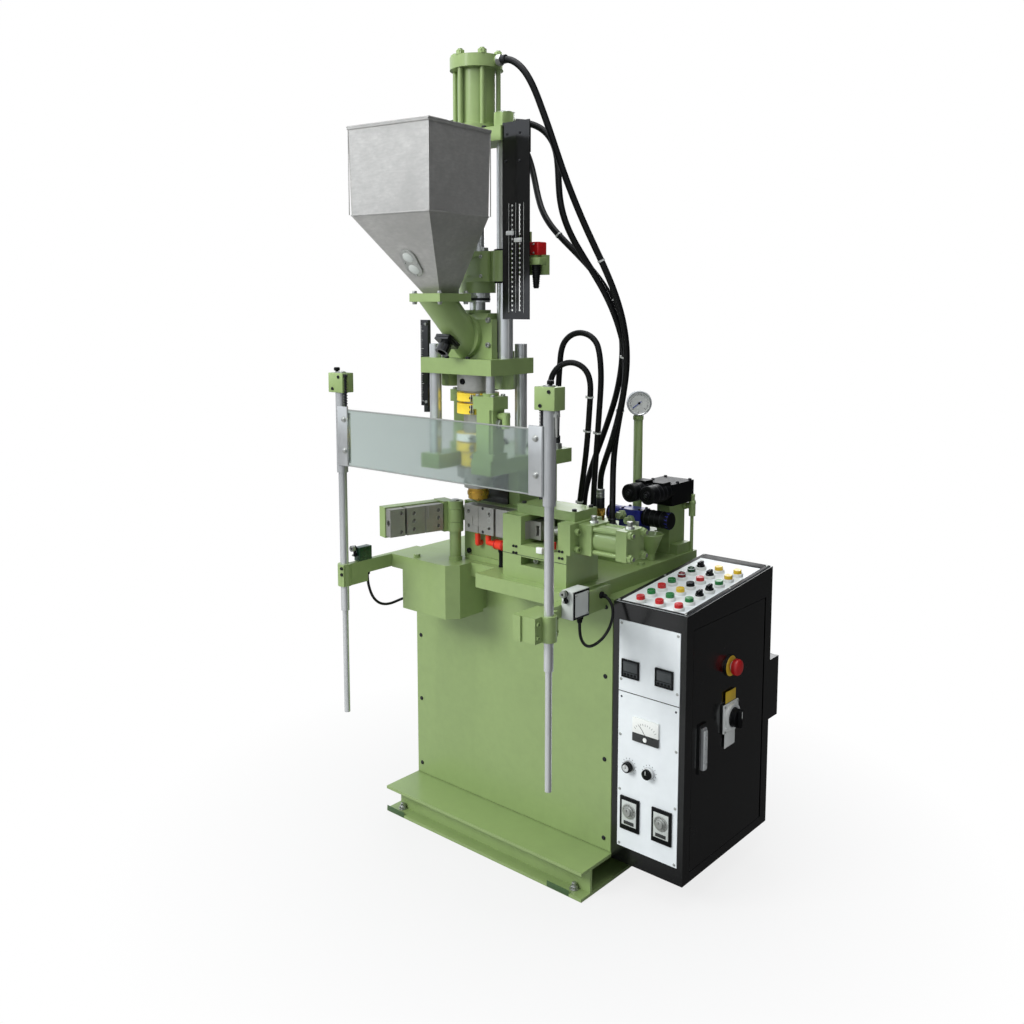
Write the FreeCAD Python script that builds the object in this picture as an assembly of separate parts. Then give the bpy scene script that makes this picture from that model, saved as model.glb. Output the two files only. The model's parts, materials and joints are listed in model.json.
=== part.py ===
import FreeCAD, Part
import math
import os

# Vertical injection moulding machine with a book-opening mould.
# Millimetres. The origin is on the floor under the injection axis,
# +X to the operator's right, +Y away from the operator, +Z up.

V = FreeCAD.Vector
X_AXIS = V(1, 0, 0)
Z_AXIS = V(0, 0, 1)

# ---------------------------------------------------------------- fits
SLIDE_FIT = 0.08          # radial gap of a rod or pin in its guide
FACE_GAP = 0.5            # gap between faces that pass each other
MOULD_GAP = 0.3           # gap left between the closed mould faces

# ---------------------------------------------------------------- base
BASE_LEFT = -341.0
BASE_WIDTH = 759.0
SKID_FRONT = -59.0
SKID_DEPTH = 619.0
SKID_HEIGHT = 82.0
SKID_PLATE = 9.0
SKID_WEB = 8.0
SKID_WEB_INSET = 40.0
SKID_END_INSET = 22.0

PANEL_FRONT = 77.6
PANEL_THICK = 3.0
PANEL_MARGIN = 3.0
PEDESTAL_DEPTH = 464.0
PEDESTAL_HEIGHT = 716.0
PEDESTAL_WALL = 6.0

# ---------------------------------------------------------------- table
TABLE_INSETS = (56.0, 38.0)  # table ends, in from the base's left and right
TABLE_FRONT = -75.0
TABLE_DEPTH = 642.0
TABLE_THICK = 40.0
NOTCH_LEFT = -34.0
NOTCH_WIDTH = 90.0
NOTCH_BACK = 4.0
CORNER_CUT_X = 28.0
CORNER_CUT_Y = 32.0
FRONT_BOX_LEFT = -239.0
FRONT_BOX_HEIGHT = 118.0
FRONT_BOX_WALL = 6.0
FRONT_BOX_SHOULDER = 56.0

# ---------------------------------------------------------------- injection unit stand
PILLAR_WIDTH = 180.0
PILLAR_FRONT = 75.0
PILLAR_DEPTH = 172.0
PILLAR_HEIGHT = 283.0
SHIELD_LEFT = -88.0
SHIELD_WIDTH = 140.0
SHIELD_THICK = 8.0
SHIELD_HEIGHT = 111.0
PLATEN_WIDTH = 266.0
PLATEN_FRONT = -94.0
PLATEN_DEPTH = 356.0
PLATEN_THICK = 41.0
SLOT_WIDTH = 123.0
SLOT_BACK = 60.0

GUIDE_X = 104.0
GUIDE_Y = 64.0
GUIDE_RADIUS = 17.0
GUIDE_STUB = 38.0
LIFT_BODY = 60.0
LIFT_CAP = 74.0
LIFT_CAP_THICK = 35.0
LIFT_FOOT = 20.0
LIFT_GAP = 56.0           # from the top of a lift cylinder to the mid plate
LIFT_ROD_RADIUS = 12.5
LIFT_FLUTE = 7.0          # radius of the flutes along a lift cylinder's corners
LIFT_GLAND_RADIUS = 21.5
LIFT_GLAND_HEIGHT = 8.0
LIFT_PORT_RADIUS = 9.0
LIFT_PORT_DROP = 52.0
LIFT_PORT_REACH = 34.0
LIFT_ELBOW_RADIUS = 11.0
LIFT_ELBOW_REACH = 26.0
LIFT_ELBOW_HEIGHT = 42.0
LIFT_ROD_START = 40.0     # end of the rod above the foot, inside the cylinder

# ---------------------------------------------------------------- carriage
CARRIAGE_RISE = 229.0     # from the platen's top to the mid plate, at rest
MID_BACK = 84.0
MID_THICK = 43.0
COLUMN_INSET = 29.0       # from a column's axis to the top plate's end
COLUMN_RADIUS = 22.0
COLUMN_LENGTH = 576.0
COLUMN_NUT = 52.0
COLUMN_NUT_HEIGHT = 40.0
COLUMN_CLEAR = 3.0        # between the feed block and a column or guide rod
TOP_WIDTH = 260.0
TOP_DEPTH = 100.0
TOP_THICK = 38.0
RAM_BARREL_RADIUS = 52.0
RAM_BARREL_BORE = 40.0
RAM_BARREL_LENGTH = 163.0
RAM_CAP_RADIUS = 73.0
RAM_CAP_THICK = 33.0
RAM_TIE_CIRCLE = 61.0
RAM_TIE_RADIUS = 6.5
RAM_TIE_COUNT = 6
RAM_TIE_START = 26.7      # degrees, direction of the first tie rod
RAM_TIE_END = 16.0
RAM_FOOT_THICK = 14.0
RAM_FOOT_MARGIN = 2.0
RAM_NUT = 20.0
RAM_NUT_HEIGHT = 11.0
RAM_GUIDE_LENGTH = 20.0   # end wall that guides the piston rod
RAM_CROWN = 6.0           # end wall under the cap
PORT_RADIUS = 12.0
PORT_PROUD = 5.0
LOW_PORT_RISE = 30.0
LOW_PORT_PROUD = 14.0
LOW_PORT_DIRECTIONS = (45.0, 90.0)

BLOCK_WIDTH = 144.0
BLOCK_FRONT = -48.0
BLOCK_BACK = 60.0
BLOCK_HEIGHT = 123.0
BLOCK_FLANGE = 18.0
BLOCK_CHAMFER = 16.0
CHEEK_WIDTH = 190.0
CHEEK_THICK = 22.0
PLUNGER_RADIUS = 22.0
PLUNGER_SINK = 157.0      # how far the plunger reaches into the feed block
THROAT_RISE = 63.0        # feed opening above the feed block's foot
THROAT_RADIUS = 44.0
THROAT_BORE = 28.0
THROAT_DISC = 58.0
THROAT_DISC_THICK = 14.0
THROAT_START = 12.0       # where the neck's axis starts, in front of the feed block
FEED_RADIUS = 20.0
SPOUT_START = 0.34        # share of the neck at which the drain leaves it
SPOUT_DIP = 53.7          # degrees below the horizontal
SPOUT_RADIUS = 16.0
SPOUT_BORE = 12.0
SPOUT_LENGTH = 92.0
SPOUT_END_RADIUS = 19.0
SPOUT_END_LENGTH = 20.0
SPOUT_FLANGE = 50.0
SPOUT_FLANGE_THICK = 7.0
SPOUT_FLANGES = [48.0, 57.0]
HOPPER_Y = -148.0
HOPPER_FLANGE_Z = 155.0   # underside of the hopper flange above the feed block's foot
HOPPER_FLANGE_X = 114.0
HOPPER_FLANGE_Y = 120.0
HOPPER_FLANGE_THICK = 22.0

HOPPER_TOP = 258.0
HOPPER_SHOULDER = 250.0
HOPPER_BOX_HEIGHT = 222.0
HOPPER_CONE_HEIGHT = 194.0
HOPPER_OUTLET_X = 56.0
HOPPER_OUTLET_Y = 77.0
HOPPER_SHIFT_X = 12.0
HOPPER_SHIFT_Y = -95.0
HOPPER_TURN = 7.0
HOPPER_WALL = 2.0
HOPPER_RIM = 5.0

BARREL_LENGTH = 325.0     # from the mid plate's underside to the nozzle seat
BARREL_RADIUS = 40.0
COOLER_RADIUS = 59.0
COOLER_HEIGHT = 48.0
BAND_RADIUS = 59.0
BAND_SMALL_RADIUS = 46.0
BAND_DROPS = [(55.0, 23.0), (84.0, 29.0), (168.0, 22.0), (194.0, 24.0)]
BAND_SMALL_DROP = (222.0, 40.0)
BARREL_FLANGE_RADIUS = 58.0
BARREL_FLANGE_DROP = 264.0
BARREL_FLANGE_HEIGHT = 28.0
NOZZLE_NUT_RADIUS = 29.0
NOZZLE_NUT_HEIGHT = 32.0
NOZZLE_TIP_HEIGHT = 10.0
NOZZLE_TIP_RADIUS = 6.0
NOZZLE_TIP_BASE = 20.3
NOZZLE_BORE = 3.0
NOZZLE_RUNNER = 30.0      # narrow bore at the barrel's lower end

# ---------------------------------------------------------------- crosshead
CROSSHEAD_RISE = 252.0    # from the mid plate's underside to the crosshead's underside
CROSSHEAD_HEIGHT = 82.0
CROSSHEAD_BODY = 150.0
CROSSHEAD_DEPTH = 84.0
HUB_RADIUS = 38.0
BOSS_RADIUS = 51.0
BOSS_HEIGHT = 30.0
COLLAR_HEIGHT = 26.0
COLLAR_RADIUS = 35.0
WASHER_RADIUS = 32.0
WASHER_HEIGHT = 12.0
PISTON_FIT = 0.4
RECESS_SIDE = 26.0
RECESS_DEPTH = 14.0
RECESS_BOTTOM = 12.0
RECESS_TOP = 14.0
SEAL_PLATE_RADIUS = 37.0
SEAL_PLATE_THICK = 9.0
ROD_RADIUS = 20.0
ROD_REACH = 82.0          # how far the injection rod reaches past the top plate's underside
ARM_BACK = 30.0
ARM_UNDER = 16.0          # underside of the arm above the crosshead's underside
UPRIGHT_MARGIN = 8.0
UPRIGHT_THICK = 6.0
POINTER_STEM = 3.0
POINTER_WIDTH = 22.0
POINTER_HEIGHT = 10.0
POINTER_THICK = 3.0
POINTER_STEM_HEIGHT = 4.0
POINTER_RISE = 24.0       # lower pointer above the crosshead's top
POINTER_STEP = 19.0
SENSOR_GAP = 2.5          # between the upright plate and the reading head's shelf
SENSOR_INSET = 34.0       # left side of the shelf, in from the arm's end
SENSOR_SHELF_DEPTH = 28.0
SENSOR_HEAD_FRONT = -14.0
SENSOR_HEAD_DEPTH = 34.0
SENSOR_HEIGHT = 32.0
SENSOR_SHELF_DROP = 40.0
SENSOR_SHELF_THICK = 18.0
SENSOR_SHELF_REACH = 12.0
SENSOR_STEM_HEIGHT = 8.0
SENSOR_SIDE = 2.0
SENSOR_SIDE_FAR = 4.0
SENSOR_STEM_SIDE = 6.0
BOOT_REACH = 10.0
BOOT_RADIUS = 13.0
BOOT_TIP_RADIUS = 8.0
BOOT_LENGTH = 62.0

SCALE_WIDTH = 92.0
SCALE_FRONT = -43.0
SCALE_THICK = 3.0
SCALE_HEIGHT = 512.0
SCALE_ABOVE = 6.0
SCALE_SLOT = 5.0
SCALE_SLOT_BOTTOM = 26.0
SCALE_SLOT_TOP = 300.0
SCALE_SLOTS = [30.0, 57.5]
SCALE_BRACKET_REACH = 45.0
SCALE_BRACKET_BACK = 20.0
SCALE_BRACKET_DROP = 28.0

RULER_WIDTH = 30.0
RULER_THICK = 12.0
RULER_BELOW = 112.0
RULER_ABOVE = 104.0
RULER_Y = -64.0
RULER_GAP = 1.0
RULER_LUG_DEPTH = 14.0
RULER_LUG_INSET = 6.0
BUMPER_RADIUS = 9.0
BUMPER_X = 12.0
BUMPER_HEIGHT = 18.0
BUMPER_DROP = 4.0

# ---------------------------------------------------------------- mould
HINGE_X = -92.0
HINGE_Y = 0.0
HINGE_RADIUS = 24.0
HINGE_PIN_RADIUS = 12.0
HINGE_BOTTOM = 87.0       # above the table
HINGE_LOW_KNUCKLE = 28.0
HINGE_MID_KNUCKLE = 38.5
HINGE_TOP_KNUCKLE = 22.5
HINGE_FOOT_RADIUS = 20.0
HINGE_FOOT_HEIGHT = 12.0
HINGE_SHOULDER_RADIUS = 17.0
HINGE_WEB_HALF = 12.0
HINGE_WEB_FRONT = 10.0    # where the fixed knuckle's web starts behind the pin
ARM_OPEN = -105.0         # direction of the open mould arm, degrees
ARM_LENGTH = 216.0
ARM_THICK = 33.0
ARM_HEIGHT = 87.0
ARM_START = 8.0
ARM_ROOT_FRONT = 2.0
ARM_ROOT_GAP = 4.0
MOULD_LEFT = -55.0
MOULD_WIDTH = 112.0
MOULD_BOTTOM = 92.0       # above the table
MOULD_HEIGHT = 79.0
MOULD_PLATE = 27.0
INSERT_THICK = 10.0
MOULD_GROOVE = 3.0
MOULD_CORE_SIDE = 6.0
MOULD_CORE_FOOT = 4.0
CHANNEL_WIDTH = 6.0
CHANNEL_DEPTH = 2.5
CHANNEL_HEIGHT = 48.0
CAVITY_HALF = 24.0
CAVITY_DEPTH = 1.5
CAVITY_BOTTOM = 20.0
CAVITY_TOP = 46.0
SPRUE_START = 40.0
FIXED_HOLE_INSET = 16.0
FIXED_HOLE_RISES = (18.0, 60.0)
MOULD_BLOCK_FRONT = 40.0
MOULD_BLOCK_HEIGHT = 172.0
MOULD_FOOT_INSET = 8.0
MOULD_FOOT_HEIGHT = 14.0
KEEPER_FRONT = 1.0
KEEPER_LEFT = 64.0
KEEPER_WIDTH = 58.0
MOVING_START = 40.5       # along the arm from the hinge
MOVING_WIDTH = 118.5
LOCK_START = 166.0
LOCK_WIDTH = 47.0
LOCK_HOLE_START = 8.0
LOCK_HOLE_FIT = 0.7
LOCK_SCREW_INSET = 12.0
LOCK_SCREW_RISES = (12.0, 66.0)
SEAM_WIDTH = 4.0
SEAM_DEPTH = 3.0
MOVING_HOLE_INSET = 16.0
MOVING_HOLE_FAR_INSET = 22.0
MOVING_HOLE_RISES = (16.0, 40.0, 62.0)
MOULD_HOLE_RADIUS = 5.5
MOULD_HOLE_DEPTH = 9.0
SPRUE_RADIUS = 2.5

# ---------------------------------------------------------------- clamp
CLAMP_LEFT = 127.0
CLAMP_WIDTH = 220.0
CLAMP_FRONT = -40.0
CLAMP_DEPTH = 141.0
CLAMP_FOOT = 38.0
CLAMP_HEIGHT = 174.0
WINDOW_LEFT = 65.0        # from the clamp's left face
WINDOW_WIDTH = 126.0
WINDOW_SILL = 95.0        # above the table
WINDOW_DEPTH = 118.0
LOW_SLOT_WIDTH = 98.0
LOW_SLOT_HEIGHT = 23.0
LOW_SLOT_DEPTH = 40.0
LOW_SLOT_SILL = 2.0
LOCK_HEIGHT = 131.0       # lock axis above the table
PUSHER_FRONT = 0.0
PUSHER_DEPTH = 66.0
PUSHER_HALF = 25.0
PUSHER_LENGTH = 59.0
PUSHER_RIGHT = 229.0
NOSE_Y = -12.0
NOSE_RADIUS = 8.0
NOSE_LENGTH = 41.0
LOCK_TRAVEL = 32.0
PUSHER_CLEAR = 2.0
PUSHER_SLOT_INSET = 6.0
PUSHER_SLOT_WIDTH = 10.0
PUSHER_SLOT_DEPTH = 22.0
PUSHER_SLOT_HALF = 14.0
PISTON_REST = 4.0
RAM_Y = 36.0
LOCK_ROD_RADIUS = 13.0
FLANGE_THICK = 12.0
FLANGE_BOTTOM = 91.0      # above the table
CAP_SIZE = 80.0
FRONT_CAP = 42.0
LOCK_BARREL = 76.0
LOCK_BARREL_RADIUS = 36.0
LOCK_BARREL_BORE = 30.0
REAR_CAP = 33.0
TIE_RADIUS = 6.5
TIE_OFFSET = 30.0
TIE_END = 16.0
TIE_NUT = 19.0
TIE_NUT_HEIGHT = 11.0
FLANGE_BOLT_RADIUS = 9.0
FLANGE_BOLT_HEIGHT = 12.0
FLANGE_BOLT_INSETS = (25.0, 14.0)
FLANGE_BOLT_DROPS = (14.0, 22.0)
PISTON_THICK = 24.0
CLAMP_LID = 26.0
CLAMP_LID_FRONT = -5.0
CLAMP_LID_LEFT = 23.0
CLAMP_LID_BACK = 6.0

# ---------------------------------------------------------------- guard
GUARD_Y = -245.0
GUARD_OUT = (17.0, 72.0)  # guard rods, outward from the table's left and right
SLEEVE_RADIUS = 16.0
SLEEVE_BOTTOM = 268.0     # above the table
SLEEVE_LENGTH = 230.0
GUARD_ROD_RADIUS = 12.0
GUARD_ROD_DROP = 138.0    # end of the thick rod below the table's top
GUARD_THIN_RADIUS = 8.5
GUARD_THIN_LENGTH = 307.0
GUARD_HEAD_HEIGHT = 54.0
GUARD_HEAD_WIDTH = 50.0
GUARD_HEAD_OUT = 5.0      # how far each head block stands outward of its rod
GUARD_HEAD_HALF_DEPTH = 20.0
GUARD_LUG_START = 10.0
GUARD_LUG_INSET = 8.0
GUARD_LUG_BACK = 6.0
STRIP_BELOW = 2.0
STRIP_ABOVE = 10.0
PANE_INSET = 18.0
GUARD_PANE_SETBACK = 11.0 # from the rods' plane to the back of the window
WINDOW_THICK = 5.0
STRIP_THICK = 4.0
STRIP_WIDTH = 42.0
STRIP_START = 6.0         # from a rod's axis to the near edge of its strip
GUARD_WINDOW_BOTTOM = 293.0
GUARD_WINDOW_HEIGHT = 157.0
GUARD_ARM_THICK = 17.0
GUARD_ARM_HEIGHT = 38.0
GUARD_CLAMP_HEIGHT = 64.0
GUARD_CLAMP_RADIUS = 20.0
GUARD_PAD_HALF = 18.0
GUARD_CHEEK_BACK = 74.0
LEFT_ARM_BACK = 120.0     # back end of the left arm behind the table's front edge
RIGHT_MOUNT_THICK = 12.0
RIGHT_MOUNT_LENGTH = 172.0
RIGHT_MOUNT_DROP = 67.0
RIGHT_ARM_DROP = 6.0
RIGHT_BEAM_WIDTH = 30.0
RIGHT_STEP_WIDTH = 24.0
RIGHT_STEP_DEPTH = 5.0
RIGHT_CLAMP_HALF = 45.0
RIGHT_CLAMP_INSET = 6.0
CLAMP_SCREW_RADIUS = 5.5
CLAMP_SCREW_HEIGHT = 5.0
CLAMP_SCREW_Y = 35.0
CLAMP_SCREW_RISE = 14.0
CLAMP_SCREW_DROP = 16.0
SWITCH_BACK = 42.0        # from the guard rods' plane back to the left switch
LEFT_SWITCH = (22.0, 48.0, 40.0)
RIGHT_SWITCH = (36.0, 68.0, 72.0)
RIGHT_SWITCH_BACK = 62.0  # right switch behind the left one
RIGHT_SWITCH_DROP = 40.0  # its underside below the table's top
SWITCH_BOOT_RADIUS = 9.0
SWITCH_BOOT_TIP = 6.0
SWITCH_BOOT_LENGTH = 20.0
SWITCH_BOOT_Y = 52.0
LEVER_SHAFT_RADIUS = 5.0
LEVER_REACH = 10.0
LEVER_THICK = 4.0
LEVER_HALF = 4.0
LEVER_HEEL = 5.0
LEVER_RISE = 22.0
ROLLER_RADIUS = 8.0
ROLLER_WIDTH = 10.0
ROLLER_RISE = 20.0
LEVER_RISES = (20.0, 8.0) # lever shafts of the left and right switch above the table

# ---------------------------------------------------------------- oil gear on the table
SUBPLATE_LEFT = 80.0
SUBPLATE_WIDTH = 220.0
SUBPLATE_FRONT = 280.0
SUBPLATE_DEPTH = 270.0
SUBPLATE_HEIGHT = 67.0
TOWER_LEFT = 302.0
TOWER_WIDTH = 43.0
TOWER_FRONT = 464.0
TOWER_DEPTH = 86.0
TOWER_HEIGHT = 154.0
TOWER_BRIDGE = 6.0
TOE_LENGTH = 26.0
TOE_HEIGHT = 30.0
TOE_INSETS = (6.0, 8.0)
TEE_X = 29.0              # drain pipe right of the tower
TEE_Y = 5.0
TEE_DROP = 16.0
TEE_RADIUS = 9.0
ELBOW_RADIUS = 10.0
ELBOW_DROPS = (46.0, 6.0)
DRAIN_PIPE_RADIUS = 5.0
COIL_RADIUS = 23.0
COIL_FRONT = 330.0
COIL_X = [294.0, 355.0]
COIL_Z = 198.0            # above the table
COIL_BACK = 20.0
COIL_BODY_SIDES = (24.0, 20.0)
COIL_BODY_FRONT = 34.0
COIL_BODY_RISE = 20.0
COIL_PLUG_HALF = 17.0
COIL_PLUG_START = 52.0
COIL_PLUG_END = 40.0
COIL_PLUG_HEIGHT = 30.0
VALVE_Y = 408.0
VALVE_RISE = 48.0         # valve axis above the sub-plate
VALVE_LEFT = 172.0
VALVE_RIGHT = 385.0
VALVE_BODY_START = 50.0
VALVE_BODY_END = 124.0
VALVE_BODY_HALF = 28.0
VALVE_BODY_RISE = 22.0
VALVE_LEFT_RADIUS = 24.0
VALVE_RIGHT_RADIUS = 22.0
VALVE_NUT_RADIUS = 25.0
VALVE_NUT_WIDTH = 14.0
GAUGE_X = 240.0
GAUGE_Y = 450.0
GAUGE_PIPE_RADIUS = 13.5
GAUGE_PIPE_LENGTH = 345.0
GAUGE_RADIUS = 36.0
GAUGE_DEPTH = 30.0
GAUGE_BACK = 9.0
GAUGE_RISE = 37.0
GAUGE_NECK_RADIUS = 7.0
GAUGE_NECK_HEIGHT = 20.0
FUNNEL_X = 342.0
FUNNEL_Y = 372.0
FUNNEL_TOP_RADIUS = 35.0
FUNNEL_HEIGHT = 78.0
FUNNEL_STEM_RADIUS = 12.0
FUNNEL_STEM_HEIGHT = 18.0
FUNNEL_WALL = 3.0

# ---------------------------------------------------------------- control cabinet
CABINET_WIDTH = 224.0
CABINET_FRONT = 77.0
CABINET_DEPTH = 465.0
CABINET_BOTTOM = 71.0
CABINET_HEIGHT = 725.0
CABINET_RISE = 41.0
CABINET_SHEET = 3.0
DOOR_FRONT = 111.0
DOOR_WIDTH = 395.0
DOOR_BOTTOM = 98.0
DOOR_HEIGHT = 656.0
DOOR_THICK = 16.0
DOOR_GAP = 1.5
DOOR_SHEET = 2.5
DOOR_PIN_RADIUS = 3.0
DOOR_RETURN = 14.0
DOOR_PIN_LENGTH = 9.0
DOOR_PIN_HOLE = 10.0
REAR_BOX_WIDTH = 80.0
REAR_BOX_INSET = 4.0
REAR_BOX_DEPTH = 62.0
REAR_BOX_RISE = 307.0     # above the cabinet's underside
REAR_BOX_HEIGHT = 179.0
GEAR_PLATE_THICK = 3.0
GEAR_PLATE_INSET = 24.0
GEAR_PLATE_MARGIN = 30.0
GEAR_ROWS = (80.0, 260.0, 440.0)
GEAR_COLUMNS = 4
GEAR_START = 52.0
GEAR_PITCH = 76.0
GEAR_WIDTH = 58.0
GEAR_DEPTH = 63.0
GEAR_HEIGHT = 90.0
GEAR_STEP = 8.0           # each row of gear is this much lower than the one before
FACE_INSET = 20.0         # face plate, in from the cabinet's left side
FACE_WIDTH = 187.0
FACE_BOTTOM = 118.0
FACE_HEIGHT = 632.0
FACE_THICK = 2.0
FACE_RIM = 10.0           # how far the face plate laps the shell's opening
INSTRUMENT_PROUD = 5.0
INSTRUMENT_BEZEL = 4.0
GLASS_SINK = 2.0
LEFT_INSTRUMENT_X = -56.0 # from the middle of the face plate
RIGHT_INSTRUMENT_X = 48.0
CONTROLLER_RISE = 503.0   # rises are from the face plate's lower edge
CONTROLLER_SIZE = (54.0, 49.0)
METER_X = -5.0
METER_RISE = 344.0
METER_SIZE = (80.0, 64.0)
TIMER_RISE = 100.0
TIMER_SIZE = (60.0, 92.0)
TIMER_SHIFT = 4.0
BUTTON_ROWS = 3
BUTTON_COLUMNS = 7
BUTTON_PITCH_X = 58.0
BUTTON_PITCH_Y = 51.5
BUTTON_FIRST_X = 67.0     # from the cabinet's left side
BUTTON_FIRST_Y = 27.0     # from the cabinet's front
BUTTON_BEZEL = 14.5
BUTTON_CAP = 11.0
BUTTON_PLATE = 2.0
BUTTON_MARGIN = 5.0
BEZEL_HEIGHT = 8.0
CAP_HEIGHT = 10.0
SELECTORS = [(0, 6), (1, 5), (2, 2), (2, 3)]
SELECTOR_BASE = 4.0
SELECTOR_HALF = 4.0
SELECTOR_REACH = 11.0
SELECTOR_HEIGHT = 10.0
STOP_PLACE = (192.0, 511.0)    # places are from the door frame's front lower corner
STOP_RADIUS = 21.0
STOP_STEM = 11.0
STOP_STEM_FIT = 0.4
STOP_STEM_SINK = 12.0
STOP_BOSS_RADIUS = 29.0
DOOR_BOSS = 5.0           # height of the stop's boss and of the handle's cup
STOP_CAP_START = 14.0
STOP_CAP_END = 28.0
STOP_DOME = 5.0
STOP_DOME_SHARE = 0.7
SWITCH_PLACE = (192.0, 370.0)
SWITCH_RADIUS = 26.0
SWITCH_PLATE = 82.0
SWITCH_PLATE_THICK = 4.0
SWITCH_SHAFT_RADIUS = 6.0
SWITCH_SHAFT_SINK = 14.0
SWITCH_KNOB_END = 18.0
SWITCH_GRIP_END = 34.0
SWITCH_GRIP_HALF = 7.0
SWITCH_GRIP_REACH = 24.0
HANDLE_PLACE = (50.0, 258.0)
HANDLE_LENGTH = 134.0
HANDLE_WIDTH = 36.0
HANDLE_RIM = 7.0
HANDLE_RIM_END = 8.0
HANDLE_FLOOR = 1.0
LEVER_SIDE_GAP = 9.0
LEVER_END_GAP = 10.0
LEVER_FLOOR_GAP = 2.5
LEVER_PROUD = 11.0
KNOB_RISE = 234.0
KNOB_INSETS = [37.0, 100.0]     # from the face plate's left side
KNOB_RADIUS = 13.0
KNOB_SKIRT = 3.0
KNOB_SKIRT_THICK = 4.0
KNOB_LENGTH = 18.0
KNOB_RIDGE = 2.0

# ---------------------------------------------------------------- hoses
CORNER_SHARE = 0.45       # share of the shorter run that a rounded corner takes
HOSE_RADIUS = 9.0
LOOP_RADIUS = 8.5
CABLE_RADIUS = 4.0
SOCKET_HEIGHT = 30.0
SOCKET_WALL = 4.0
BRASS_HEIGHT = 121.0
BRASS_WALL = 2.0
HOSE_ENDS = {
    "pressure": (166.0, 362.0),
    "return": (232.0, 330.0),
    "rear": (112.0, 352.0),
    "outer_loop": (172.0, 318.0),
    "inner_loop": (132.0, 302.0),
}
OUTER_LOOP_START = (106.0, 224.0)
INNER_LOOP_START = (100.0, 166.0)
COOLANT_Y = 24.0          # where the coolant elbows leave the fixed mould half's underside
COOLANT_X = [-25.0, 16.0]
COOLANT_RADIUS = 8.0
COOLANT_DROPS = [37.0, 29.0]
CONNECTOR_START = 44.0
CONNECTOR_END = 80.0
CONNECTOR_RADIUS = 14.0
LEFT_CABLE_X = 9.0        # left of the table's edge
LEFT_CABLE_Y = 90.0       # in front of the table's edge

# ---------------------------------------------------------------- levels worked out from the sizes
BASE_RIGHT = BASE_LEFT + BASE_WIDTH
TABLE_LEFT = BASE_LEFT + TABLE_INSETS[0]
TABLE_RIGHT = BASE_RIGHT - TABLE_INSETS[1]
GUARD_LEFT = TABLE_LEFT - GUARD_OUT[0]
GUARD_RIGHT = TABLE_RIGHT + GUARD_OUT[1]
TABLE_UNDER = SKID_HEIGHT + PEDESTAL_HEIGHT
TABLE_TOP = TABLE_UNDER + TABLE_THICK
TABLE_BACK = TABLE_FRONT + TABLE_DEPTH
PEDESTAL_FRONT = PANEL_FRONT + PANEL_THICK
PEDESTAL_BACK = PEDESTAL_FRONT + PEDESTAL_DEPTH
PLATEN_UNDER = TABLE_TOP + PILLAR_HEIGHT
PLATEN_TOP = PLATEN_UNDER + PLATEN_THICK
PLATEN_BACK = PLATEN_FRONT + PLATEN_DEPTH
MID_UNDER = PLATEN_TOP + CARRIAGE_RISE
MID_TOP = MID_UNDER + MID_THICK
TOP_UNDER = MID_TOP + COLUMN_LENGTH
TOP_TOP = TOP_UNDER + TOP_THICK
RAM_TOP = TOP_TOP + RAM_BARREL_LENGTH
BLOCK_TOP = MID_TOP + BLOCK_HEIGHT
THROAT_Z = MID_TOP + THROAT_RISE
FLANGE_UNDER = MID_TOP + HOPPER_FLANGE_Z
HOPPER_BASE = FLANGE_UNDER + HOPPER_FLANGE_THICK
SHOULDER_Z = HOPPER_BASE + HOPPER_CONE_HEIGHT
HOPPER_BRIM = SHOULDER_Z + HOPPER_BOX_HEIGHT
SCALE_LEFT = TOP_WIDTH / 2
COLUMN_X = TOP_WIDTH / 2 - COLUMN_INSET
UPRIGHT_RIGHT = SCALE_LEFT + SCALE_SLOTS[1] + UPRIGHT_MARGIN
ARM_REACH = UPRIGHT_RIGHT + SENSOR_GAP + SENSOR_INSET
CROSS_UNDER = MID_UNDER + CROSSHEAD_RISE
CROSS_TOP = CROSS_UNDER + CROSSHEAD_HEIGHT
NOZZLE_SEAT = MID_UNDER - BARREL_LENGTH
HINGE_Z = TABLE_TOP + HINGE_BOTTOM
MOULD_Z = TABLE_TOP + MOULD_BOTTOM
MOULD_TOP = MOULD_Z + MOULD_HEIGHT
LOCK_Z = TABLE_TOP + LOCK_HEIGHT
CLAMP_RIGHT = CLAMP_LEFT + CLAMP_WIDTH
CLAMP_BACK = CLAMP_FRONT + CLAMP_DEPTH
CLAMP_TOP = TABLE_TOP + CLAMP_HEIGHT
SUBPLATE_TOP = TABLE_TOP + SUBPLATE_HEIGHT
CABINET_RIGHT = BASE_RIGHT + CABINET_WIDTH
CABINET_BACK = CABINET_FRONT + CABINET_DEPTH
CABINET_TOP = CABINET_BOTTOM + CABINET_HEIGHT
CABINET_SLOPE = math.degrees(math.atan2(CABINET_RISE, CABINET_DEPTH))
DOOR_BACK = DOOR_FRONT + DOOR_WIDTH
DOOR_TOP = DOOR_BOTTOM + DOOR_HEIGHT
FACE_LEFT = BASE_RIGHT + FACE_INSET
FACE_MIDDLE = FACE_LEFT + FACE_WIDTH / 2
KNOB_X = [FACE_LEFT + inset for inset in KNOB_INSETS]
KNOB_Z = FACE_BOTTOM + KNOB_RISE
STOP_Y, STOP_Z = DOOR_FRONT + STOP_PLACE[0], DOOR_BOTTOM + STOP_PLACE[1]
SWITCH_Y, SWITCH_Z = DOOR_FRONT + SWITCH_PLACE[0], DOOR_BOTTOM + SWITCH_PLACE[1]
HANDLE_Y, HANDLE_Z = DOOR_FRONT + HANDLE_PLACE[0], DOOR_BOTTOM + HANDLE_PLACE[1]


# ---------------------------------------------------------------- helpers
def block(x0, x1, y0, y1, z0, z1):
    """A box between two corners."""
    return Part.makeBox(x1 - x0, y1 - y0, z1 - z0, V(x0, y0, z0))


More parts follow.
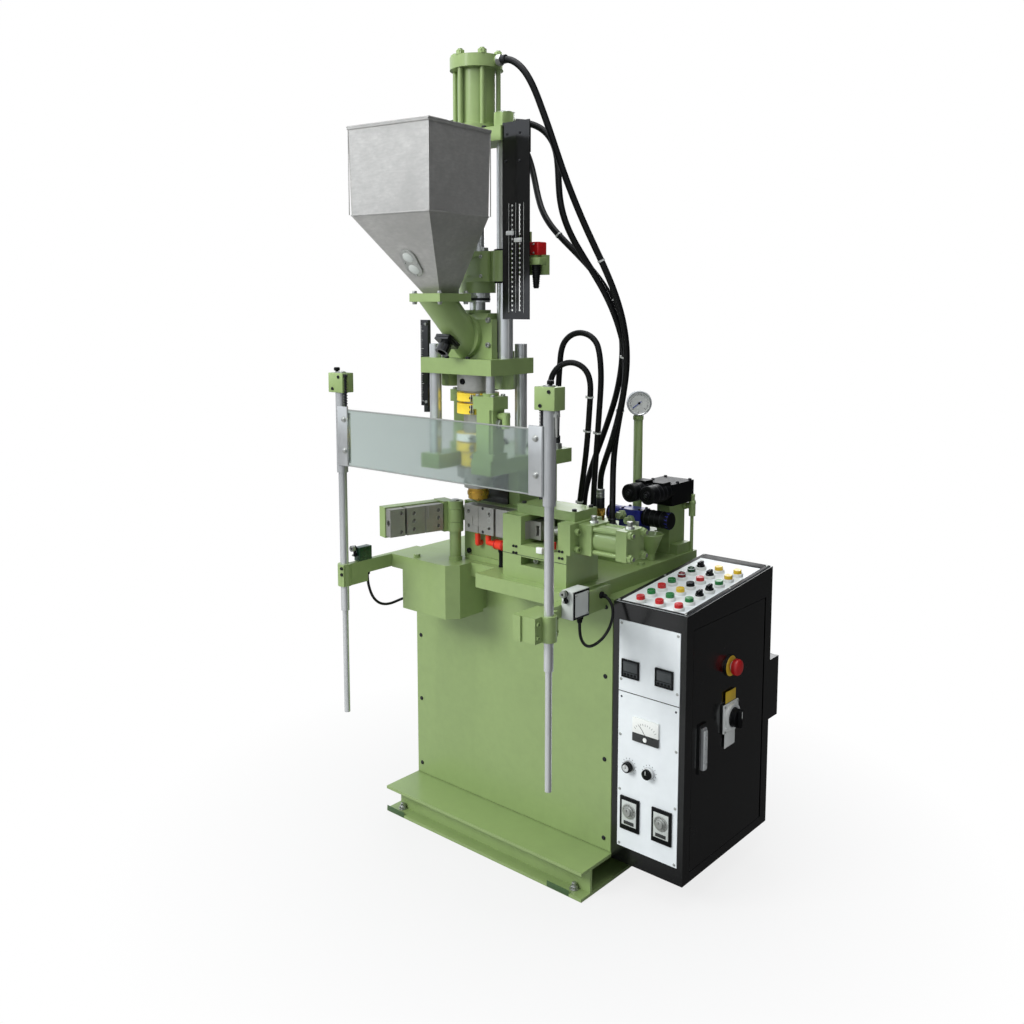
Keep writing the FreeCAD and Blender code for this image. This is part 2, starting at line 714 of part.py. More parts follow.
def rod(radius, start, end):
    """A round bar from start to end."""
    way = end - start
    return Part.makeCylinder(radius, way.Length, start, way)


def post(radius, x, y, z0, z1):
    """A round bar standing along Z."""
    return Part.makeCylinder(radius, z1 - z0, V(x, y, z0))


def prism(points, direction):
    """A polygon pushed along a direction."""
    return Part.Face(Part.makePolygon(points + [points[0]])).extrude(direction)


def floor_prism(outline, z0, z1):
    """An outline in X and Y, pushed up from z0 to z1."""
    return prism([V(x, y, z0) for x, y in outline], V(0, 0, z1 - z0))


def side_prism(outline, x0, x1):
    """An outline in Y and Z, pushed along X from x0 to x1."""
    return prism([V(x0, y, z) for y, z in outline], V(x1 - x0, 0, 0))


def hexagon(across, centre, direction, height):
    """A hexagonal nut blank across flats, from centre along direction."""
    corner = across / math.sqrt(3)
    outline = [V(corner * math.cos(math.radians(60 * i)), corner * math.sin(math.radians(60 * i)), 0)
               for i in range(6)]
    nut = prism(outline, V(0, 0, height))
    nut.Placement = FreeCAD.Placement(centre, FreeCAD.Rotation(Z_AXIS, direction))
    return nut


def joined(first, *others):
    """One solid made of touching pieces."""
    return first.multiFuse(list(others)).removeSplitter()


def cut(body, *tools):
    """A body less some tools."""
    return body.cut(list(tools))


def socket_bolt(centre, direction, radius, height):
    """A cap screw's head with its hexagon socket."""
    head = Part.makeCylinder(radius, height, centre, direction)
    socket = hexagon(radius, centre + direction * (height * 0.4), direction, height)
    return head.cut(socket)


def rectangle(width, depth, centre_x, centre_y, z):
    """A closed rectangular wire, turned with the hopper."""
    corners = [V(-width / 2, -depth / 2, 0), V(width / 2, -depth / 2, 0),
               V(width / 2, depth / 2, 0), V(-width / 2, depth / 2, 0)]
    turn = FreeCAD.Rotation(Z_AXIS, HOPPER_TURN)
    points = []
    for corner in corners:
        points.append(turn.multVec(corner + V(centre_x, centre_y, 0)) + V(0, HOPPER_Y, z))
    return Part.makePolygon(points + [points[0]])


def hose(name, route, radius):
    """A tube along the straight runs between a route's points, joined by tangent arcs."""
    points = [V(*place) for place in route]
    edges = []
    radii = []
    start = points[0]
    for before, corner, after in zip(points, points[1:], points[2:]):
        way_in = (corner - before).normalize()
        way_out = (after - corner).normalize()
        half_turn = way_in.getAngle(way_out) / 2
        reach = CORNER_SHARE * min((corner - before).Length, (after - corner).Length)
        radii.append(reach / math.tan(half_turn))
        arc_start = corner - way_in * reach
        arc_end = corner + way_out * reach
        inward = (way_out - way_in).normalize()
        sagitta = radii[-1] * (1 / math.cos(half_turn) - 1)
        edges.append(Part.LineSegment(start, arc_start).toShape())
        edges.append(Part.Arc(arc_start, corner + inward * sagitta, arc_end).toShape())
        start = arc_end
    edges.append(Part.LineSegment(start, points[-1]).toShape())
    path = Part.Wire(edges)
    ring = Part.Wire(Part.Circle(points[0], points[1] - points[0], radius).toShape())
    tube = path.makePipeShell([ring], True, False)
    ratio = tube.Volume / (math.pi * radius ** 2 * path.Length)
    print(f"{name}: length {path.Length:.0f}, least radius {min(radii):.0f} "
          f"({min(radii) / (2 * radius):.1f} diameters), volume ratio {ratio:.3f}")
    return tube


PARTS = {}


def node(name, *solids):
    """Keep a sub-part as one solid, or several solids that repeat or lie apart."""
    pieces = []
    for solid in solids:
        pieces.extend(solid.Solids)
    PARTS[name] = pieces[0] if len(pieces) == 1 else Part.makeCompound(pieces)


# ---------------------------------------------------------------- base and table
def base_skid():
    """Folded and welded skid: floor plate, set-back webs, top plate, open at the right end."""
    back = SKID_FRONT + SKID_DEPTH
    under = block(BASE_LEFT, BASE_RIGHT, SKID_FRONT, back, 0, SKID_PLATE)
    over = block(BASE_LEFT, BASE_RIGHT, SKID_FRONT, back, SKID_HEIGHT - SKID_PLATE, SKID_HEIGHT)
    web_left = BASE_LEFT + SKID_END_INSET
    front_y = SKID_FRONT + SKID_WEB_INSET
    back_y = back - SKID_WEB_INSET
    front = block(web_left, BASE_RIGHT, front_y, front_y + SKID_WEB, SKID_PLATE, SKID_HEIGHT - SKID_PLATE)
    rear = block(web_left, BASE_RIGHT, back_y - SKID_WEB, back_y, SKID_PLATE, SKID_HEIGHT - SKID_PLATE)
    end = block(web_left, web_left + SKID_WEB, front_y, back_y, SKID_PLATE, SKID_HEIGHT - SKID_PLATE)
    node("base_skid", joined(under, over, front, rear, end))


def pedestal():
    """Sheet tank that carries the table, open underneath, with its front panel."""
    shell = block(BASE_LEFT, BASE_RIGHT, PEDESTAL_FRONT, PEDESTAL_BACK, SKID_HEIGHT, TABLE_UNDER)
    inside = block(BASE_LEFT + PEDESTAL_WALL, BASE_RIGHT - PEDESTAL_WALL,
                   PEDESTAL_FRONT + PEDESTAL_WALL, PEDESTAL_BACK - PEDESTAL_WALL,
                   SKID_HEIGHT, TABLE_UNDER - PEDESTAL_WALL)
    node("pedestal", cut(shell, inside))
    panel = block(BASE_LEFT + PANEL_MARGIN, BASE_RIGHT - PANEL_MARGIN, PANEL_FRONT, PEDESTAL_FRONT,
                  SKID_HEIGHT + PANEL_MARGIN, TABLE_UNDER - PANEL_MARGIN)
    node("front_panel", panel)


def table():
    """Thick table plate with the product notch, and the welded box under its left front."""
    corner_x = NOTCH_LEFT - CORNER_CUT_X
    corner_y = TABLE_FRONT + CORNER_CUT_Y
    notch_right = NOTCH_LEFT + NOTCH_WIDTH
    plate = floor_prism([(TABLE_LEFT, TABLE_FRONT), (corner_x, TABLE_FRONT), (NOTCH_LEFT, corner_y),
                         (NOTCH_LEFT, NOTCH_BACK), (notch_right, NOTCH_BACK), (notch_right, TABLE_FRONT),
                         (TABLE_RIGHT, TABLE_FRONT), (TABLE_RIGHT, TABLE_BACK), (TABLE_LEFT, TABLE_BACK)],
                        TABLE_UNDER, TABLE_TOP)
    wall = FRONT_BOX_WALL
    box_bottom = TABLE_UNDER - FRONT_BOX_HEIGHT
    box = floor_prism([(FRONT_BOX_LEFT, TABLE_FRONT), (corner_x, TABLE_FRONT), (NOTCH_LEFT, corner_y),
                       (NOTCH_LEFT, FRONT_BOX_SHOULDER), (FRONT_BOX_LEFT, FRONT_BOX_SHOULDER)],
                      box_bottom, TABLE_UNDER)
    inside = floor_prism([(FRONT_BOX_LEFT + wall, TABLE_FRONT + wall), (corner_x - wall / 2, TABLE_FRONT + wall),
                          (NOTCH_LEFT - wall, corner_y + wall / 2),
                          (NOTCH_LEFT - wall, FRONT_BOX_SHOULDER - wall),
                          (FRONT_BOX_LEFT + wall, FRONT_BOX_SHOULDER - wall)], box_bottom, TABLE_UNDER - wall)
    neck = block(FRONT_BOX_LEFT + wall, NOTCH_LEFT - wall, FRONT_BOX_SHOULDER, PANEL_FRONT,
                 box_bottom + wall, TABLE_UNDER)
    node("table", joined(plate, cut(box, inside), neck))


# ---------------------------------------------------------------- stand of the injection unit
def stand():
    """Rear pillar, its dark shield plate and the fork-shaped platen."""
    half = PILLAR_WIDTH / 2
    node("rear_column", block(-half, half, PILLAR_FRONT, PILLAR_FRONT + PILLAR_DEPTH, TABLE_TOP, PLATEN_UNDER))
    node("column_shield", block(SHIELD_LEFT, SHIELD_LEFT + SHIELD_WIDTH, PILLAR_FRONT - SHIELD_THICK,
                                PILLAR_FRONT, PLATEN_UNDER - SHIELD_HEIGHT, PLATEN_UNDER))
    half = PLATEN_WIDTH / 2
    plate = block(-half, half, PLATEN_FRONT, PLATEN_BACK, PLATEN_UNDER, PLATEN_TOP)
    slot_half = SLOT_WIDTH / 2
    straight = SLOT_BACK - slot_half
    slot = block(-slot_half, slot_half, PLATEN_FRONT, straight, PLATEN_UNDER, PLATEN_TOP)
    slot_end = post(slot_half, 0, straight, PLATEN_UNDER, PLATEN_TOP)
    holes = [post(GUIDE_RADIUS, x, y, PLATEN_UNDER, PLATEN_TOP) for x, y in guide_places()]
    node("lower_platen", cut(plate, joined(slot, slot_end), *holes))


def guide_places():
    """The two guide rods stand on one diagonal."""
    return [(-GUIDE_X, -GUIDE_Y), (GUIDE_X, GUIDE_Y)]


def lift_places():
    """The two lift cylinders stand on the other diagonal."""
    return [(GUIDE_X, -GUIDE_Y), (-GUIDE_X, GUIDE_Y)]


def guide_rods():
    """Hard chromed rods from the platen up through the mid plate."""
    rods = [post(GUIDE_RADIUS, x, y, PLATEN_UNDER, MID_TOP + GUIDE_STUB) for x, y in guide_places()]
    node("guide_rods", *rods)


def lift_cylinders():
    """Tie-rod cylinders that lift and press down the injection unit, and their rods."""
    top = MID_UNDER - LIFT_GAP
    body_low = PLATEN_TOP + LIFT_FOOT
    body_high = top - LIFT_CAP_THICK
    half = LIFT_BODY / 2
    cap_half = LIFT_CAP / 2
    bodies = []
    rods = []
    for x, y in lift_places():
        foot = block(x - cap_half, x + cap_half, y - half, y + half, PLATEN_TOP, body_low)
        body = block(x - half, x + half, y - half, y + half, body_low, body_high)
        corners = [post(LIFT_FLUTE, x + sx * half, y + sy * half, body_low, body_high)
                   for sx in (-1, 1) for sy in (-1, 1)]
        cap = block(x - cap_half, x + cap_half, y - half, y + half, body_high, top)
        gland = post(LIFT_GLAND_RADIUS, x, y, top, top + LIFT_GLAND_HEIGHT)
        port_z = top - LIFT_PORT_DROP
        port = rod(LIFT_PORT_RADIUS, V(x, y, port_z), V(x + half + LIFT_PORT_REACH, y, port_z))
        elbow_top = port_z + LIFT_PORT_RADIUS + 1
        elbow = post(LIFT_ELBOW_RADIUS, x + half + LIFT_ELBOW_REACH, y, elbow_top - LIFT_ELBOW_HEIGHT, elbow_top)
        bore = post(LIFT_ROD_RADIUS + SLIDE_FIT, x, y, body_low, top + LIFT_GLAND_HEIGHT)
        bodies.append(cut(joined(cut(body, *corners), foot, cap, gland, port, elbow), bore))
        rods.append(post(LIFT_ROD_RADIUS, x, y, body_low + LIFT_ROD_START, MID_UNDER))
    node("lift_cylinders", *bodies)
    node("lift_rods", *rods)


# ---------------------------------------------------------------- carriage
def mid_plate():
    """Plate that carries the feed block above and the heated barrel below."""
    half = PLATEN_WIDTH / 2
    plate = block(-half, half, PLATEN_FRONT, MID_BACK, MID_UNDER, MID_TOP)
    holes = [post(GUIDE_RADIUS + SLIDE_FIT, x, y, MID_UNDER, MID_TOP) for x, y in guide_places()]
    holes += [post(COLUMN_RADIUS, side * COLUMN_X, 0, MID_UNDER, MID_TOP) for side in (-1, 1)]
    holes.append(post(PLUNGER_RADIUS + SLIDE_FIT, 0, 0, MID_UNDER, MID_TOP))
    node("mid_plate", cut(plate, *holes))


def columns():
    """Two columns with a nut above the top plate and one under the mid plate."""
    solids = []
    for side in (-1, 1):
        x = side * COLUMN_X
        bar = post(COLUMN_RADIUS, x, 0, MID_UNDER - COLUMN_NUT_HEIGHT, TOP_TOP + COLUMN_NUT_HEIGHT)
        upper = hexagon(COLUMN_NUT, V(x, 0, TOP_TOP), Z_AXIS, COLUMN_NUT_HEIGHT)
        lower = hexagon(COLUMN_NUT, V(x, 0, MID_UNDER - COLUMN_NUT_HEIGHT), Z_AXIS, COLUMN_NUT_HEIGHT)
        solids.append(joined(bar, upper, lower))
    node("injection_columns", *solids)


def top_plate():
    """Plate on the columns that carries the injection cylinder."""
    half = TOP_WIDTH / 2
    plate = block(-half, half, -TOP_DEPTH / 2, TOP_DEPTH / 2, TOP_UNDER, TOP_TOP)
    holes = [post(COLUMN_RADIUS, side * COLUMN_X, 0, TOP_UNDER, TOP_TOP) for side in (-1, 1)]
    holes.append(post(ROD_RADIUS + SLIDE_FIT, 0, 0, TOP_UNDER, TOP_TOP))
    node("top_plate", cut(plate, *holes))


def around(angle):
    """The horizontal direction at an angle in degrees from +X."""
    return V(math.cos(math.radians(angle)), math.sin(math.radians(angle)), 0)


def injection_cylinder():
    """Oil cylinder with six tie rods between its round caps."""
    cap_top = RAM_TOP + RAM_CAP_THICK
    foot_top = TOP_TOP + RAM_FOOT_THICK
    barrel = post(RAM_BARREL_RADIUS, 0, 0, TOP_TOP, RAM_TOP)
    foot = post(RAM_TIE_CIRCLE + RAM_TIE_RADIUS + RAM_FOOT_MARGIN, 0, 0, TOP_TOP, foot_top)
    cap = post(RAM_CAP_RADIUS, 0, 0, RAM_TOP, cap_top)
    fixings = []
    for i in range(RAM_TIE_COUNT):
        at = around(RAM_TIE_START + i * 360 / RAM_TIE_COUNT) * RAM_TIE_CIRCLE
        fixings.append(post(RAM_TIE_RADIUS, at.x, at.y, foot_top, cap_top + RAM_TIE_END))
        fixings.append(hexagon(RAM_NUT, V(at.x, at.y, cap_top), Z_AXIS, RAM_NUT_HEIGHT))
    port_z = RAM_TOP + RAM_CAP_THICK / 2
    port = rod(PORT_RADIUS, V(RAM_BARREL_RADIUS, 0, port_z), V(RAM_CAP_RADIUS + PORT_PROUD, 0, port_z))
    low_base = V(0, 0, TOP_TOP + LOW_PORT_RISE)
    low_ports = [rod(PORT_RADIUS, low_base + around(angle) * RAM_BARREL_BORE,
                     low_base + around(angle) * (RAM_TIE_CIRCLE + LOW_PORT_PROUD))
                 for angle in LOW_PORT_DIRECTIONS]
    body = joined(barrel, foot, cap, port, *(fixings + low_ports))
    chamber = post(RAM_BARREL_BORE, 0, 0, TOP_TOP + RAM_GUIDE_LENGTH, RAM_TOP - RAM_CROWN)
    throat = post(ROD_RADIUS + SLIDE_FIT, 0, 0, TOP_TOP, TOP_TOP + RAM_GUIDE_LENGTH)
    node("injection_cylinder", cut(body, chamber, throat))


def feed_block():
    """Casting with the plunger bore and the feed opening, on a flange with front cheeks."""
    half = BLOCK_WIDTH / 2
    body = side_prism([(BLOCK_FRONT, MID_TOP), (BLOCK_BACK, MID_TOP), (BLOCK_BACK, BLOCK_TOP),
                       (BLOCK_FRONT + BLOCK_CHAMFER, BLOCK_TOP), (BLOCK_FRONT, BLOCK_TOP - BLOCK_CHAMFER)],
                      -half, half)
    cheek_half = CHEEK_WIDTH / 2
    cheek = block(-cheek_half, cheek_half, BLOCK_FRONT, BLOCK_FRONT + CHEEK_THICK, MID_TOP,
                  BLOCK_TOP - BLOCK_CHAMFER)
    foot = block(-cheek_half, cheek_half, BLOCK_FRONT, BLOCK_BACK, MID_TOP, MID_TOP + BLOCK_FLANGE)
    column_cuts = [post(COLUMN_RADIUS + COLUMN_CLEAR, side * COLUMN_X, 0, MID_TOP, BLOCK_TOP) for side in (-1, 1)]
    column_cuts += [post(GUIDE_RADIUS + COLUMN_CLEAR, x, y, MID_TOP, BLOCK_TOP) for x, y in guide_places()]
    bore = post(PLUNGER_RADIUS + SLIDE_FIT, 0, 0, MID_TOP, BLOCK_TOP + SEAL_PLATE_THICK)
    feed = rod(FEED_RADIUS, V(0, BLOCK_FRONT, THROAT_Z), V(0, 0, THROAT_Z))
    seal = post(SEAL_PLATE_RADIUS, 0, 0, BLOCK_TOP, BLOCK_TOP + SEAL_PLATE_THICK)
    node("feed_block", cut(joined(body, cheek, foot, seal), bore, feed, *column_cuts))


def neck_line():
    """The inclined feed neck's axis: its two ends, under 45 degrees."""
    low = V(0, BLOCK_FRONT - THROAT_START, THROAT_Z)
    run = low.y - HOPPER_Y
    return low, low + V(0, -run, run)


def hopper_throat():
    """Inclined feed neck with its round flange on the feed block and square flange for the hopper."""
    low, high = neck_line()
    way = (high - low).normalize()
    disc_front = BLOCK_FRONT - THROAT_DISC_THICK
    disc = rod(THROAT_DISC, V(0, disc_front, THROAT_Z), V(0, BLOCK_FRONT, THROAT_Z))
    neck = rod(THROAT_RADIUS, low - way * THROAT_RADIUS, high + way * THROAT_DISC)
    reach = HOPPER_FLANGE_Y - HOPPER_Y
    behind = block(-reach, reach, BLOCK_FRONT, reach, MID_TOP, HOPPER_BRIM)
    above = block(-reach, reach, -reach, reach, FLANGE_UNDER, HOPPER_BRIM)
    plate = block(-HOPPER_FLANGE_X / 2, HOPPER_FLANGE_X / 2, HOPPER_Y - HOPPER_FLANGE_Y / 2,
                  HOPPER_Y + HOPPER_FLANGE_Y / 2, FLANGE_UNDER, HOPPER_BASE)
    bore = rod(THROAT_BORE, low, high + way * FEED_RADIUS)
    drop = post(THROAT_BORE, 0, HOPPER_Y, FLANGE_UNDER - FEED_RADIUS / 4, HOPPER_BASE)
    feed = rod(FEED_RADIUS, V(0, disc_front - FEED_RADIUS, THROAT_Z), V(0, BLOCK_FRONT, THROAT_Z))
    node("hopper_throat", cut(joined(disc, cut(neck, behind, above), plate), bore, drop, feed))


def drain_spout():
    """Black drain pipe with two square flanges under the feed neck."""
    low, high = neck_line()
    slope = high - low
    root = low + slope * SPOUT_START
    dip = math.radians(SPOUT_DIP)
    way = V(0, -math.cos(dip), -math.sin(dip))
    end = root + way * SPOUT_LENGTH
    pieces = [rod(SPOUT_RADIUS, root, end), rod(SPOUT_END_RADIUS, end - way * SPOUT_END_LENGTH, end)]
    half = SPOUT_FLANGE / 2
    for reach in SPOUT_FLANGES:
        flange = block(-half, half, -half, half, 0, SPOUT_FLANGE_THICK)
        flange.Placement = FreeCAD.Placement(root + way * reach, FreeCAD.Rotation(Z_AXIS, way))
        pieces.append(flange)
    hole = rod(SPOUT_BORE, root + way * SPOUT_FLANGES[0], end)
    neck = rod(THROAT_RADIUS, low - slope, high)
    node("drain_spout", cut(joined(*pieces), hole, neck))


def hopper():
    """Folded stainless hopper: square box, offset four-sided funnel, open top with a folded rim."""
    wall = HOPPER_WALL
    centre = (HOPPER_SHIFT_X, HOPPER_SHIFT_Y)
    levels = [(HOPPER_TOP, HOPPER_TOP, centre, HOPPER_BRIM),
              (HOPPER_SHOULDER, HOPPER_SHOULDER, centre, SHOULDER_Z),
              (HOPPER_OUTLET_X, HOPPER_OUTLET_Y, (0, 0), HOPPER_BASE)]
    solids = []
    for less in (0, 2 * wall):
        wires = [rectangle(w - less, d - less, c[0], c[1], z) for w, d, c, z in levels]
        box = Part.makeLoft([wires[1], wires[0]], True, True)
        cone = Part.makeLoft([wires[2], wires[1]], True, True)
        solids.append(box.fuse(cone))
    rim_size = HOPPER_TOP + 2 * HOPPER_RIM - 2 * wall
    rim_wires = [rectangle(rim_size, rim_size, centre[0], centre[1], z) for z in (HOPPER_BRIM - wall, HOPPER_BRIM)]
    rim = Part.makeLoft(rim_wires, True, True)
    node("hopper", cut(joined(solids[0], rim), solids[1]))


def barrel():
    """Heated barrel with its cooling flange and lower flange, bored for the plunger."""
    steel = post(BARREL_RADIUS, 0, 0, NOZZLE_SEAT, MID_UNDER)
    cooler = post(COOLER_RADIUS, 0, 0, MID_UNDER - COOLER_HEIGHT, MID_UNDER)
    flange_top = MID_UNDER - BARREL_FLANGE_DROP
    flange = post(BARREL_FLANGE_RADIUS, 0, 0, flange_top - BARREL_FLANGE_HEIGHT, flange_top)
    bore = post(PLUNGER_RADIUS + SLIDE_FIT, 0, 0, NOZZLE_SEAT + NOZZLE_RUNNER, MID_UNDER)
    outlet = post(NOZZLE_BORE, 0, 0, NOZZLE_SEAT, NOZZLE_SEAT + NOZZLE_RUNNER)
    node("barrel", cut(joined(steel, cooler, flange), bore, outlet))
    bands = [(BAND_RADIUS, *band) for band in BAND_DROPS] + [(BAND_SMALL_RADIUS, *BAND_SMALL_DROP)]
    solids = []
    for radius, drop, height in bands:
        ring = post(radius, 0, 0, MID_UNDER - drop - height, MID_UNDER - drop)
        solids.append(ring.cut(post(BARREL_RADIUS, 0, 0, NOZZLE_SEAT, MID_UNDER)))
    node("heater_bands", *solids)
    nut_low = NOZZLE_SEAT - NOZZLE_NUT_HEIGHT
    tip_low = nut_low - NOZZLE_TIP_HEIGHT
    nut = post(NOZZLE_NUT_RADIUS, 0, 0, nut_low, NOZZLE_SEAT)
    tip = Part.makeCone(NOZZLE_TIP_RADIUS, NOZZLE_TIP_BASE, NOZZLE_TIP_HEIGHT, V(0, 0, tip_low))
    runner = post(NOZZLE_BORE, 0, 0, tip_low, NOZZLE_SEAT)
    node("nozzle", cut(joined(nut, tip), runner))


def scale_panel():
    """Black plate with two slots for the pointers, bracketed from the top plate."""
    top = TOP_TOP + SCALE_ABOVE
    bottom = top - SCALE_HEIGHT
    plate = block(SCALE_LEFT, SCALE_LEFT + SCALE_WIDTH, SCALE_FRONT, SCALE_FRONT + SCALE_THICK, bottom, top)
    slots = [block(SCALE_LEFT + x - SCALE_SLOT / 2, SCALE_LEFT + x + SCALE_SLOT / 2, SCALE_FRONT,
                   SCALE_FRONT + SCALE_THICK, bottom + SCALE_SLOT_BOTTOM, bottom + SCALE_SLOT_TOP)
             for x in SCALE_SLOTS]
    bracket = block(TOP_WIDTH / 2, TOP_WIDTH / 2 + SCALE_BRACKET_REACH, SCALE_FRONT + SCALE_THICK,
                    SCALE_BRACKET_BACK, TOP_UNDER - SCALE_BRACKET_DROP, TOP_TOP)
    node("scale_panel", joined(cut(plate, *slots), bracket))


def stroke_scale_bar():
    """Narrow bar with a rule and a bumper, on the left side of the mid plate."""
    right = -PLATEN_WIDTH / 2
    left = right - RULER_WIDTH
    back = RULER_Y + RULER_THICK
    bumper_low = MID_UNDER - RULER_BELOW - BUMPER_DROP
    bar_low = bumper_low + BUMPER_HEIGHT
    bar = block(left, right - RULER_GAP, RULER_Y, back, bar_low, MID_TOP + RULER_ABOVE)
    lug = block(right - RULER_WIDTH / 2, right, RULER_Y, back + RULER_LUG_DEPTH,
                MID_UNDER + RULER_LUG_INSET, MID_TOP - RULER_LUG_INSET)
    bumper = post(BUMPER_RADIUS, right - BUMPER_X, RULER_Y + RULER_THICK / 2, bumper_low, bar_low)
    node("stroke_scale_bar", joined(bar, lug, bumper))


# ---------------------------------------------------------------- crosshead
def crosshead():
    """Casting that slides on the columns and pushes the plunger, with an arm to the scale panel."""
    half = CROSSHEAD_BODY / 2
    deep = CROSSHEAD_DEPTH / 2
    body = block(-half, half, -deep, deep, CROSS_UNDER, CROSS_TOP)
    hubs = [post(HUB_RADIUS, side * COLUMN_X, 0, CROSS_UNDER, CROSS_TOP) for side in (-1, 1)]
    boss = post(BOSS_RADIUS, 0, 0, CROSS_UNDER - BOSS_HEIGHT, CROSS_UNDER)
    recess = block(-half + RECESS_SIDE, half - RECESS_SIDE, -deep, -deep + RECESS_DEPTH,
                   CROSS_UNDER + RECESS_BOTTOM, CROSS_TOP - RECESS_TOP)
    arm = block(COLUMN_X, ARM_REACH, 0, ARM_BACK, CROSS_UNDER + ARM_UNDER, CROSS_TOP - RECESS_TOP)
    bores = [post(COLUMN_RADIUS + SLIDE_FIT, side * COLUMN_X, 0, CROSS_UNDER, CROSS_TOP) for side in (-1, 1)]
    casting = cut(joined(body, boss, arm, *hubs), recess, *bores)
    low_pointer = CROSS_TOP + POINTER_RISE
    high_pointer = low_pointer + POINTER_STEP
    upright = block(SCALE_LEFT + SCALE_SLOTS[0] - UPRIGHT_MARGIN, UPRIGHT_RIGHT,
                    -UPRIGHT_THICK, 0, CROSS_UNDER + ARM_UNDER, high_pointer + POINTER_STEM_HEIGHT)
    stem_half = POINTER_STEM / 2
    flag_half = POINTER_WIDTH / 2
    flag_front = SCALE_FRONT - 2 - POINTER_THICK
    pointers = []
    for x, z in zip(SCALE_SLOTS, (high_pointer, low_pointer)):
        at = SCALE_LEFT + x
        pointers.append(block(at - stem_half, at + stem_half, flag_front, -UPRIGHT_THICK,
                              z - POINTER_STEM_HEIGHT / 2, z + POINTER_STEM_HEIGHT / 2))
        pointers.append(block(at - flag_half, at + flag_half, flag_front, flag_front + POINTER_THICK,
                              z - POINTER_HEIGHT / 2, z + POINTER_HEIGHT / 2))
    node("crosshead", joined(casting, upright, *pointers))


def plunger():
    """Injection plunger below the crosshead, and its piston rod and piston above."""
    boss_low = CROSS_UNDER - BOSS_HEIGHT
    low = post(PLUNGER_RADIUS, 0, 0, BLOCK_TOP - PLUNGER_SINK, boss_low)
    collar = post(COLLAR_RADIUS, 0, 0, boss_low - COLLAR_HEIGHT, boss_low)
    rod_end = TOP_UNDER + ROD_REACH
    rod_up = post(ROD_RADIUS, 0, 0, CROSS_TOP, rod_end)
    washer = post(WASHER_RADIUS, 0, 0, CROSS_TOP, CROSS_TOP + WASHER_HEIGHT)
    piston = post(RAM_BARREL_BORE - PISTON_FIT, 0, 0, rod_end, rod_end + PISTON_THICK)
    node("plunger", joined(low, collar), joined(rod_up, washer, piston))


def position_sensor():
    """Red reading head on a bracket at the arm's end, with its cable boot pointing down."""
    left = ARM_REACH - SENSOR_INSET
    front = -SENSOR_SHELF_DEPTH
    head_front = SENSOR_HEAD_FRONT
    shelf_low = CROSS_TOP - SENSOR_SHELF_DROP
    shelf_top = shelf_low + SENSOR_SHELF_THICK
    head_low = shelf_top + SENSOR_STEM_HEIGHT
    shelf = block(left, ARM_REACH + SENSOR_SHELF_REACH, front, 0, shelf_low, shelf_top)
    head = block(left + SENSOR_SIDE, ARM_REACH - SENSOR_SIDE_FAR, head_front, head_front + SENSOR_HEAD_DEPTH, head_low,
                 head_low + SENSOR_HEIGHT)
    stem = block(left + SENSOR_STEM_SIDE, ARM_REACH - BOOT_REACH, head_front, 0, shelf_top, head_low)
    boot = Part.makeCone(BOOT_RADIUS, BOOT_TIP_RADIUS, BOOT_LENGTH, V(ARM_REACH - BOOT_REACH, front / 2, shelf_low),
                         -Z_AXIS)
    node("position_sensor", joined(shelf, head, stem, boot))


# ---------------------------------------------------------------- mould
def swing(shape):
    """Turn a piece drawn in the closed position to where the open arm holds it."""
    shape.rotate(V(HINGE_X, HINGE_Y, 0), Z_AXIS, ARM_OPEN)
    return shape


def hinge_levels():
    """Heights of the four knuckle faces."""
    first = HINGE_Z
    second = first + HINGE_LOW_KNUCKLE
    third = second + HINGE_MID_KNUCKLE
    fourth = third + HINGE_TOP_KNUCKLE
    return first, second, third, fourth


def mould_block():
    """Welded block that backs the fixed mould half, and the fixed middle knuckle."""
    low, second, third, top = hinge_levels()
    front = MOULD_BLOCK_FRONT
    gap = FACE_GAP
    body = block(HINGE_X, CLAMP_LEFT, front, PILLAR_FRONT, TABLE_TOP, TABLE_TOP + MOULD_BLOCK_HEIGHT)
    foot = block(HINGE_X + MOULD_FOOT_INSET, CLAMP_LEFT, front - MOULD_FOOT_INSET, front, TABLE_TOP,
                 TABLE_TOP + MOULD_FOOT_HEIGHT)
    knuckle = post(HINGE_RADIUS, HINGE_X, HINGE_Y, second + gap, third - gap)
    web = block(HINGE_X - HINGE_WEB_HALF, HINGE_X + HINGE_WEB_HALF, HINGE_Y + HINGE_WEB_FRONT,
                front + HINGE_WEB_HALF, second + gap, third - gap)
    pin_hole = post(HINGE_PIN_RADIUS, HINGE_X, HINGE_Y, second, third)
    node("mould_block", cut(joined(body, foot, knuckle, web), pin_hole))
    pin = post(HINGE_PIN_RADIUS, HINGE_X, HINGE_Y, TABLE_TOP, top)
    collar = post(HINGE_FOOT_RADIUS, HINGE_X, HINGE_Y, TABLE_TOP, TABLE_TOP + HINGE_FOOT_HEIGHT)
    shoulder = post(HINGE_SHOULDER_RADIUS, HINGE_X, HINGE_Y, TABLE_TOP, low - gap)
    node("hinge_post", joined(pin, collar, shoulder))


def mould_holes(places, y, depth):
    """Blind screw holes in a mould plate, from the parting face."""
    return [rod(MOULD_HOLE_RADIUS, V(x, y, z), V(x, y + depth, z)) for x, z in places]


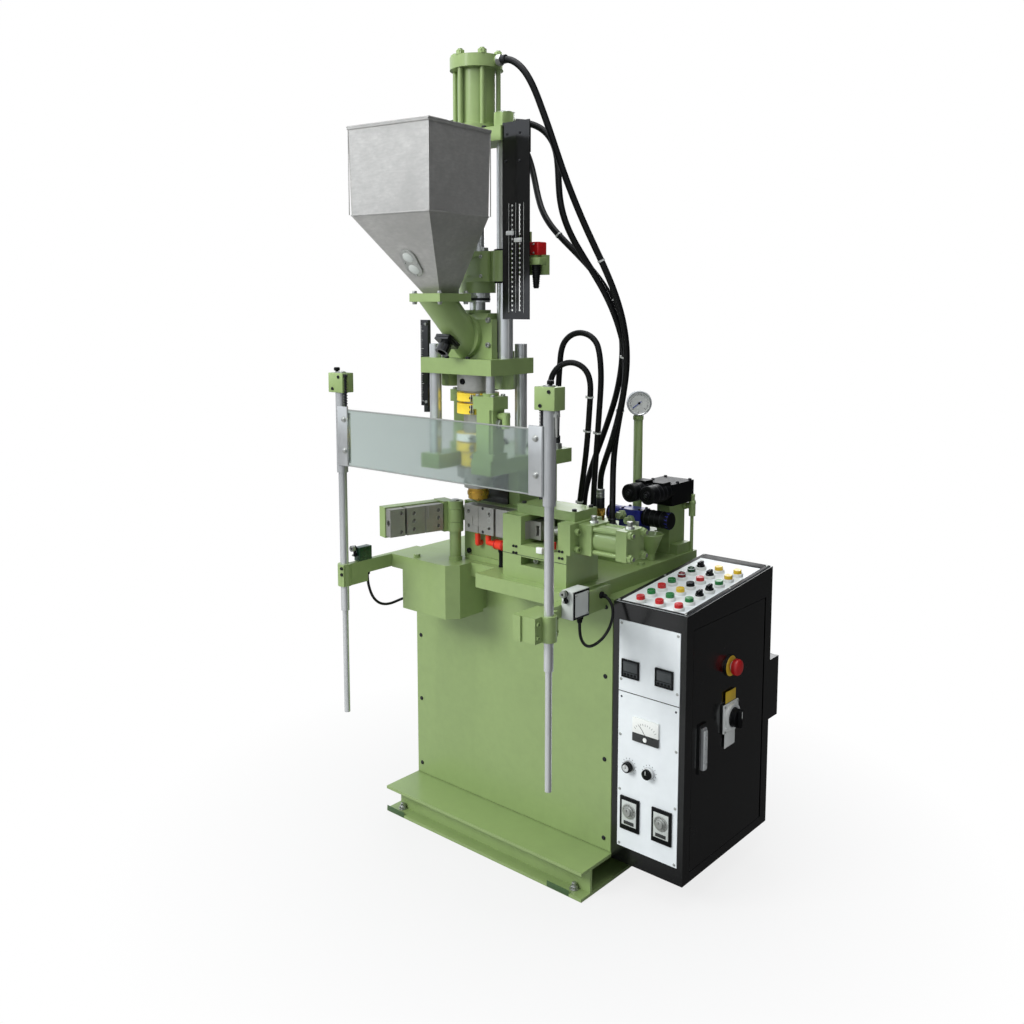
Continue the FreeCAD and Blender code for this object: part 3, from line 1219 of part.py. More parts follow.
def fixed_mould_half():
    """Steel mould half with an insert, a sprue at its top, and the keeper block beside it."""
    left = MOULD_LEFT
    right = left + MOULD_WIDTH
    core_front = INSERT_THICK + MOULD_GROOVE
    bolster = block(left, right, core_front, MOULD_BLOCK_FRONT, MOULD_Z, MOULD_TOP)
    core = block(left + MOULD_CORE_SIDE, right - MOULD_CORE_SIDE, INSERT_THICK, core_front,
                 MOULD_Z + MOULD_CORE_FOOT, MOULD_TOP)
    insert = block(left, right, 0, INSERT_THICK, MOULD_Z, MOULD_TOP)
    places = [(side, MOULD_Z + rise) for side in (left + FIXED_HOLE_INSET, right - FIXED_HOLE_INSET)
              for rise in FIXED_HOLE_RISES]
    holes = mould_holes(places, 0, MOULD_HOLE_DEPTH)
    channel = block(-CHANNEL_WIDTH / 2, CHANNEL_WIDTH / 2, 0, CHANNEL_DEPTH, MOULD_Z, MOULD_Z + CHANNEL_HEIGHT)
    sprue = post(SPRUE_RADIUS, 0, 0, MOULD_Z + SPRUE_START, MOULD_TOP)
    cavity = block(-CAVITY_HALF, CAVITY_HALF, 0, CAVITY_DEPTH, MOULD_Z + CAVITY_BOTTOM, MOULD_Z + CAVITY_TOP)
    half = cut(joined(bolster, core, insert), channel, sprue, cavity, *holes)
    keeper = block(KEEPER_LEFT, KEEPER_LEFT + KEEPER_WIDTH, KEEPER_FRONT, MOULD_BLOCK_FRONT, MOULD_Z, MOULD_TOP)
    node("fixed_mould_half", half, keeper)


def mould_arm():
    """Swinging arm, drawn closed and turned open: two knuckles and the backing plate."""
    low, second, third, top = hinge_levels()
    knuckles = [post(HINGE_RADIUS, HINGE_X, HINGE_Y, low, second),
                post(HINGE_RADIUS, HINGE_X, HINGE_Y, third, top)]
    back = -MOULD_PLATE - ARM_THICK
    plate = block(HINGE_X + ARM_START, HINGE_X + ARM_LENGTH, back, -MOULD_PLATE, HINGE_Z, HINGE_Z + ARM_HEIGHT)
    root = block(HINGE_X, HINGE_X + MOVING_START - ARM_ROOT_GAP, back, -ARM_ROOT_FRONT, HINGE_Z, top)
    clear_knuckle = post(HINGE_RADIUS + FACE_GAP, HINGE_X, HINGE_Y, second, third)
    pin_hole = post(HINGE_PIN_RADIUS + SLIDE_FIT, HINGE_X, HINGE_Y, low, top)
    node("mould_arm", swing(cut(joined(plate, root, *knuckles), clear_knuckle, pin_hole)))


def moving_mould_half():
    """Steel mould half on the arm, and the lock block that the clamp's nose enters."""
    start = HINGE_X + MOVING_START
    end = start + MOVING_WIDTH
    half = block(start, end, -MOULD_PLATE, -MOULD_GAP, MOULD_Z, MOULD_TOP)
    places = [(side, MOULD_Z + rise) for side in (start + MOVING_HOLE_INSET, end - MOVING_HOLE_FAR_INSET)
              for rise in MOVING_HOLE_RISES]
    holes = mould_holes(places, -MOULD_HOLE_DEPTH, MOULD_HOLE_DEPTH)
    middle = (start + end) / 2
    seam = block(middle - SEAM_WIDTH / 2, middle + SEAM_WIDTH / 2, -SEAM_DEPTH, 0, MOULD_Z, MOULD_TOP)
    sprue = post(SPRUE_RADIUS, 0, 0, MOULD_Z + SPRUE_START, MOULD_TOP)
    moving = swing(cut(half, seam, sprue, *holes))
    lock_left = HINGE_X + LOCK_START
    lock_right = lock_left + LOCK_WIDTH
    lock = block(lock_left, lock_right, -MOULD_PLATE, -MOULD_GAP, MOULD_Z, MOULD_TOP)
    nose_hole = rod(NOSE_RADIUS + LOCK_HOLE_FIT, V(lock_left + LOCK_HOLE_START, NOSE_Y, LOCK_Z),
                    V(lock_right, NOSE_Y, LOCK_Z))
    places = [(lock_left + LOCK_SCREW_INSET, MOULD_Z + rise) for rise in LOCK_SCREW_RISES]
    screws = mould_holes(places, -MOULD_HOLE_DEPTH, MOULD_HOLE_DEPTH)
    node("moving_mould_half", moving, swing(cut(lock, nose_hole, *screws)))


# ---------------------------------------------------------------- clamp
def clamp_frame():
    """Foot and frame of the clamp, with the front window, the low slot, the lid and the flange."""
    foot = block(CLAMP_LEFT, CLAMP_RIGHT, CLAMP_FRONT, CLAMP_BACK, TABLE_TOP, TABLE_TOP + CLAMP_FOOT)
    frame = block(CLAMP_LEFT, CLAMP_RIGHT, CLAMP_FRONT, CLAMP_BACK, TABLE_TOP + CLAMP_FOOT, CLAMP_TOP)
    window_left = CLAMP_LEFT + WINDOW_LEFT
    window_right = window_left + WINDOW_WIDTH
    window = block(window_left, window_right, CLAMP_FRONT, CLAMP_FRONT + WINDOW_DEPTH, TABLE_TOP + WINDOW_SILL,
                   CLAMP_TOP)
    slot_z = TABLE_TOP + CLAMP_FOOT + LOW_SLOT_SILL
    slot = block(window_left, window_left + LOW_SLOT_WIDTH, CLAMP_FRONT, CLAMP_FRONT + LOW_SLOT_DEPTH,
                 slot_z, slot_z + LOW_SLOT_HEIGHT)
    gap = FACE_GAP
    channel = block(PUSHER_RIGHT - PUSHER_LENGTH - LOCK_TRAVEL - PUSHER_CLEAR, window_left,
                    NOSE_Y - NOSE_RADIUS - PUSHER_CLEAR - gap, PUSHER_FRONT + PUSHER_DEPTH + gap,
                    LOCK_Z - PUSHER_HALF - gap, LOCK_Z + PUSHER_HALF + gap)
    nose_hole = rod(NOSE_RADIUS + gap, V(CLAMP_LEFT, NOSE_Y, LOCK_Z), V(window_left, NOSE_Y, LOCK_Z))
    rod_hole = rod(LOCK_ROD_RADIUS + SLIDE_FIT, V(window_right, RAM_Y, LOCK_Z), V(CLAMP_RIGHT, RAM_Y, LOCK_Z))
    lid = block(CLAMP_LEFT + CLAMP_LID_LEFT, CLAMP_RIGHT, CLAMP_LID_FRONT, CLAMP_BACK - CLAMP_LID_BACK,
                CLAMP_TOP, CLAMP_TOP + CLAMP_LID)
    node("clamp_frame", joined(foot, cut(frame, window, slot, channel, nose_hole, rod_hole), lid))


def clamp_cylinder():
    """Square-capped tie-rod cylinder on its flange plate, lying along X."""
    x0 = CLAMP_RIGHT
    x1 = x0 + FLANGE_THICK
    x2 = x1 + FRONT_CAP
    x3 = x2 + LOCK_BARREL
    x4 = x3 + REAR_CAP
    half = CAP_SIZE / 2
    flange = block(x0, x1, CLAMP_FRONT, CLAMP_BACK, TABLE_TOP + FLANGE_BOTTOM, CLAMP_TOP)
    front = block(x1, x2, RAM_Y - half, RAM_Y + half, LOCK_Z - half, LOCK_Z + half)
    rear = block(x3, x4, RAM_Y - half, RAM_Y + half, LOCK_Z - half, LOCK_Z + half)
    tube = rod(LOCK_BARREL_RADIUS, V(x2, RAM_Y, LOCK_Z), V(x3, RAM_Y, LOCK_Z))
    details = []
    for sy in (-1, 1):
        for sz in (-1, 1):
            y = RAM_Y + sy * TIE_OFFSET
            z = LOCK_Z + sz * TIE_OFFSET
            details.append(rod(TIE_RADIUS, V(x2, y, z), V(x4 + TIE_END, y, z)))
            details.append(hexagon(TIE_NUT, V(x4, y, z), X_AXIS, TIE_NUT_HEIGHT))
    for y in (CLAMP_FRONT + FLANGE_BOLT_INSETS[0], CLAMP_BACK - FLANGE_BOLT_INSETS[1]):
        for z in (TABLE_TOP + FLANGE_BOTTOM + FLANGE_BOLT_DROPS[0], CLAMP_TOP - FLANGE_BOLT_DROPS[1]):
            details.append(socket_bolt(V(x1, y, z), X_AXIS, FLANGE_BOLT_RADIUS, FLANGE_BOLT_HEIGHT))
    chamber = rod(LOCK_BARREL_BORE, V(x2, RAM_Y, LOCK_Z), V(x3, RAM_Y, LOCK_Z))
    gland = rod(LOCK_ROD_RADIUS + SLIDE_FIT, V(x0, RAM_Y, LOCK_Z), V(x2, RAM_Y, LOCK_Z))
    body = joined(flange, front, rear, tube, *details)
    node("clamp_cylinder", cut(body, chamber, gland))


def lock_ram():
    """Pusher block with its locking nose, piston rod and piston, sliding along X."""
    left = PUSHER_RIGHT - PUSHER_LENGTH
    low = LOCK_Z - PUSHER_HALF
    top = LOCK_Z + PUSHER_HALF
    push = block(left, PUSHER_RIGHT, PUSHER_FRONT, PUSHER_FRONT + PUSHER_DEPTH, low, top)
    side = block(left, CLAMP_LEFT + WINDOW_LEFT - FACE_GAP, NOSE_Y - NOSE_RADIUS - PUSHER_CLEAR, PUSHER_FRONT,
                 low, top)
    nose = rod(NOSE_RADIUS, V(left - NOSE_LENGTH, NOSE_Y, LOCK_Z), V(left, NOSE_Y, LOCK_Z))
    slot_right = PUSHER_RIGHT - PUSHER_SLOT_INSET
    slot = block(slot_right - PUSHER_SLOT_WIDTH, slot_right, PUSHER_FRONT, PUSHER_FRONT + PUSHER_SLOT_DEPTH,
                 LOCK_Z - PUSHER_SLOT_HALF, LOCK_Z + PUSHER_SLOT_HALF)
    piston_x = CLAMP_RIGHT + FLANGE_THICK + FRONT_CAP + LOCK_TRAVEL + PISTON_REST
    bar = rod(LOCK_ROD_RADIUS, V(PUSHER_RIGHT, RAM_Y, LOCK_Z), V(piston_x, RAM_Y, LOCK_Z))
    piston = rod(LOCK_BARREL_BORE - PISTON_FIT, V(piston_x, RAM_Y, LOCK_Z),
                 V(piston_x + PISTON_THICK, RAM_Y, LOCK_Z))
    node("lock_ram", cut(joined(push, side, nose, bar, piston), slot))


# ---------------------------------------------------------------- guard
def guard():
    """Window on two long rods that slide in the clamps, with sleeves and end blocks."""
    sleeve_low = TABLE_TOP + SLEEVE_BOTTOM
    sleeve_top = sleeve_low + SLEEVE_LENGTH
    thick_low = TABLE_TOP - GUARD_ROD_DROP
    window_low = TABLE_TOP + GUARD_WINDOW_BOTTOM
    window_top = window_low + GUARD_WINDOW_HEIGHT
    pane_back = GUARD_Y - GUARD_PANE_SETBACK
    pane_front = pane_back - WINDOW_THICK
    half = GUARD_HEAD_WIDTH / 2
    deep = GUARD_HEAD_HALF_DEPTH
    solids = []
    for x, inward in ((GUARD_LEFT, 1), (GUARD_RIGHT, -1)):
        sleeve = post(SLEEVE_RADIUS, x, GUARD_Y, sleeve_low, sleeve_top)
        thick = post(GUARD_ROD_RADIUS, x, GUARD_Y, thick_low, sleeve_low)
        thin = post(GUARD_THIN_RADIUS, x, GUARD_Y, thick_low - GUARD_THIN_LENGTH, thick_low)
        centre = x - GUARD_HEAD_OUT * inward
        head = block(centre - half, centre + half, GUARD_Y - deep, GUARD_Y + deep, sleeve_top,
                     sleeve_top + GUARD_HEAD_HEIGHT)
        strip_end = x + inward * (STRIP_START + STRIP_WIDTH)
        near, far = sorted((x + inward * GUARD_LUG_START, strip_end))
        lug = block(near, far, pane_back, GUARD_Y - GUARD_LUG_BACK, window_low + GUARD_LUG_INSET,
                    window_top - GUARD_LUG_INSET)
        near, far = sorted((x + inward * STRIP_START, strip_end))
        strip = block(near, far, pane_front - STRIP_THICK, pane_front, window_low - STRIP_BELOW,
                      window_top + STRIP_ABOVE)
        solids += [joined(sleeve, thick, thin, head, lug), strip]
    node("guard_slides", *solids)
    inset = STRIP_START + PANE_INSET
    node("guard_window", block(GUARD_LEFT + inset, GUARD_RIGHT - inset, pane_front, pane_back, window_low, window_top))


def guard_arms():
    """Fixed brackets on both sides of the table that clamp round the guard's rods."""
    arm_low = TABLE_TOP - GUARD_ARM_HEIGHT
    clamp_low = TABLE_TOP - GUARD_CLAMP_HEIGHT
    outer = TABLE_LEFT - GUARD_ARM_THICK
    front = GUARD_Y - GUARD_PAD_HALF
    plate = block(outer, TABLE_LEFT, front, TABLE_FRONT + LEFT_ARM_BACK, arm_low, TABLE_TOP)
    cheek = block(outer, TABLE_LEFT, front, GUARD_Y + GUARD_CHEEK_BACK, clamp_low, TABLE_TOP)
    hub = post(GUARD_CLAMP_RADIUS, GUARD_LEFT, GUARD_Y, clamp_low, TABLE_TOP)
    pad = block(GUARD_LEFT, TABLE_LEFT, front, GUARD_Y + GUARD_PAD_HALF, clamp_low, TABLE_TOP)
    hole_left = post(GUARD_ROD_RADIUS + SLIDE_FIT, GUARD_LEFT, GUARD_Y, clamp_low, TABLE_TOP)
    left = cut(joined(plate, cheek, hub, pad), hole_left)

    low_top = TABLE_TOP - RIGHT_ARM_DROP
    clamp_front = GUARD_Y - RIGHT_CLAMP_HALF
    clamp_right = GUARD_RIGHT - RIGHT_CLAMP_INSET
    mount_right = TABLE_RIGHT + RIGHT_MOUNT_THICK
    mount = block(TABLE_RIGHT, mount_right, TABLE_FRONT, TABLE_FRONT + RIGHT_MOUNT_LENGTH, TABLE_UNDER, low_top)
    skirt = block(TABLE_RIGHT, mount_right, TABLE_FRONT, PANEL_FRONT, TABLE_TOP - RIGHT_MOUNT_DROP, TABLE_UNDER)
    beam = block(TABLE_RIGHT, TABLE_RIGHT + RIGHT_BEAM_WIDTH, clamp_front, TABLE_FRONT + RIGHT_BEAM_WIDTH,
                 arm_low, low_top)
    clamp = block(TABLE_RIGHT, clamp_right, clamp_front, GUARD_Y + RIGHT_CLAMP_HALF, clamp_low, TABLE_TOP)
    hub = post(GUARD_CLAMP_RADIUS, GUARD_RIGHT, GUARD_Y, clamp_low, TABLE_TOP)
    step = block(TABLE_RIGHT, TABLE_RIGHT + RIGHT_STEP_WIDTH, clamp_front - RIGHT_STEP_DEPTH, clamp_front,
                 clamp_low, TABLE_TOP)
    screws = [socket_bolt(V(clamp_right, GUARD_Y + dy, z), X_AXIS, CLAMP_SCREW_RADIUS, CLAMP_SCREW_HEIGHT)
              for dy in (-CLAMP_SCREW_Y, CLAMP_SCREW_Y)
              for z in (clamp_low + CLAMP_SCREW_RISE, TABLE_TOP - CLAMP_SCREW_DROP)]
    hole_right = post(GUARD_ROD_RADIUS + SLIDE_FIT, GUARD_RIGHT, GUARD_Y, clamp_low, TABLE_TOP)
    node("guard_arms", left, cut(joined(mount, skirt, beam, clamp, hub, step, *screws), hole_right))


def switch_places():
    """Left and front sides of the two limit switches: (x, y) of each."""
    left = (TABLE_LEFT - LEFT_SWITCH[0], GUARD_Y + SWITCH_BACK)
    right = (TABLE_RIGHT + RIGHT_BEAM_WIDTH, GUARD_Y + SWITCH_BACK + RIGHT_SWITCH_BACK)
    return left, right


def limit_switches():
    """Two switches behind the guard's rods, each with a roller lever on a shaft along Y."""
    (left_x, left_y), (right_x, right_y) = switch_places()
    width, depth, height = LEFT_SWITCH
    left = block(left_x, left_x + width, left_y, left_y + depth, TABLE_TOP, TABLE_TOP + height)
    left_middle = left_x + width / 2
    width, depth, height = RIGHT_SWITCH
    low = TABLE_TOP - RIGHT_SWITCH_DROP
    right = block(right_x, right_x + width, right_y, right_y + depth, low, low + height)
    right_middle = right_x + width / 2
    boot = Part.makeCone(SWITCH_BOOT_RADIUS, SWITCH_BOOT_TIP, SWITCH_BOOT_LENGTH,
                         V(right_middle, right_y + SWITCH_BOOT_Y, low), -Z_AXIS)
    node("limit_switches", left, joined(right, boot))
    for name, x, y, rise in (("left_switch_lever", left_middle, left_y, LEVER_RISES[0]),
                             ("right_switch_lever", right_middle, right_y, LEVER_RISES[1])):
        z = TABLE_TOP + rise
        front = y - LEVER_REACH
        shaft = rod(LEVER_SHAFT_RADIUS, V(x, front, z), V(x, y - FACE_GAP, z))
        lever = block(x - LEVER_HALF, x + LEVER_HALF, front, front + LEVER_THICK, z - LEVER_HEEL, z + LEVER_RISE)
        roller_back = front + LEVER_THICK
        roller = rod(ROLLER_RADIUS, V(x, roller_back - ROLLER_WIDTH, z + ROLLER_RISE),
                     V(x, roller_back, z + ROLLER_RISE))
        node(name, joined(shaft, lever, roller))


# ---------------------------------------------------------------- oil gear
def oil_manifold():
    """Sub-plate with hose sockets, and the tower for the valves with its drain pipe."""
    low = TABLE_TOP
    plate_right = SUBPLATE_LEFT + SUBPLATE_WIDTH
    plate_back = SUBPLATE_FRONT + SUBPLATE_DEPTH
    plate = block(SUBPLATE_LEFT, plate_right, SUBPLATE_FRONT, plate_back, low, SUBPLATE_TOP)
    tower_right = TOWER_LEFT + TOWER_WIDTH
    tower_back = TOWER_FRONT + TOWER_DEPTH
    tower_top = low + TOWER_HEIGHT
    bridge = block(plate_right - TOWER_BRIDGE, TOWER_LEFT + TOWER_BRIDGE, TOWER_FRONT, plate_back, low, SUBPLATE_TOP)
    tower = block(TOWER_LEFT, tower_right, TOWER_FRONT, tower_back, low, tower_top)
    toe = block(tower_right, tower_right + TOE_LENGTH, TOWER_FRONT + TOE_INSETS[0], tower_back - TOE_INSETS[1],
                low, low + TOE_HEIGHT)
    sockets = [post(HOSE_RADIUS + SOCKET_WALL, x, y, SUBPLATE_TOP, SUBPLATE_TOP + SOCKET_HEIGHT)
               for x, y in HOSE_ENDS.values()]
    x, y = HOSE_ENDS["pressure"]
    sockets.append(post(HOSE_RADIUS + BRASS_WALL, x, y, SUBPLATE_TOP, SUBPLATE_TOP + BRASS_HEIGHT))
    pipe_x = tower_right + TEE_X
    pipe_y = tower_back - TEE_Y
    tee_z = tower_top - TEE_DROP
    tee = rod(TEE_RADIUS, V(tower_right, pipe_y, tee_z), V(pipe_x, pipe_y, tee_z))
    elbow_low = tower_top - ELBOW_DROPS[0]
    elbow = post(ELBOW_RADIUS, pipe_x, pipe_y, elbow_low, tower_top - ELBOW_DROPS[1])
    drain = post(DRAIN_PIPE_RADIUS, pipe_x, pipe_y, low, elbow_low)
    node("oil_manifold", joined(plate, bridge, tower, toe, tee, elbow, drain, *sockets))


def valves():
    """Two solenoid valves on the tower, and the lever-less directional valve on the sub-plate."""
    coil_z = TABLE_TOP + COIL_Z
    body_front = TOWER_FRONT - COIL_BODY_FRONT
    body = block(COIL_X[0] - COIL_BODY_SIDES[0], COIL_X[1] + COIL_BODY_SIDES[1], body_front,
                 TOWER_FRONT + TOWER_DEPTH, TABLE_TOP + TOWER_HEIGHT, coil_z + COIL_BODY_RISE)
    coils = [rod(COIL_RADIUS, V(x, COIL_FRONT, coil_z), V(x, TOWER_FRONT - COIL_BACK, coil_z)) for x in COIL_X]
    plugs = [block(x - COIL_PLUG_HALF, x + COIL_PLUG_HALF, COIL_FRONT + COIL_PLUG_START,
                   TOWER_FRONT - COIL_PLUG_END, coil_z, coil_z + COIL_PLUG_HEIGHT) for x in COIL_X]
    node("solenoid_valves", joined(body, *(coils + plugs)))

    axis_z = SUBPLATE_TOP + VALVE_RISE
    body_left = VALVE_LEFT + VALVE_BODY_START
    body_right = VALVE_LEFT + VALVE_BODY_END
    nut_left = VALVE_RIGHT - VALVE_NUT_WIDTH
    middle = block(body_left, body_right, VALVE_Y - VALVE_BODY_HALF, VALVE_Y + VALVE_BODY_HALF, SUBPLATE_TOP,
                   axis_z + VALVE_BODY_RISE)
    left = rod(VALVE_LEFT_RADIUS, V(VALVE_LEFT, VALVE_Y, axis_z), V(body_left, VALVE_Y, axis_z))
    right = rod(VALVE_RIGHT_RADIUS, V(body_right, VALVE_Y, axis_z), V(nut_left, VALVE_Y, axis_z))
    nut = rod(VALVE_NUT_RADIUS, V(nut_left, VALVE_Y, axis_z), V(VALVE_RIGHT, VALVE_Y, axis_z))
    node("directional_valve", joined(middle, left, right, nut))


def gauge_and_funnel():
    """Pressure gauge on its tall pipe, and the drip funnel beside the valve."""
    gauge_top = SUBPLATE_TOP + GAUGE_PIPE_LENGTH
    centre = V(GAUGE_X, GAUGE_Y, gauge_top + GAUGE_RISE)
    pipe = post(GAUGE_PIPE_RADIUS, GAUGE_X, GAUGE_Y, SUBPLATE_TOP, gauge_top)
    neck = post(GAUGE_NECK_RADIUS, GAUGE_X, GAUGE_Y, gauge_top, gauge_top + GAUGE_NECK_HEIGHT)
    case = rod(GAUGE_RADIUS, centre - V(0, GAUGE_DEPTH, 0), centre + V(0, GAUGE_BACK, 0))
    node("pressure_gauge", joined(pipe, neck, case))

    cone_low = TABLE_TOP + FUNNEL_STEM_HEIGHT
    cone_height = FUNNEL_HEIGHT - FUNNEL_STEM_HEIGHT
    funnel = Part.makeCone(FUNNEL_STEM_RADIUS, FUNNEL_TOP_RADIUS, cone_height, V(FUNNEL_X, FUNNEL_Y, cone_low))
    stem = post(FUNNEL_STEM_RADIUS, FUNNEL_X, FUNNEL_Y, TABLE_TOP, cone_low)
    inside = Part.makeCone(FUNNEL_STEM_RADIUS - FUNNEL_WALL, FUNNEL_TOP_RADIUS - FUNNEL_WALL, cone_height,
                           V(FUNNEL_X, FUNNEL_Y, cone_low + FUNNEL_WALL))
    node("oil_funnel", cut(joined(funnel, stem), inside))


# ---------------------------------------------------------------- control cabinet
def cabinet_outline(inset):
    """The cabinet's side view, drawn in by inset."""
    front = CABINET_FRONT + inset
    back = CABINET_BACK - inset
    slope = CABINET_RISE / CABINET_DEPTH
    return [(front, CABINET_BOTTOM + inset), (back, CABINET_BOTTOM + inset),
            (back, CABINET_TOP + slope * (CABINET_DEPTH - inset) - inset),
            (front, CABINET_TOP + slope * inset - inset)]


def door_axis():
    """The door turns on two pins inside its rounded rear edge."""
    return V(CABINET_RIGHT - DOOR_THICK / 2, DOOR_BACK - DOOR_GAP - DOOR_THICK / 2, 0)


def cabinet_shell():
    """Sheet cabinet with a sloping top, a door frame on the right, hinge pins and a rear box."""
    sheet = CABINET_SHEET
    outer = side_prism(cabinet_outline(0), BASE_RIGHT, CABINET_RIGHT)
    inner = side_prism(cabinet_outline(sheet), BASE_RIGHT + sheet, CABINET_RIGHT - sheet)
    depth = DOOR_THICK + DOOR_GAP
    ring = block(CABINET_RIGHT - depth - sheet, CABINET_RIGHT, DOOR_FRONT - sheet, DOOR_BACK + sheet,
                 DOOR_BOTTOM - sheet, DOOR_TOP + sheet)
    recess = block(CABINET_RIGHT - depth, CABINET_RIGHT, DOOR_FRONT, DOOR_BACK, DOOR_BOTTOM, DOOR_TOP)
    opening = block(CABINET_RIGHT - 2 * depth, CABINET_RIGHT, DOOR_FRONT + DOOR_RETURN, DOOR_BACK - DOOR_RETURN,
                    DOOR_BOTTOM + DOOR_RETURN, DOOR_TOP - DOOR_RETURN)
    axis = door_axis()
    pins = [post(DOOR_PIN_RADIUS, axis.x, axis.y, DOOR_BOTTOM - sheet, DOOR_BOTTOM + DOOR_GAP + DOOR_PIN_LENGTH),
            post(DOOR_PIN_RADIUS, axis.x, axis.y, DOOR_TOP - DOOR_GAP - DOOR_PIN_LENGTH, DOOR_TOP + sheet)]
    rear_right = CABINET_RIGHT - REAR_BOX_INSET
    rear = block(rear_right - REAR_BOX_WIDTH, rear_right, CABINET_BACK, CABINET_BACK + REAR_BOX_DEPTH,
                 CABINET_BOTTOM + REAR_BOX_RISE, CABINET_BOTTOM + REAR_BOX_RISE + REAR_BOX_HEIGHT)
    window = block(FACE_LEFT + FACE_RIM, FACE_LEFT + FACE_WIDTH - FACE_RIM, CABINET_FRONT, CABINET_FRONT + sheet,
                   FACE_BOTTOM + FACE_RIM, FACE_BOTTOM + FACE_HEIGHT - FACE_RIM)
    shell = joined(cut(outer, inner), ring)
    node("cabinet_shell", joined(cut(shell, recess, opening, window), rear, *pins))


def gear_plate():
    """Mounting plate on the cabinet's left wall with three rows of switchgear."""
    wall = BASE_RIGHT + CABINET_SHEET
    face = wall + GEAR_PLATE_THICK
    plate = block(wall, face, DOOR_FRONT + GEAR_PLATE_INSET, DOOR_BACK - GEAR_PLATE_INSET,
                  DOOR_BOTTOM + GEAR_PLATE_MARGIN, DOOR_TOP - GEAR_PLATE_MARGIN)
    gear = []
    for row, rise in enumerate(GEAR_ROWS):
        z = DOOR_BOTTOM + rise
        for i in range(GEAR_COLUMNS):
            y = DOOR_FRONT + GEAR_START + i * GEAR_PITCH
            gear.append(block(face, face + GEAR_DEPTH, y, y + GEAR_WIDTH, z, z + GEAR_HEIGHT - GEAR_STEP * row))
    node("gear_plate", joined(plate, *gear))


def instrument_panel():
    """White face plate with controllers, meter and timers standing proud."""
    front = CABINET_FRONT - FACE_THICK
    node("instrument_panel", block(FACE_LEFT, FACE_LEFT + FACE_WIDTH, front, CABINET_FRONT, FACE_BOTTOM,
                                   FACE_BOTTOM + FACE_HEIGHT))
    left_x = FACE_MIDDLE + LEFT_INSTRUMENT_X
    right_x = FACE_MIDDLE + RIGHT_INSTRUMENT_X
    frames = [(left_x, CONTROLLER_RISE, CONTROLLER_SIZE), (right_x, CONTROLLER_RISE, CONTROLLER_SIZE),
              (FACE_MIDDLE + METER_X, METER_RISE, METER_SIZE),
              (left_x + TIMER_SHIFT, TIMER_RISE, TIMER_SIZE), (right_x, TIMER_RISE, TIMER_SIZE)]
    proud = front - INSTRUMENT_PROUD
    solids = []
    for x, rise, (width, height) in frames:
        z = FACE_BOTTOM + rise
        half = width / 2
        tall = height / 2
        rim = INSTRUMENT_BEZEL
        bezel = block(x - half, x + half, proud, front, z - tall, z + tall)
        glass = block(x - half + rim, x + half - rim, proud, proud + GLASS_SINK, z - tall + rim, z + tall - rim)
        solids.append(bezel.cut(glass))
    node("instruments", *solids)


def panel_knobs():
    """Two turning knobs on the face plate, each with a skirt and a ridge."""
    front = CABINET_FRONT - FACE_THICK
    skirt_front = front - KNOB_SKIRT_THICK
    knob_front = front - KNOB_LENGTH
    for name, x in zip(("left_panel_knob", "right_panel_knob"), KNOB_X):
        knob = rod(KNOB_RADIUS, V(x, skirt_front, KNOB_Z), V(x, knob_front, KNOB_Z))
        skirt = rod(KNOB_RADIUS + KNOB_SKIRT, V(x, front - FACE_GAP, KNOB_Z), V(x, skirt_front, KNOB_Z))
        ridge = block(x - KNOB_RIDGE, x + KNOB_RIDGE, knob_front - KNOB_RIDGE, knob_front, KNOB_Z,
                      KNOB_Z + KNOB_RADIUS - 1)
        node(name, joined(knob, skirt, ridge))


def button_plate():
    """Sloping plate with three rows of push buttons and selectors."""
    length = CABINET_DEPTH / math.cos(math.radians(CABINET_SLOPE))
    flat = block(BASE_RIGHT + BUTTON_MARGIN, CABINET_RIGHT - BUTTON_MARGIN, BUTTON_MARGIN, length - BUTTON_MARGIN,
                 0, BUTTON_PLATE)
    bezel_top = BUTTON_PLATE + BEZEL_HEIGHT
    selector_low = bezel_top + SELECTOR_BASE
    pieces = []
    for row in range(BUTTON_ROWS):
        for column in range(BUTTON_COLUMNS):
            x = BASE_RIGHT + BUTTON_FIRST_X + row * BUTTON_PITCH_X
            y = BUTTON_FIRST_Y + column * BUTTON_PITCH_Y
            pieces.append(post(BUTTON_BEZEL, x, y, BUTTON_PLATE, bezel_top))
            if (row, column) in SELECTORS:
                pieces.append(post(BUTTON_CAP, x, y, bezel_top, selector_low))
                pieces.append(block(x - SELECTOR_HALF, x + SELECTOR_HALF, y - SELECTOR_REACH, y + SELECTOR_REACH,
                                    selector_low, selector_low + SELECTOR_HEIGHT))
            else:
                pieces.append(post(BUTTON_CAP, x, y, bezel_top, bezel_top + CAP_HEIGHT))
    plate = joined(flat, *pieces)
    plate.Placement = FreeCAD.Placement(V(0, CABINET_FRONT, CABINET_TOP), FreeCAD.Rotation(X_AXIS, CABINET_SLOPE))
    node("button_plate", plate)


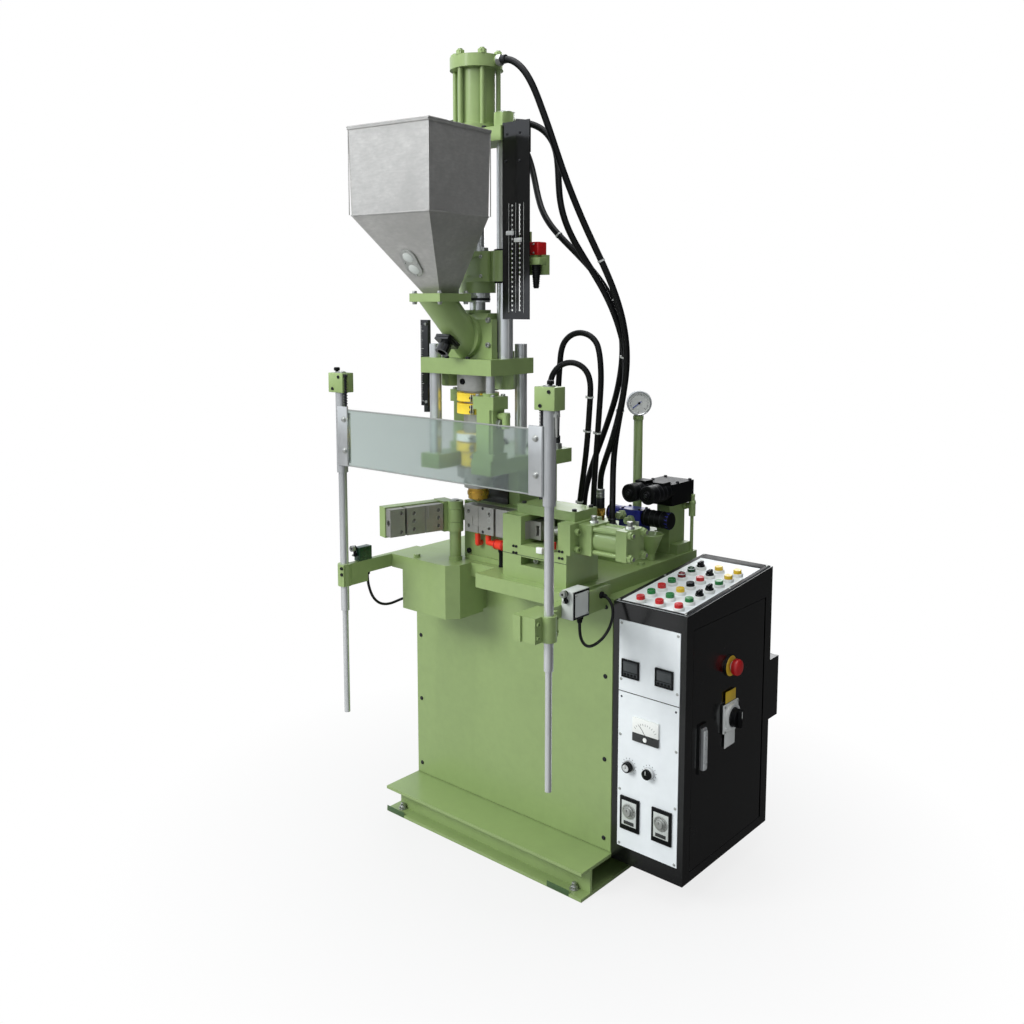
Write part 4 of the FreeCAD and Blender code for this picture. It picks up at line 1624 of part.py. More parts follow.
def door():
    """Pan-shaped door with a rounded rear edge, the stop's boss, the switch plate and the handle's cup."""
    axis = door_axis()
    outer = CABINET_RIGHT
    inner = outer - DOOR_THICK
    front = DOOR_FRONT + DOOR_GAP
    low = DOOR_BOTTOM + DOOR_GAP
    top = DOOR_TOP - DOOR_GAP
    slab = block(inner, outer, front, axis.y, low, top)
    edge = post(DOOR_THICK / 2, axis.x, axis.y, low, top)
    pocket = block(inner, outer - DOOR_SHEET, front + DOOR_SHEET, axis.y - DOOR_THICK, low + DOOR_SHEET,
                   top - DOOR_SHEET)
    leaf = cut(joined(slab, edge), pocket)
    boss_face = outer + DOOR_BOSS
    stop_boss = rod(STOP_BOSS_RADIUS, V(outer, STOP_Y, STOP_Z), V(boss_face, STOP_Y, STOP_Z))
    half = SWITCH_PLATE / 2
    plate_face = outer + SWITCH_PLATE_THICK
    switch_base = block(outer, plate_face, SWITCH_Y - half, SWITCH_Y + half, SWITCH_Z - half, SWITCH_Z + half)
    half = HANDLE_WIDTH / 2
    handle_top = HANDLE_Z + HANDLE_LENGTH
    cup = block(outer, boss_face, HANDLE_Y - half, HANDLE_Y + half, HANDLE_Z, handle_top)
    half -= HANDLE_RIM
    hollow = block(outer + HANDLE_FLOOR, boss_face, HANDLE_Y - half, HANDLE_Y + half, HANDLE_Z + HANDLE_RIM_END,
                   handle_top - HANDLE_RIM_END)
    stem_hole = rod(STOP_STEM + STOP_STEM_FIT, V(inner, STOP_Y, STOP_Z), V(boss_face, STOP_Y, STOP_Z))
    shaft_hole = rod(SWITCH_SHAFT_RADIUS + SLIDE_FIT, V(inner, SWITCH_Y, SWITCH_Z), V(plate_face, SWITCH_Y, SWITCH_Z))
    pin_radius = DOOR_PIN_RADIUS + SLIDE_FIT
    pin_holes = [post(pin_radius, axis.x, axis.y, low, low + DOOR_PIN_HOLE),
                 post(pin_radius, axis.x, axis.y, top - DOOR_PIN_HOLE, top)]
    node("cabinet_door", cut(joined(leaf, stop_boss, switch_base, cup), stem_hole, shaft_hole, hollow, *pin_holes))


def door_controls():
    """Emergency stop, main switch and swing handle on the door."""
    outer = CABINET_RIGHT
    cap_low = V(outer + STOP_CAP_START, STOP_Y, STOP_Z)
    cap_high = V(outer + STOP_CAP_END, STOP_Y, STOP_Z)
    cap = rod(STOP_RADIUS, cap_low, cap_high)
    dome = Part.makeCone(STOP_RADIUS, STOP_RADIUS * STOP_DOME_SHARE, STOP_DOME, cap_high, X_AXIS)
    stem = rod(STOP_STEM, V(outer - STOP_STEM_SINK, STOP_Y, STOP_Z), cap_low)
    node("emergency_stop", joined(cap, dome, stem))

    knob_low = outer + SWITCH_PLATE_THICK + FACE_GAP
    knob_high = outer + SWITCH_KNOB_END
    base = rod(SWITCH_RADIUS, V(knob_low, SWITCH_Y, SWITCH_Z), V(knob_high, SWITCH_Y, SWITCH_Z))
    grip = block(knob_high, outer + SWITCH_GRIP_END, SWITCH_Y - SWITCH_GRIP_HALF, SWITCH_Y + SWITCH_GRIP_HALF,
                 SWITCH_Z - SWITCH_GRIP_REACH, SWITCH_Z + SWITCH_GRIP_REACH)
    shaft = rod(SWITCH_SHAFT_RADIUS, V(outer - SWITCH_SHAFT_SINK, SWITCH_Y, SWITCH_Z), V(knob_low, SWITCH_Y, SWITCH_Z))
    node("main_switch", joined(base, grip, shaft))

    half = HANDLE_WIDTH / 2 - LEVER_SIDE_GAP
    low = outer + LEVER_FLOOR_GAP
    round_end = (LEVER_PROUD - LEVER_FLOOR_GAP) / 2
    pivot_z = HANDLE_Z + HANDLE_LENGTH - LEVER_END_GAP - round_end
    lever = block(low, outer + LEVER_PROUD, HANDLE_Y - half, HANDLE_Y + half, HANDLE_Z + LEVER_END_GAP, pivot_z)
    pivot = rod(round_end, V(low + round_end, HANDLE_Y - half, pivot_z), V(low + round_end, HANDLE_Y + half, pivot_z))
    node("door_handle", joined(lever, pivot))


# ---------------------------------------------------------------- hoses and cables
def top_hoses():
    """Three hoses from the injection cylinder down to the oil manifold."""
    socket_top = SUBPLATE_TOP + SOCKET_HEIGHT
    port_z = RAM_TOP + RAM_CAP_THICK / 2
    low_z = TOP_TOP + LOW_PORT_RISE
    slant, square = [around(angle) * (RAM_TIE_CIRCLE + LOW_PORT_PROUD) for angle in LOW_PORT_DIRECTIONS]
    x, y = HOSE_ENDS["pressure"]
    pressure = [(RAM_CAP_RADIUS + PORT_PROUD, 0, port_z), (109, 0, port_z), (135, 3, 2216), (157, 9, 2196),
                (173, 18, 2168), (184, 29, 2136), (194, 42, 2095), (207, 57, 2043), (219, 74, 1985),
                (231, 94, 1924), (244, 118, 1862), (259, 143, 1800), (276, 168, 1740), (294, 192, 1681),
                (310, 214, 1621), (320, 236, 1559), (322, 256, 1498), (316, 274, 1437), (301, 292, 1379),
                (282, 307, 1322), (261, 319, 1266), (240, 327, 1213), (219, 334, 1165), (197, 343, 1123),
                (178, 353, 1088), (x, y, 1058), (x, y, SUBPLATE_TOP + BRASS_HEIGHT)]
    x, y = HOSE_ENDS["return"]
    back = [(slant.x, slant.y, low_z), (80, 80, low_z), (107, 106, 2073), (133, 124, 2057), (156, 132, 2030),
            (173, 131, 1995), (185, 124, 1953), (193, 117, 1907), (200, 114, 1860), (209, 121, 1812),
            (222, 139, 1763), (240, 164, 1714), (260, 191, 1664), (279, 217, 1612), (293, 241, 1558),
            (300, 264, 1503), (299, 287, 1449), (289, 308, 1395), (273, 326, 1341), (254, 340, 1287),
            (236, 351, 1233), (221, 359, 1178), (213, 362, 1122), (214, 358, 1068), (221, 348, 1021),
            (228, 337, 984), (x, y, 958), (x, y, socket_top)]
    x, y = HOSE_ENDS["rear"]
    rear = [(0, square.y, low_z), (0, 112, low_z), (2, 146, 2069), (8, 174, 2048), (17, 193, 2016),
            (29, 200, 1977), (45, 195, 1936), (65, 184, 1890), (92, 171, 1843), (126, 166, 1801),
            (163, 172, 1763), (199, 187, 1725), (231, 211, 1683), (257, 238, 1637), (274, 264, 1587),
            (279, 289, 1534), (274, 312, 1479), (261, 331, 1423), (243, 346, 1367), (222, 357, 1311),
            (198, 364, 1256), (174, 368, 1201), (151, 368, 1146), (131, 364, 1090), (118, 357, 1034),
            (x, y, 980), (x, y, socket_top)]
    node("top_hoses", hose("pressure hose", pressure, HOSE_RADIUS), hose("return hose", back, HOSE_RADIUS),
         hose("rear hose", rear, HOSE_RADIUS))


def loop_hoses():
    """Two hoses that rise from the platen and loop over to the oil manifold."""
    socket_top = SUBPLATE_TOP + SOCKET_HEIGHT
    outer = [(*OUTER_LOOP_START, PLATEN_TOP), (*OUTER_LOOP_START, 1206), (108, 223, 1262), (112, 222, 1318),
             (117, 220, 1370), (122, 218, 1412), (126, 217, 1445), (135, 219, 1473), (156, 224, 1494),
             (185, 230, 1502), (214, 237, 1494), (235, 242, 1473), (243, 244, 1443), (244, 249, 1408),
             (240, 257, 1367), (232, 265, 1319), (221, 275, 1266), (210, 285, 1210), (198, 295, 1150),
             (187, 305, 1089), (178, 312, 1030), (*HOSE_ENDS["outer_loop"], 978),
             (*HOSE_ENDS["outer_loop"], socket_top)]
    inner = [(*INNER_LOOP_START, PLATEN_TOP), (*INNER_LOOP_START, 1200), (102, 168, 1248), (106, 170, 1292),
             (112, 174, 1327), (118, 178, 1356), (124, 182, 1384), (142, 192, 1408), (168, 206, 1418),
             (194, 220, 1410), (212, 230, 1389), (218, 236, 1359), (214, 242, 1325), (205, 250, 1279),
             (194, 260, 1224), (180, 272, 1166), (164, 284, 1108), (148, 294, 1050), (136, 300, 996),
             (*HOSE_ENDS["inner_loop"], 966), (*HOSE_ENDS["inner_loop"], socket_top)]
    node("loop_hoses", hose("outer loop hose", outer, LOOP_RADIUS), hose("inner loop hose", inner, LOOP_RADIUS))


def coolant_fittings():
    """Two bent coolant stubs under the fixed mould half, one into the block, one to the clamp."""
    low_left, low_right = [MOULD_Z - drop for drop in COOLANT_DROPS]
    left_x, right_x = COOLANT_X
    left = joined(post(COOLANT_RADIUS, left_x, COOLANT_Y, low_left, MOULD_Z),
                  Part.makeSphere(COOLANT_RADIUS, V(left_x, COOLANT_Y, low_left)),
                  rod(COOLANT_RADIUS, V(left_x, COOLANT_Y, low_left), V(left_x, MOULD_BLOCK_FRONT, low_left)))
    right = joined(post(COOLANT_RADIUS, right_x, COOLANT_Y, low_right, MOULD_Z),
                   Part.makeSphere(COOLANT_RADIUS, V(right_x, COOLANT_Y, low_right)),
                   rod(COOLANT_RADIUS, V(right_x, COOLANT_Y, low_right), V(CLAMP_LEFT, COOLANT_Y, low_right)),
                   rod(CONNECTOR_RADIUS, V(CONNECTOR_START, COOLANT_Y, low_right),
                       V(CONNECTOR_END, COOLANT_Y, low_right)))
    node("coolant_fittings", left, right)


def switch_cables():
    """The cables of the two limit switches, each from its switch into the table's side."""
    left = [(TABLE_LEFT - LEFT_CABLE_X, TABLE_FRONT - LEFT_CABLE_Y, TABLE_TOP - GUARD_ARM_HEIGHT),
            (-294, -165, 773), (-293, -159, 746), (-294, -148, 722), (-293, -133, 703), (-293, -115, 691),
            (-292, -95, 685), (-290, -75, 684), (-285, -57, 688), (-274, -43, 695), (-258, -36, 700),
            (FRONT_BOX_LEFT, -36, 700)]
    right_x, right_y = switch_places()[1]
    boot_end = TABLE_TOP - RIGHT_SWITCH_DROP - SWITCH_BOOT_LENGTH
    right = [(right_x + RIGHT_SWITCH[0] / 2, right_y + SWITCH_BOOT_Y, boot_end), (428, -89, 756),
             (428, -83, 734), (428, -70, 716), (428, -52, 705), (428, -31, 702), (429, -10, 705),
             (431, 10, 713), (434, 27, 728), (436, 39, 746), (436, 47, 766), (431, 52, 787), (420, 54, 803),
             (406, 54, 811), (TABLE_RIGHT + RIGHT_MOUNT_THICK, 54, 812)]
    node("switch_cables", hose("left cable", left, CABLE_RADIUS), hose("right cable", right, CABLE_RADIUS))


base_skid()
pedestal()
table()
stand()
guide_rods()
lift_cylinders()
mid_plate()
columns()
top_plate()
injection_cylinder()
feed_block()
hopper_throat()
drain_spout()
hopper()
barrel()
scale_panel()
stroke_scale_bar()
crosshead()
plunger()
position_sensor()
mould_block()
fixed_mould_half()
mould_arm()
moving_mould_half()
clamp_frame()
clamp_cylinder()
lock_ram()
guard()
guard_arms()
limit_switches()
oil_manifold()
valves()
gauge_and_funnel()
cabinet_shell()
gear_plate()
instrument_panel()
panel_knobs()
button_plate()
door()
door_controls()
top_hoses()
loop_hoses()
coolant_fittings()
switch_cables()

os.makedirs("parts", exist_ok=True)
whole = FreeCAD.BoundBox()
for name, shape in PARTS.items():
    shape.exportStep(f"parts/{name}.step")
    whole.add(shape.BoundBox)
print(f"{len(PARTS)} sub-parts, {whole.XLength:.1f} x {whole.YLength:.1f} x {whole.ZLength:.1f} mm")
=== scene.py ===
import json
import math
import bmesh
import bpy
from mathutils import Euler, Matrix, Vector


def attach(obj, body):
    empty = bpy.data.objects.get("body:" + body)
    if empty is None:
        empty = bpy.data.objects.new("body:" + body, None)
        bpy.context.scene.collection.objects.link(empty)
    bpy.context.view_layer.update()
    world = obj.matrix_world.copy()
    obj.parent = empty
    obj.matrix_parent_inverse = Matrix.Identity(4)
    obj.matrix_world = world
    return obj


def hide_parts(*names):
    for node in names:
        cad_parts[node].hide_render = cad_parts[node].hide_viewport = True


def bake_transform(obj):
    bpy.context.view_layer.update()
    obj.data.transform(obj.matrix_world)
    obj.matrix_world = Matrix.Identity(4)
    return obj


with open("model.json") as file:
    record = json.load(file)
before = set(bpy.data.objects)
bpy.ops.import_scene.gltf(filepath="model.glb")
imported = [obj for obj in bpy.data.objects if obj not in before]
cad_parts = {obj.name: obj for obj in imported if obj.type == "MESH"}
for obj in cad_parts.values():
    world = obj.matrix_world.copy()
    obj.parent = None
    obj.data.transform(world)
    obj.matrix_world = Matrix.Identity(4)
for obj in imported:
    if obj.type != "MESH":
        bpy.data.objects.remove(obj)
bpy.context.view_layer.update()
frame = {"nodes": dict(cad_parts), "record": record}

scene = bpy.context.scene
MM = 0.001
RIGHT, LEFT = Vector((1, 0, 0)), Vector((-1, 0, 0))
FRONT, BACK = Vector((0, -1, 0)), Vector((0, 1, 0))
UP, DOWN = Vector((0, 0, 1)), Vector((0, 0, -1))

# ---------------------------------------------------------------- camera, fitted to the photograph
PICTURE = 1024                        # pixels across and down
FOCAL = 1025.4                        # pixels
PRINCIPAL = (491.3, 423.1)            # pixels from the top left corner
SENSOR = 36.0                         # millimetres
EYE = (1.9446, -2.1258, 1.5871)       # metres
PITCH, YAW, ROLL = -6.72, 41.71, -0.162     # degrees
camera_data = bpy.data.cameras.new("camera")
camera_data.sensor_width = SENSOR
camera_data.lens = SENSOR * (FOCAL / PICTURE)
camera_data.shift_x = 0.5 - PRINCIPAL[0] / PICTURE
camera_data.shift_y = PRINCIPAL[1] / PICTURE - 0.5
camera = bpy.data.objects.new("camera", camera_data)
aim = Euler((math.radians(90 + PITCH), 0, math.radians(YAW))).to_matrix().to_4x4()
camera.matrix_world = Matrix.Translation(EYE) @ aim @ Matrix.Rotation(math.radians(ROLL), 4, "Z")
scene.collection.objects.link(camera)
scene.camera = camera


# ---------------------------------------------------------------- routes of the hoses and cables, in metres
PRESSURE_ROUTE = [(0.078, 0, 2.2275), (0.109, 0, 2.2275), (0.135, 0.003, 2.216), (0.157, 0.009, 2.196),
    (0.173, 0.018, 2.168), (0.184, 0.029, 2.136), (0.194, 0.042, 2.095), (0.207, 0.057, 2.043),
    (0.219, 0.074, 1.985), (0.231, 0.094, 1.924), (0.244, 0.118, 1.862), (0.259, 0.143, 1.8),
    (0.276, 0.168, 1.74), (0.294, 0.192, 1.681), (0.31, 0.214, 1.621), (0.32, 0.236, 1.559),
    (0.322, 0.256, 1.498), (0.316, 0.274, 1.437), (0.301, 0.292, 1.379), (0.282, 0.307, 1.322),
    (0.261, 0.319, 1.266), (0.24, 0.327, 1.213), (0.219, 0.334, 1.165), (0.197, 0.343, 1.123),
    (0.178, 0.353, 1.088), (0.166, 0.362, 1.058), (0.166, 0.362, 1.026)]
RETURN_ROUTE = [(0.05303, 0.05303, 2.078), (0.08, 0.08, 2.078), (0.107, 0.106, 2.073), (0.133, 0.124, 2.057),
    (0.156, 0.132, 2.03), (0.173, 0.131, 1.995), (0.185, 0.124, 1.953), (0.193, 0.117, 1.907),
    (0.2, 0.114, 1.86), (0.209, 0.121, 1.812), (0.222, 0.139, 1.763), (0.24, 0.164, 1.714),
    (0.26, 0.191, 1.664), (0.279, 0.217, 1.612), (0.293, 0.241, 1.558), (0.3, 0.264, 1.503),
    (0.299, 0.287, 1.449), (0.289, 0.308, 1.395), (0.273, 0.326, 1.341), (0.254, 0.34, 1.287),
    (0.236, 0.351, 1.233), (0.221, 0.359, 1.178), (0.213, 0.362, 1.122), (0.214, 0.358, 1.068),
    (0.221, 0.348, 1.021), (0.228, 0.337, 0.984), (0.232, 0.33, 0.958), (0.232, 0.33, 0.935)]
REAR_ROUTE = [(0, 0.075, 2.078), (0, 0.112, 2.078), (0.002, 0.146, 2.069), (0.008, 0.174, 2.048),
    (0.017, 0.193, 2.016), (0.029, 0.2, 1.977), (0.045, 0.195, 1.936), (0.065, 0.184, 1.89),
    (0.092, 0.171, 1.843), (0.126, 0.166, 1.801), (0.163, 0.172, 1.763), (0.199, 0.187, 1.725),
    (0.231, 0.211, 1.683), (0.257, 0.238, 1.637), (0.274, 0.264, 1.587), (0.279, 0.289, 1.534),
    (0.274, 0.312, 1.479), (0.261, 0.331, 1.423), (0.243, 0.346, 1.367), (0.222, 0.357, 1.311),
    (0.198, 0.364, 1.256), (0.174, 0.368, 1.201), (0.151, 0.368, 1.146), (0.131, 0.364, 1.09),
    (0.118, 0.357, 1.034), (0.112, 0.352, 0.98), (0.112, 0.352, 0.935)]
OUTER_LOOP_ROUTE = [(0.106, 0.224, 1.162), (0.106, 0.224, 1.206), (0.108, 0.223, 1.262),
    (0.112, 0.222, 1.318), (0.117, 0.22, 1.37), (0.122, 0.218, 1.412), (0.126, 0.217, 1.445),
    (0.135, 0.219, 1.473), (0.156, 0.224, 1.494), (0.185, 0.23, 1.502), (0.214, 0.237, 1.494),
    (0.235, 0.242, 1.473), (0.243, 0.244, 1.443), (0.244, 0.249, 1.408), (0.24, 0.257, 1.367),
    (0.232, 0.265, 1.319), (0.221, 0.275, 1.266), (0.21, 0.285, 1.21), (0.198, 0.295, 1.15),
    (0.187, 0.305, 1.089), (0.178, 0.312, 1.03), (0.172, 0.318, 0.978), (0.172, 0.318, 0.935)]
INNER_LOOP_ROUTE = [(0.1, 0.166, 1.162), (0.1, 0.166, 1.2), (0.102, 0.168, 1.248), (0.106, 0.17, 1.292),
    (0.112, 0.174, 1.327), (0.118, 0.178, 1.356), (0.124, 0.182, 1.384), (0.142, 0.192, 1.408),
    (0.168, 0.206, 1.418), (0.194, 0.22, 1.41), (0.212, 0.23, 1.389), (0.218, 0.236, 1.359),
    (0.214, 0.242, 1.325), (0.205, 0.25, 1.279), (0.194, 0.26, 1.224), (0.18, 0.272, 1.166),
    (0.164, 0.284, 1.108), (0.148, 0.294, 1.05), (0.136, 0.3, 0.996), (0.132, 0.302, 0.966),
    (0.132, 0.302, 0.935)]
LEFT_CABLE_ROUTE = [(-0.294, -0.165, 0.8), (-0.294, -0.165, 0.773), (-0.293, -0.159, 0.746),
    (-0.294, -0.148, 0.722), (-0.293, -0.133, 0.703), (-0.293, -0.115, 0.691), (-0.292, -0.095, 0.685),
    (-0.29, -0.075, 0.684), (-0.285, -0.057, 0.688), (-0.274, -0.043, 0.695), (-0.258, -0.036, 0.7),
    (-0.239, -0.036, 0.7)]
RIGHT_CABLE_ROUTE = [(0.428, -0.089, 0.778), (0.428, -0.089, 0.756), (0.428, -0.083, 0.734),
    (0.428, -0.07, 0.716), (0.428, -0.052, 0.705), (0.428, -0.031, 0.702), (0.429, -0.01, 0.705),
    (0.431, 0.01, 0.713), (0.434, 0.027, 0.728), (0.436, 0.039, 0.746), (0.436, 0.047, 0.766),
    (0.431, 0.052, 0.787), (0.42, 0.054, 0.803), (0.406, 0.054, 0.811), (0.392, 0.054, 0.812)]


# ---------------------------------------------------------------- materials
def linear(code):
    """Linear colour of a screen colour written as six hex digits."""
    values = [int(code[i:i + 2], 16) / 255 for i in (0, 2, 4)]
    return [v / 12.92 if v < 0.04045 else ((v + 0.055) / 1.055) ** 2.4 for v in values]


def shade(colour, factor):
    """Colour made darker or lighter by a factor."""
    return [min(1.0, max(0.0, c * factor)) for c in colour] + [1.0]


class Nodes:
    """Short names for adding and linking the nodes of one material or world."""

    def __init__(self, owner):
        owner.use_nodes = True
        self.tree = owner.node_tree
        self.tree.nodes.clear()

    def add(self, kind, inputs=(), **settings):
        """New node. Each input is a value, or the socket that feeds it."""
        item = self.tree.nodes.new("ShaderNode" + kind)
        for key, value in settings.items():
            setattr(item, key, value)
        for key, value in dict(inputs).items():
            if isinstance(value, bpy.types.NodeSocket):
                self.tree.links.new(value, item.inputs[key])
            else:
                item.inputs[key].default_value = value
        return item

    def noise(self, vector, scale, detail=4.0, roughness=0.55):
        settings = {"Vector": vector, "Scale": scale, "Detail": detail, "Roughness": roughness}
        return self.add("TexNoise", settings).outputs["Fac"]

    def ramp(self, value, low, high, first=0.0, last=1.0):
        settings = {"Value": value, "From Min": low, "From Max": high, "To Min": first, "To Max": last}
        return self.add("MapRange", settings).outputs["Result"]

    def blend(self, amount, first, second):
        return self.add("Mix", {0: amount, 6: first, 7: second}, data_type="RGBA").outputs[2]

    def maths(self, operation, first, second):
        return self.add("Math", {0: first, 1: second}, operation=operation).outputs[0]

    def dot(self, first, second):
        return self.add("VectorMath", {0: first, 1: second}, operation="DOT_PRODUCT").outputs["Value"]

    def mix(self, share, first, second):
        """Output of a shader mixed from two."""
        return self.add("MixShader", {0: share, 1: first.outputs[0], 2: second.outputs[0]})


def surface(name, colour, roughness, mottle, grime, bump, metallic=0.0, grain=900.0, wear=0.0,
            wear_colour=(0.55, 0.55, 0.52), brushed=None, coat=0.0, transmission=0.0, spread=0.08,
            edge=0.0008, peel=0.0, shine=0.5):
    """Painted, metal, plastic or rubber surface with mottling, grime, grain, worn edges and soft corners."""
    material = bpy.data.materials.new(name)
    nodes = Nodes(material)
    place = nodes.add("TexCoord").outputs["Object"]
    colour = linear(colour)
    fine = nodes.noise(place, 38, 6)
    broad = nodes.noise(place, 5.5, 3)
    tint = nodes.blend(nodes.ramp(fine, 0.3, 0.7), shade(colour, 1 - mottle), shade(colour, 1 + mottle))
    dirt = nodes.ramp(broad, 0.45, 0.75, 0, grime)
    tint = nodes.blend(dirt, tint, shade([c * 0.45 + 0.02 for c in colour], 1))
    grain_place = place
    if brushed:
        grain_place = nodes.add("Mapping", {"Vector": place, "Scale": brushed}).outputs["Vector"]
        streaks = nodes.ramp(nodes.noise(grain_place, 60, 5), 0.35, 0.65, 0, 0.5)
        tint = nodes.blend(streaks, tint, shade(colour, 0.78))
    rounded = nodes.add("Bevel", {"Radius": edge}, samples=3).outputs["Normal"]
    if wear:
        corner = nodes.ramp(nodes.dot(nodes.add("NewGeometry").outputs["Normal"], rounded), 0.985, 0.90)
        chips = nodes.ramp(nodes.noise(place, 70, 8, 0.7), 0.5, 0.62)
        worn = nodes.maths("MULTIPLY", nodes.maths("MULTIPLY", corner, chips), wear)
        tint = nodes.blend(worn, tint, (*wear_colour, 1))
    smear = nodes.maths("ADD", nodes.maths("MULTIPLY", fine, 0.5), nodes.maths("MULTIPLY", broad, 0.5))
    height = nodes.noise(grain_place, grain, 2)
    if peel:
        height = nodes.maths("ADD", height, nodes.maths("MULTIPLY", nodes.noise(place, 150, 1), peel))
    relief = nodes.add("Bump", {"Strength": bump, "Distance": 0.0006, "Height": height, "Normal": rounded})
    shader = nodes.add("BsdfPrincipled", {
        "Base Color": tint, "Metallic": metallic, "Specular IOR Level": shine, "Coat Weight": coat,
        "Coat Roughness": 0.12, "Transmission Weight": transmission, "Normal": relief.outputs["Normal"],
        "Roughness": nodes.ramp(smear, 0.3, 0.7, max(0.03, roughness - spread), min(1, roughness + spread))})
    nodes.add("OutputMaterial", {"Surface": shader.outputs["BSDF"]})
    return material


# Screen colour, roughness, mottle, grime and bump of each finish, then what else it has.
LOOKS = {
    "green_paint": ("8CA267", 0.36, 0.035, 0.16, 0.10,
                    dict(wear=0.75, wear_colour=(0.20, 0.25, 0.13), coat=0.25, peel=0.8)),
    "steel": ("B0AFA9", 0.36, 0.08, 0.25, 0.10,
              dict(metallic=0.7, wear=0.4, wear_colour=(0.7, 0.7, 0.68), brushed=(1, 1, 14))),
    "chrome_rod": ("DEE0E0", 0.18, 0.02, 0.10, 0.01, dict(metallic=0.66, brushed=(5, 5, 0.15), spread=0.05)),
    "black_steel": ("070808", 0.20, 0.12, 0.05, 0.05,
                    dict(wear=0.5, wear_colour=(0.16, 0.16, 0.15), coat=0.35, peel=0.5)),
    "white_panel": ("E8EDEE", 0.38, 0.02, 0.06, 0.06,
                    dict(wear=0.3, wear_colour=(0.45, 0.47, 0.44), peel=0.4)),
    "cream_paint": ("CFC9AE", 0.50, 0.04, 0.12, 0.10, dict(wear=0.3)),
    "blue_paint": ("252A8C", 0.36, 0.08, 0.15, 0.10,
                   dict(wear=0.8, wear_colour=(0.35, 0.36, 0.42), coat=0.2)),
    "yellow_paint": ("EFD03C", 0.42, 0.05, 0.12, 0.10, dict(wear=0.5, wear_colour=(0.4, 0.36, 0.25))),
    "switch_plastic": ("6F7F5C", 0.42, 0.06, 0.14, 0.14, dict(wear=0.4, wear_colour=(0.42, 0.45, 0.38))),
    "black_plastic": ("0B0C0D", 0.42, 0.08, 0.05, 0.12,
                      dict(shine=0.14, wear=0.2, wear_colour=(0.12, 0.12, 0.12))),
    "red_plastic": ("C2181B", 0.32, 0.05, 0.06, 0.06,
                    dict(wear=0.2, wear_colour=(0.75, 0.25, 0.22), coat=0.2)),
    "clear_plastic": ("D9E6E2", 0.07, 0.01, 0.03, 0.02, dict(transmission=0.94, spread=0.03, edge=0.0004)),
    "hose_rubber": ("08090A", 0.42, 0.12, 0.03, 0.22, dict(shine=0.3, grain=1400)),
    "red_rubber": ("E83A22", 0.42, 0.06, 0.08, 0.14, dict(grain=1100)),
    "brass": ("CFA54A", 0.28, 0.06, 0.18, 0.06, dict(metallic=0.9, wear=0.3, wear_colour=(0.9, 0.75, 0.4))),
    "stainless": ("BEBDB9", 0.42, 0.10, 0.32, 0.04,
                  dict(metallic=0.55, brushed=(1, 1, 3), wear=0.2, wear_colour=(0.8, 0.8, 0.8))),
    "white_plastic": ("E6E8E4", 0.35, 0.02, 0.05, 0.06, dict(wear=0.2)),
    "green_plastic": ("1F7A3C", 0.30, 0.06, 0.05, 0.05, dict(coat=0.25)),
    "dark_green_plastic": ("123D24", 0.26, 0.06, 0.05, 0.05, dict(coat=0.4)),
    "yellow_plastic": ("E3BE2B", 0.30, 0.05, 0.05, 0.05, dict(coat=0.25)),
    "dark_red_plastic": ("6E1418", 0.24, 0.06, 0.05, 0.05, dict(coat=0.4)),
    "grey_plastic": ("8B8F8B", 0.42, 0.04, 0.08, 0.10, dict(wear=0.2)),
    "light_grey_plastic": ("C6CBC6", 0.42, 0.04, 0.10, 0.10, dict(wear=0.2)),
    "blue_plastic": ("2447B8", 0.35, 0.05, 0.05, 0.05, {}),
    "tie_plastic": ("D8DAD6", 0.40, 0.04, 0.05, 0.06, {}),
    "dark_green_paint": ("3F5A34", 0.36, 0.06, 0.15, 0.10,
                         dict(wear=0.6, wear_colour=(0.30, 0.34, 0.24), coat=0.15)),
    "bright_green_paint": ("A5B684", 0.36, 0.04, 0.12, 0.10,
                           dict(wear=0.6, wear_colour=(0.22, 0.26, 0.15), coat=0.2)),
    "silver_paint": ("D3D6D5", 0.28, 0.03, 0.06, 0.03, dict(metallic=0.25, coat=0.2)),
    "silver_tag": ("C7C9C8", 0.34, 0.04, 0.08, 0.05, dict(metallic=0.75)),
    "zinc": ("B9BBB6", 0.33, 0.07, 0.20, 0.08, dict(metallic=0.85, wear=0.3)),
    "black_oxide": ("26272A", 0.38, 0.10, 0.10, 0.10,
                    dict(metallic=0.5, wear=0.4, wear_colour=(0.3, 0.3, 0.3))),
    "display_glass": ("1A1D1C", 0.12, 0.06, 0.04, 0.02, dict(coat=0.6)),
    "dark_display": ("33383A", 0.16, 0.08, 0.04, 0.02, dict(coat=0.5)),
    "dial_face": ("EDEFEA", 0.45, 0.02, 0.04, 0.03, {}),
}
FINISH = {name: surface(name, *look, **extra) for name, (*look, extra) in LOOKS.items()}
PAINTED = {"hinge_post": "green_paint", "solenoid_valves": "black_plastic"}
slots = {entry["node"]: entry["material_slot"] for entry in frame["record"]["subparts"]}
for node_name, item in frame["nodes"].items():
    item.data.materials.clear()
    item.data.materials.append(FINISH[PAINTED.get(node_name, slots[node_name])])


# ---------------------------------------------------------------- mesh building
def facing(position, direction, spin=0.0):
    """Placement whose own z axis points along direction, in millimetres."""
    turn = direction.to_track_quat("Z", "Y").to_matrix().to_4x4()
    return Matrix.Translation(position) @ turn @ Matrix.Rotation(math.radians(spin), 4, "Z")


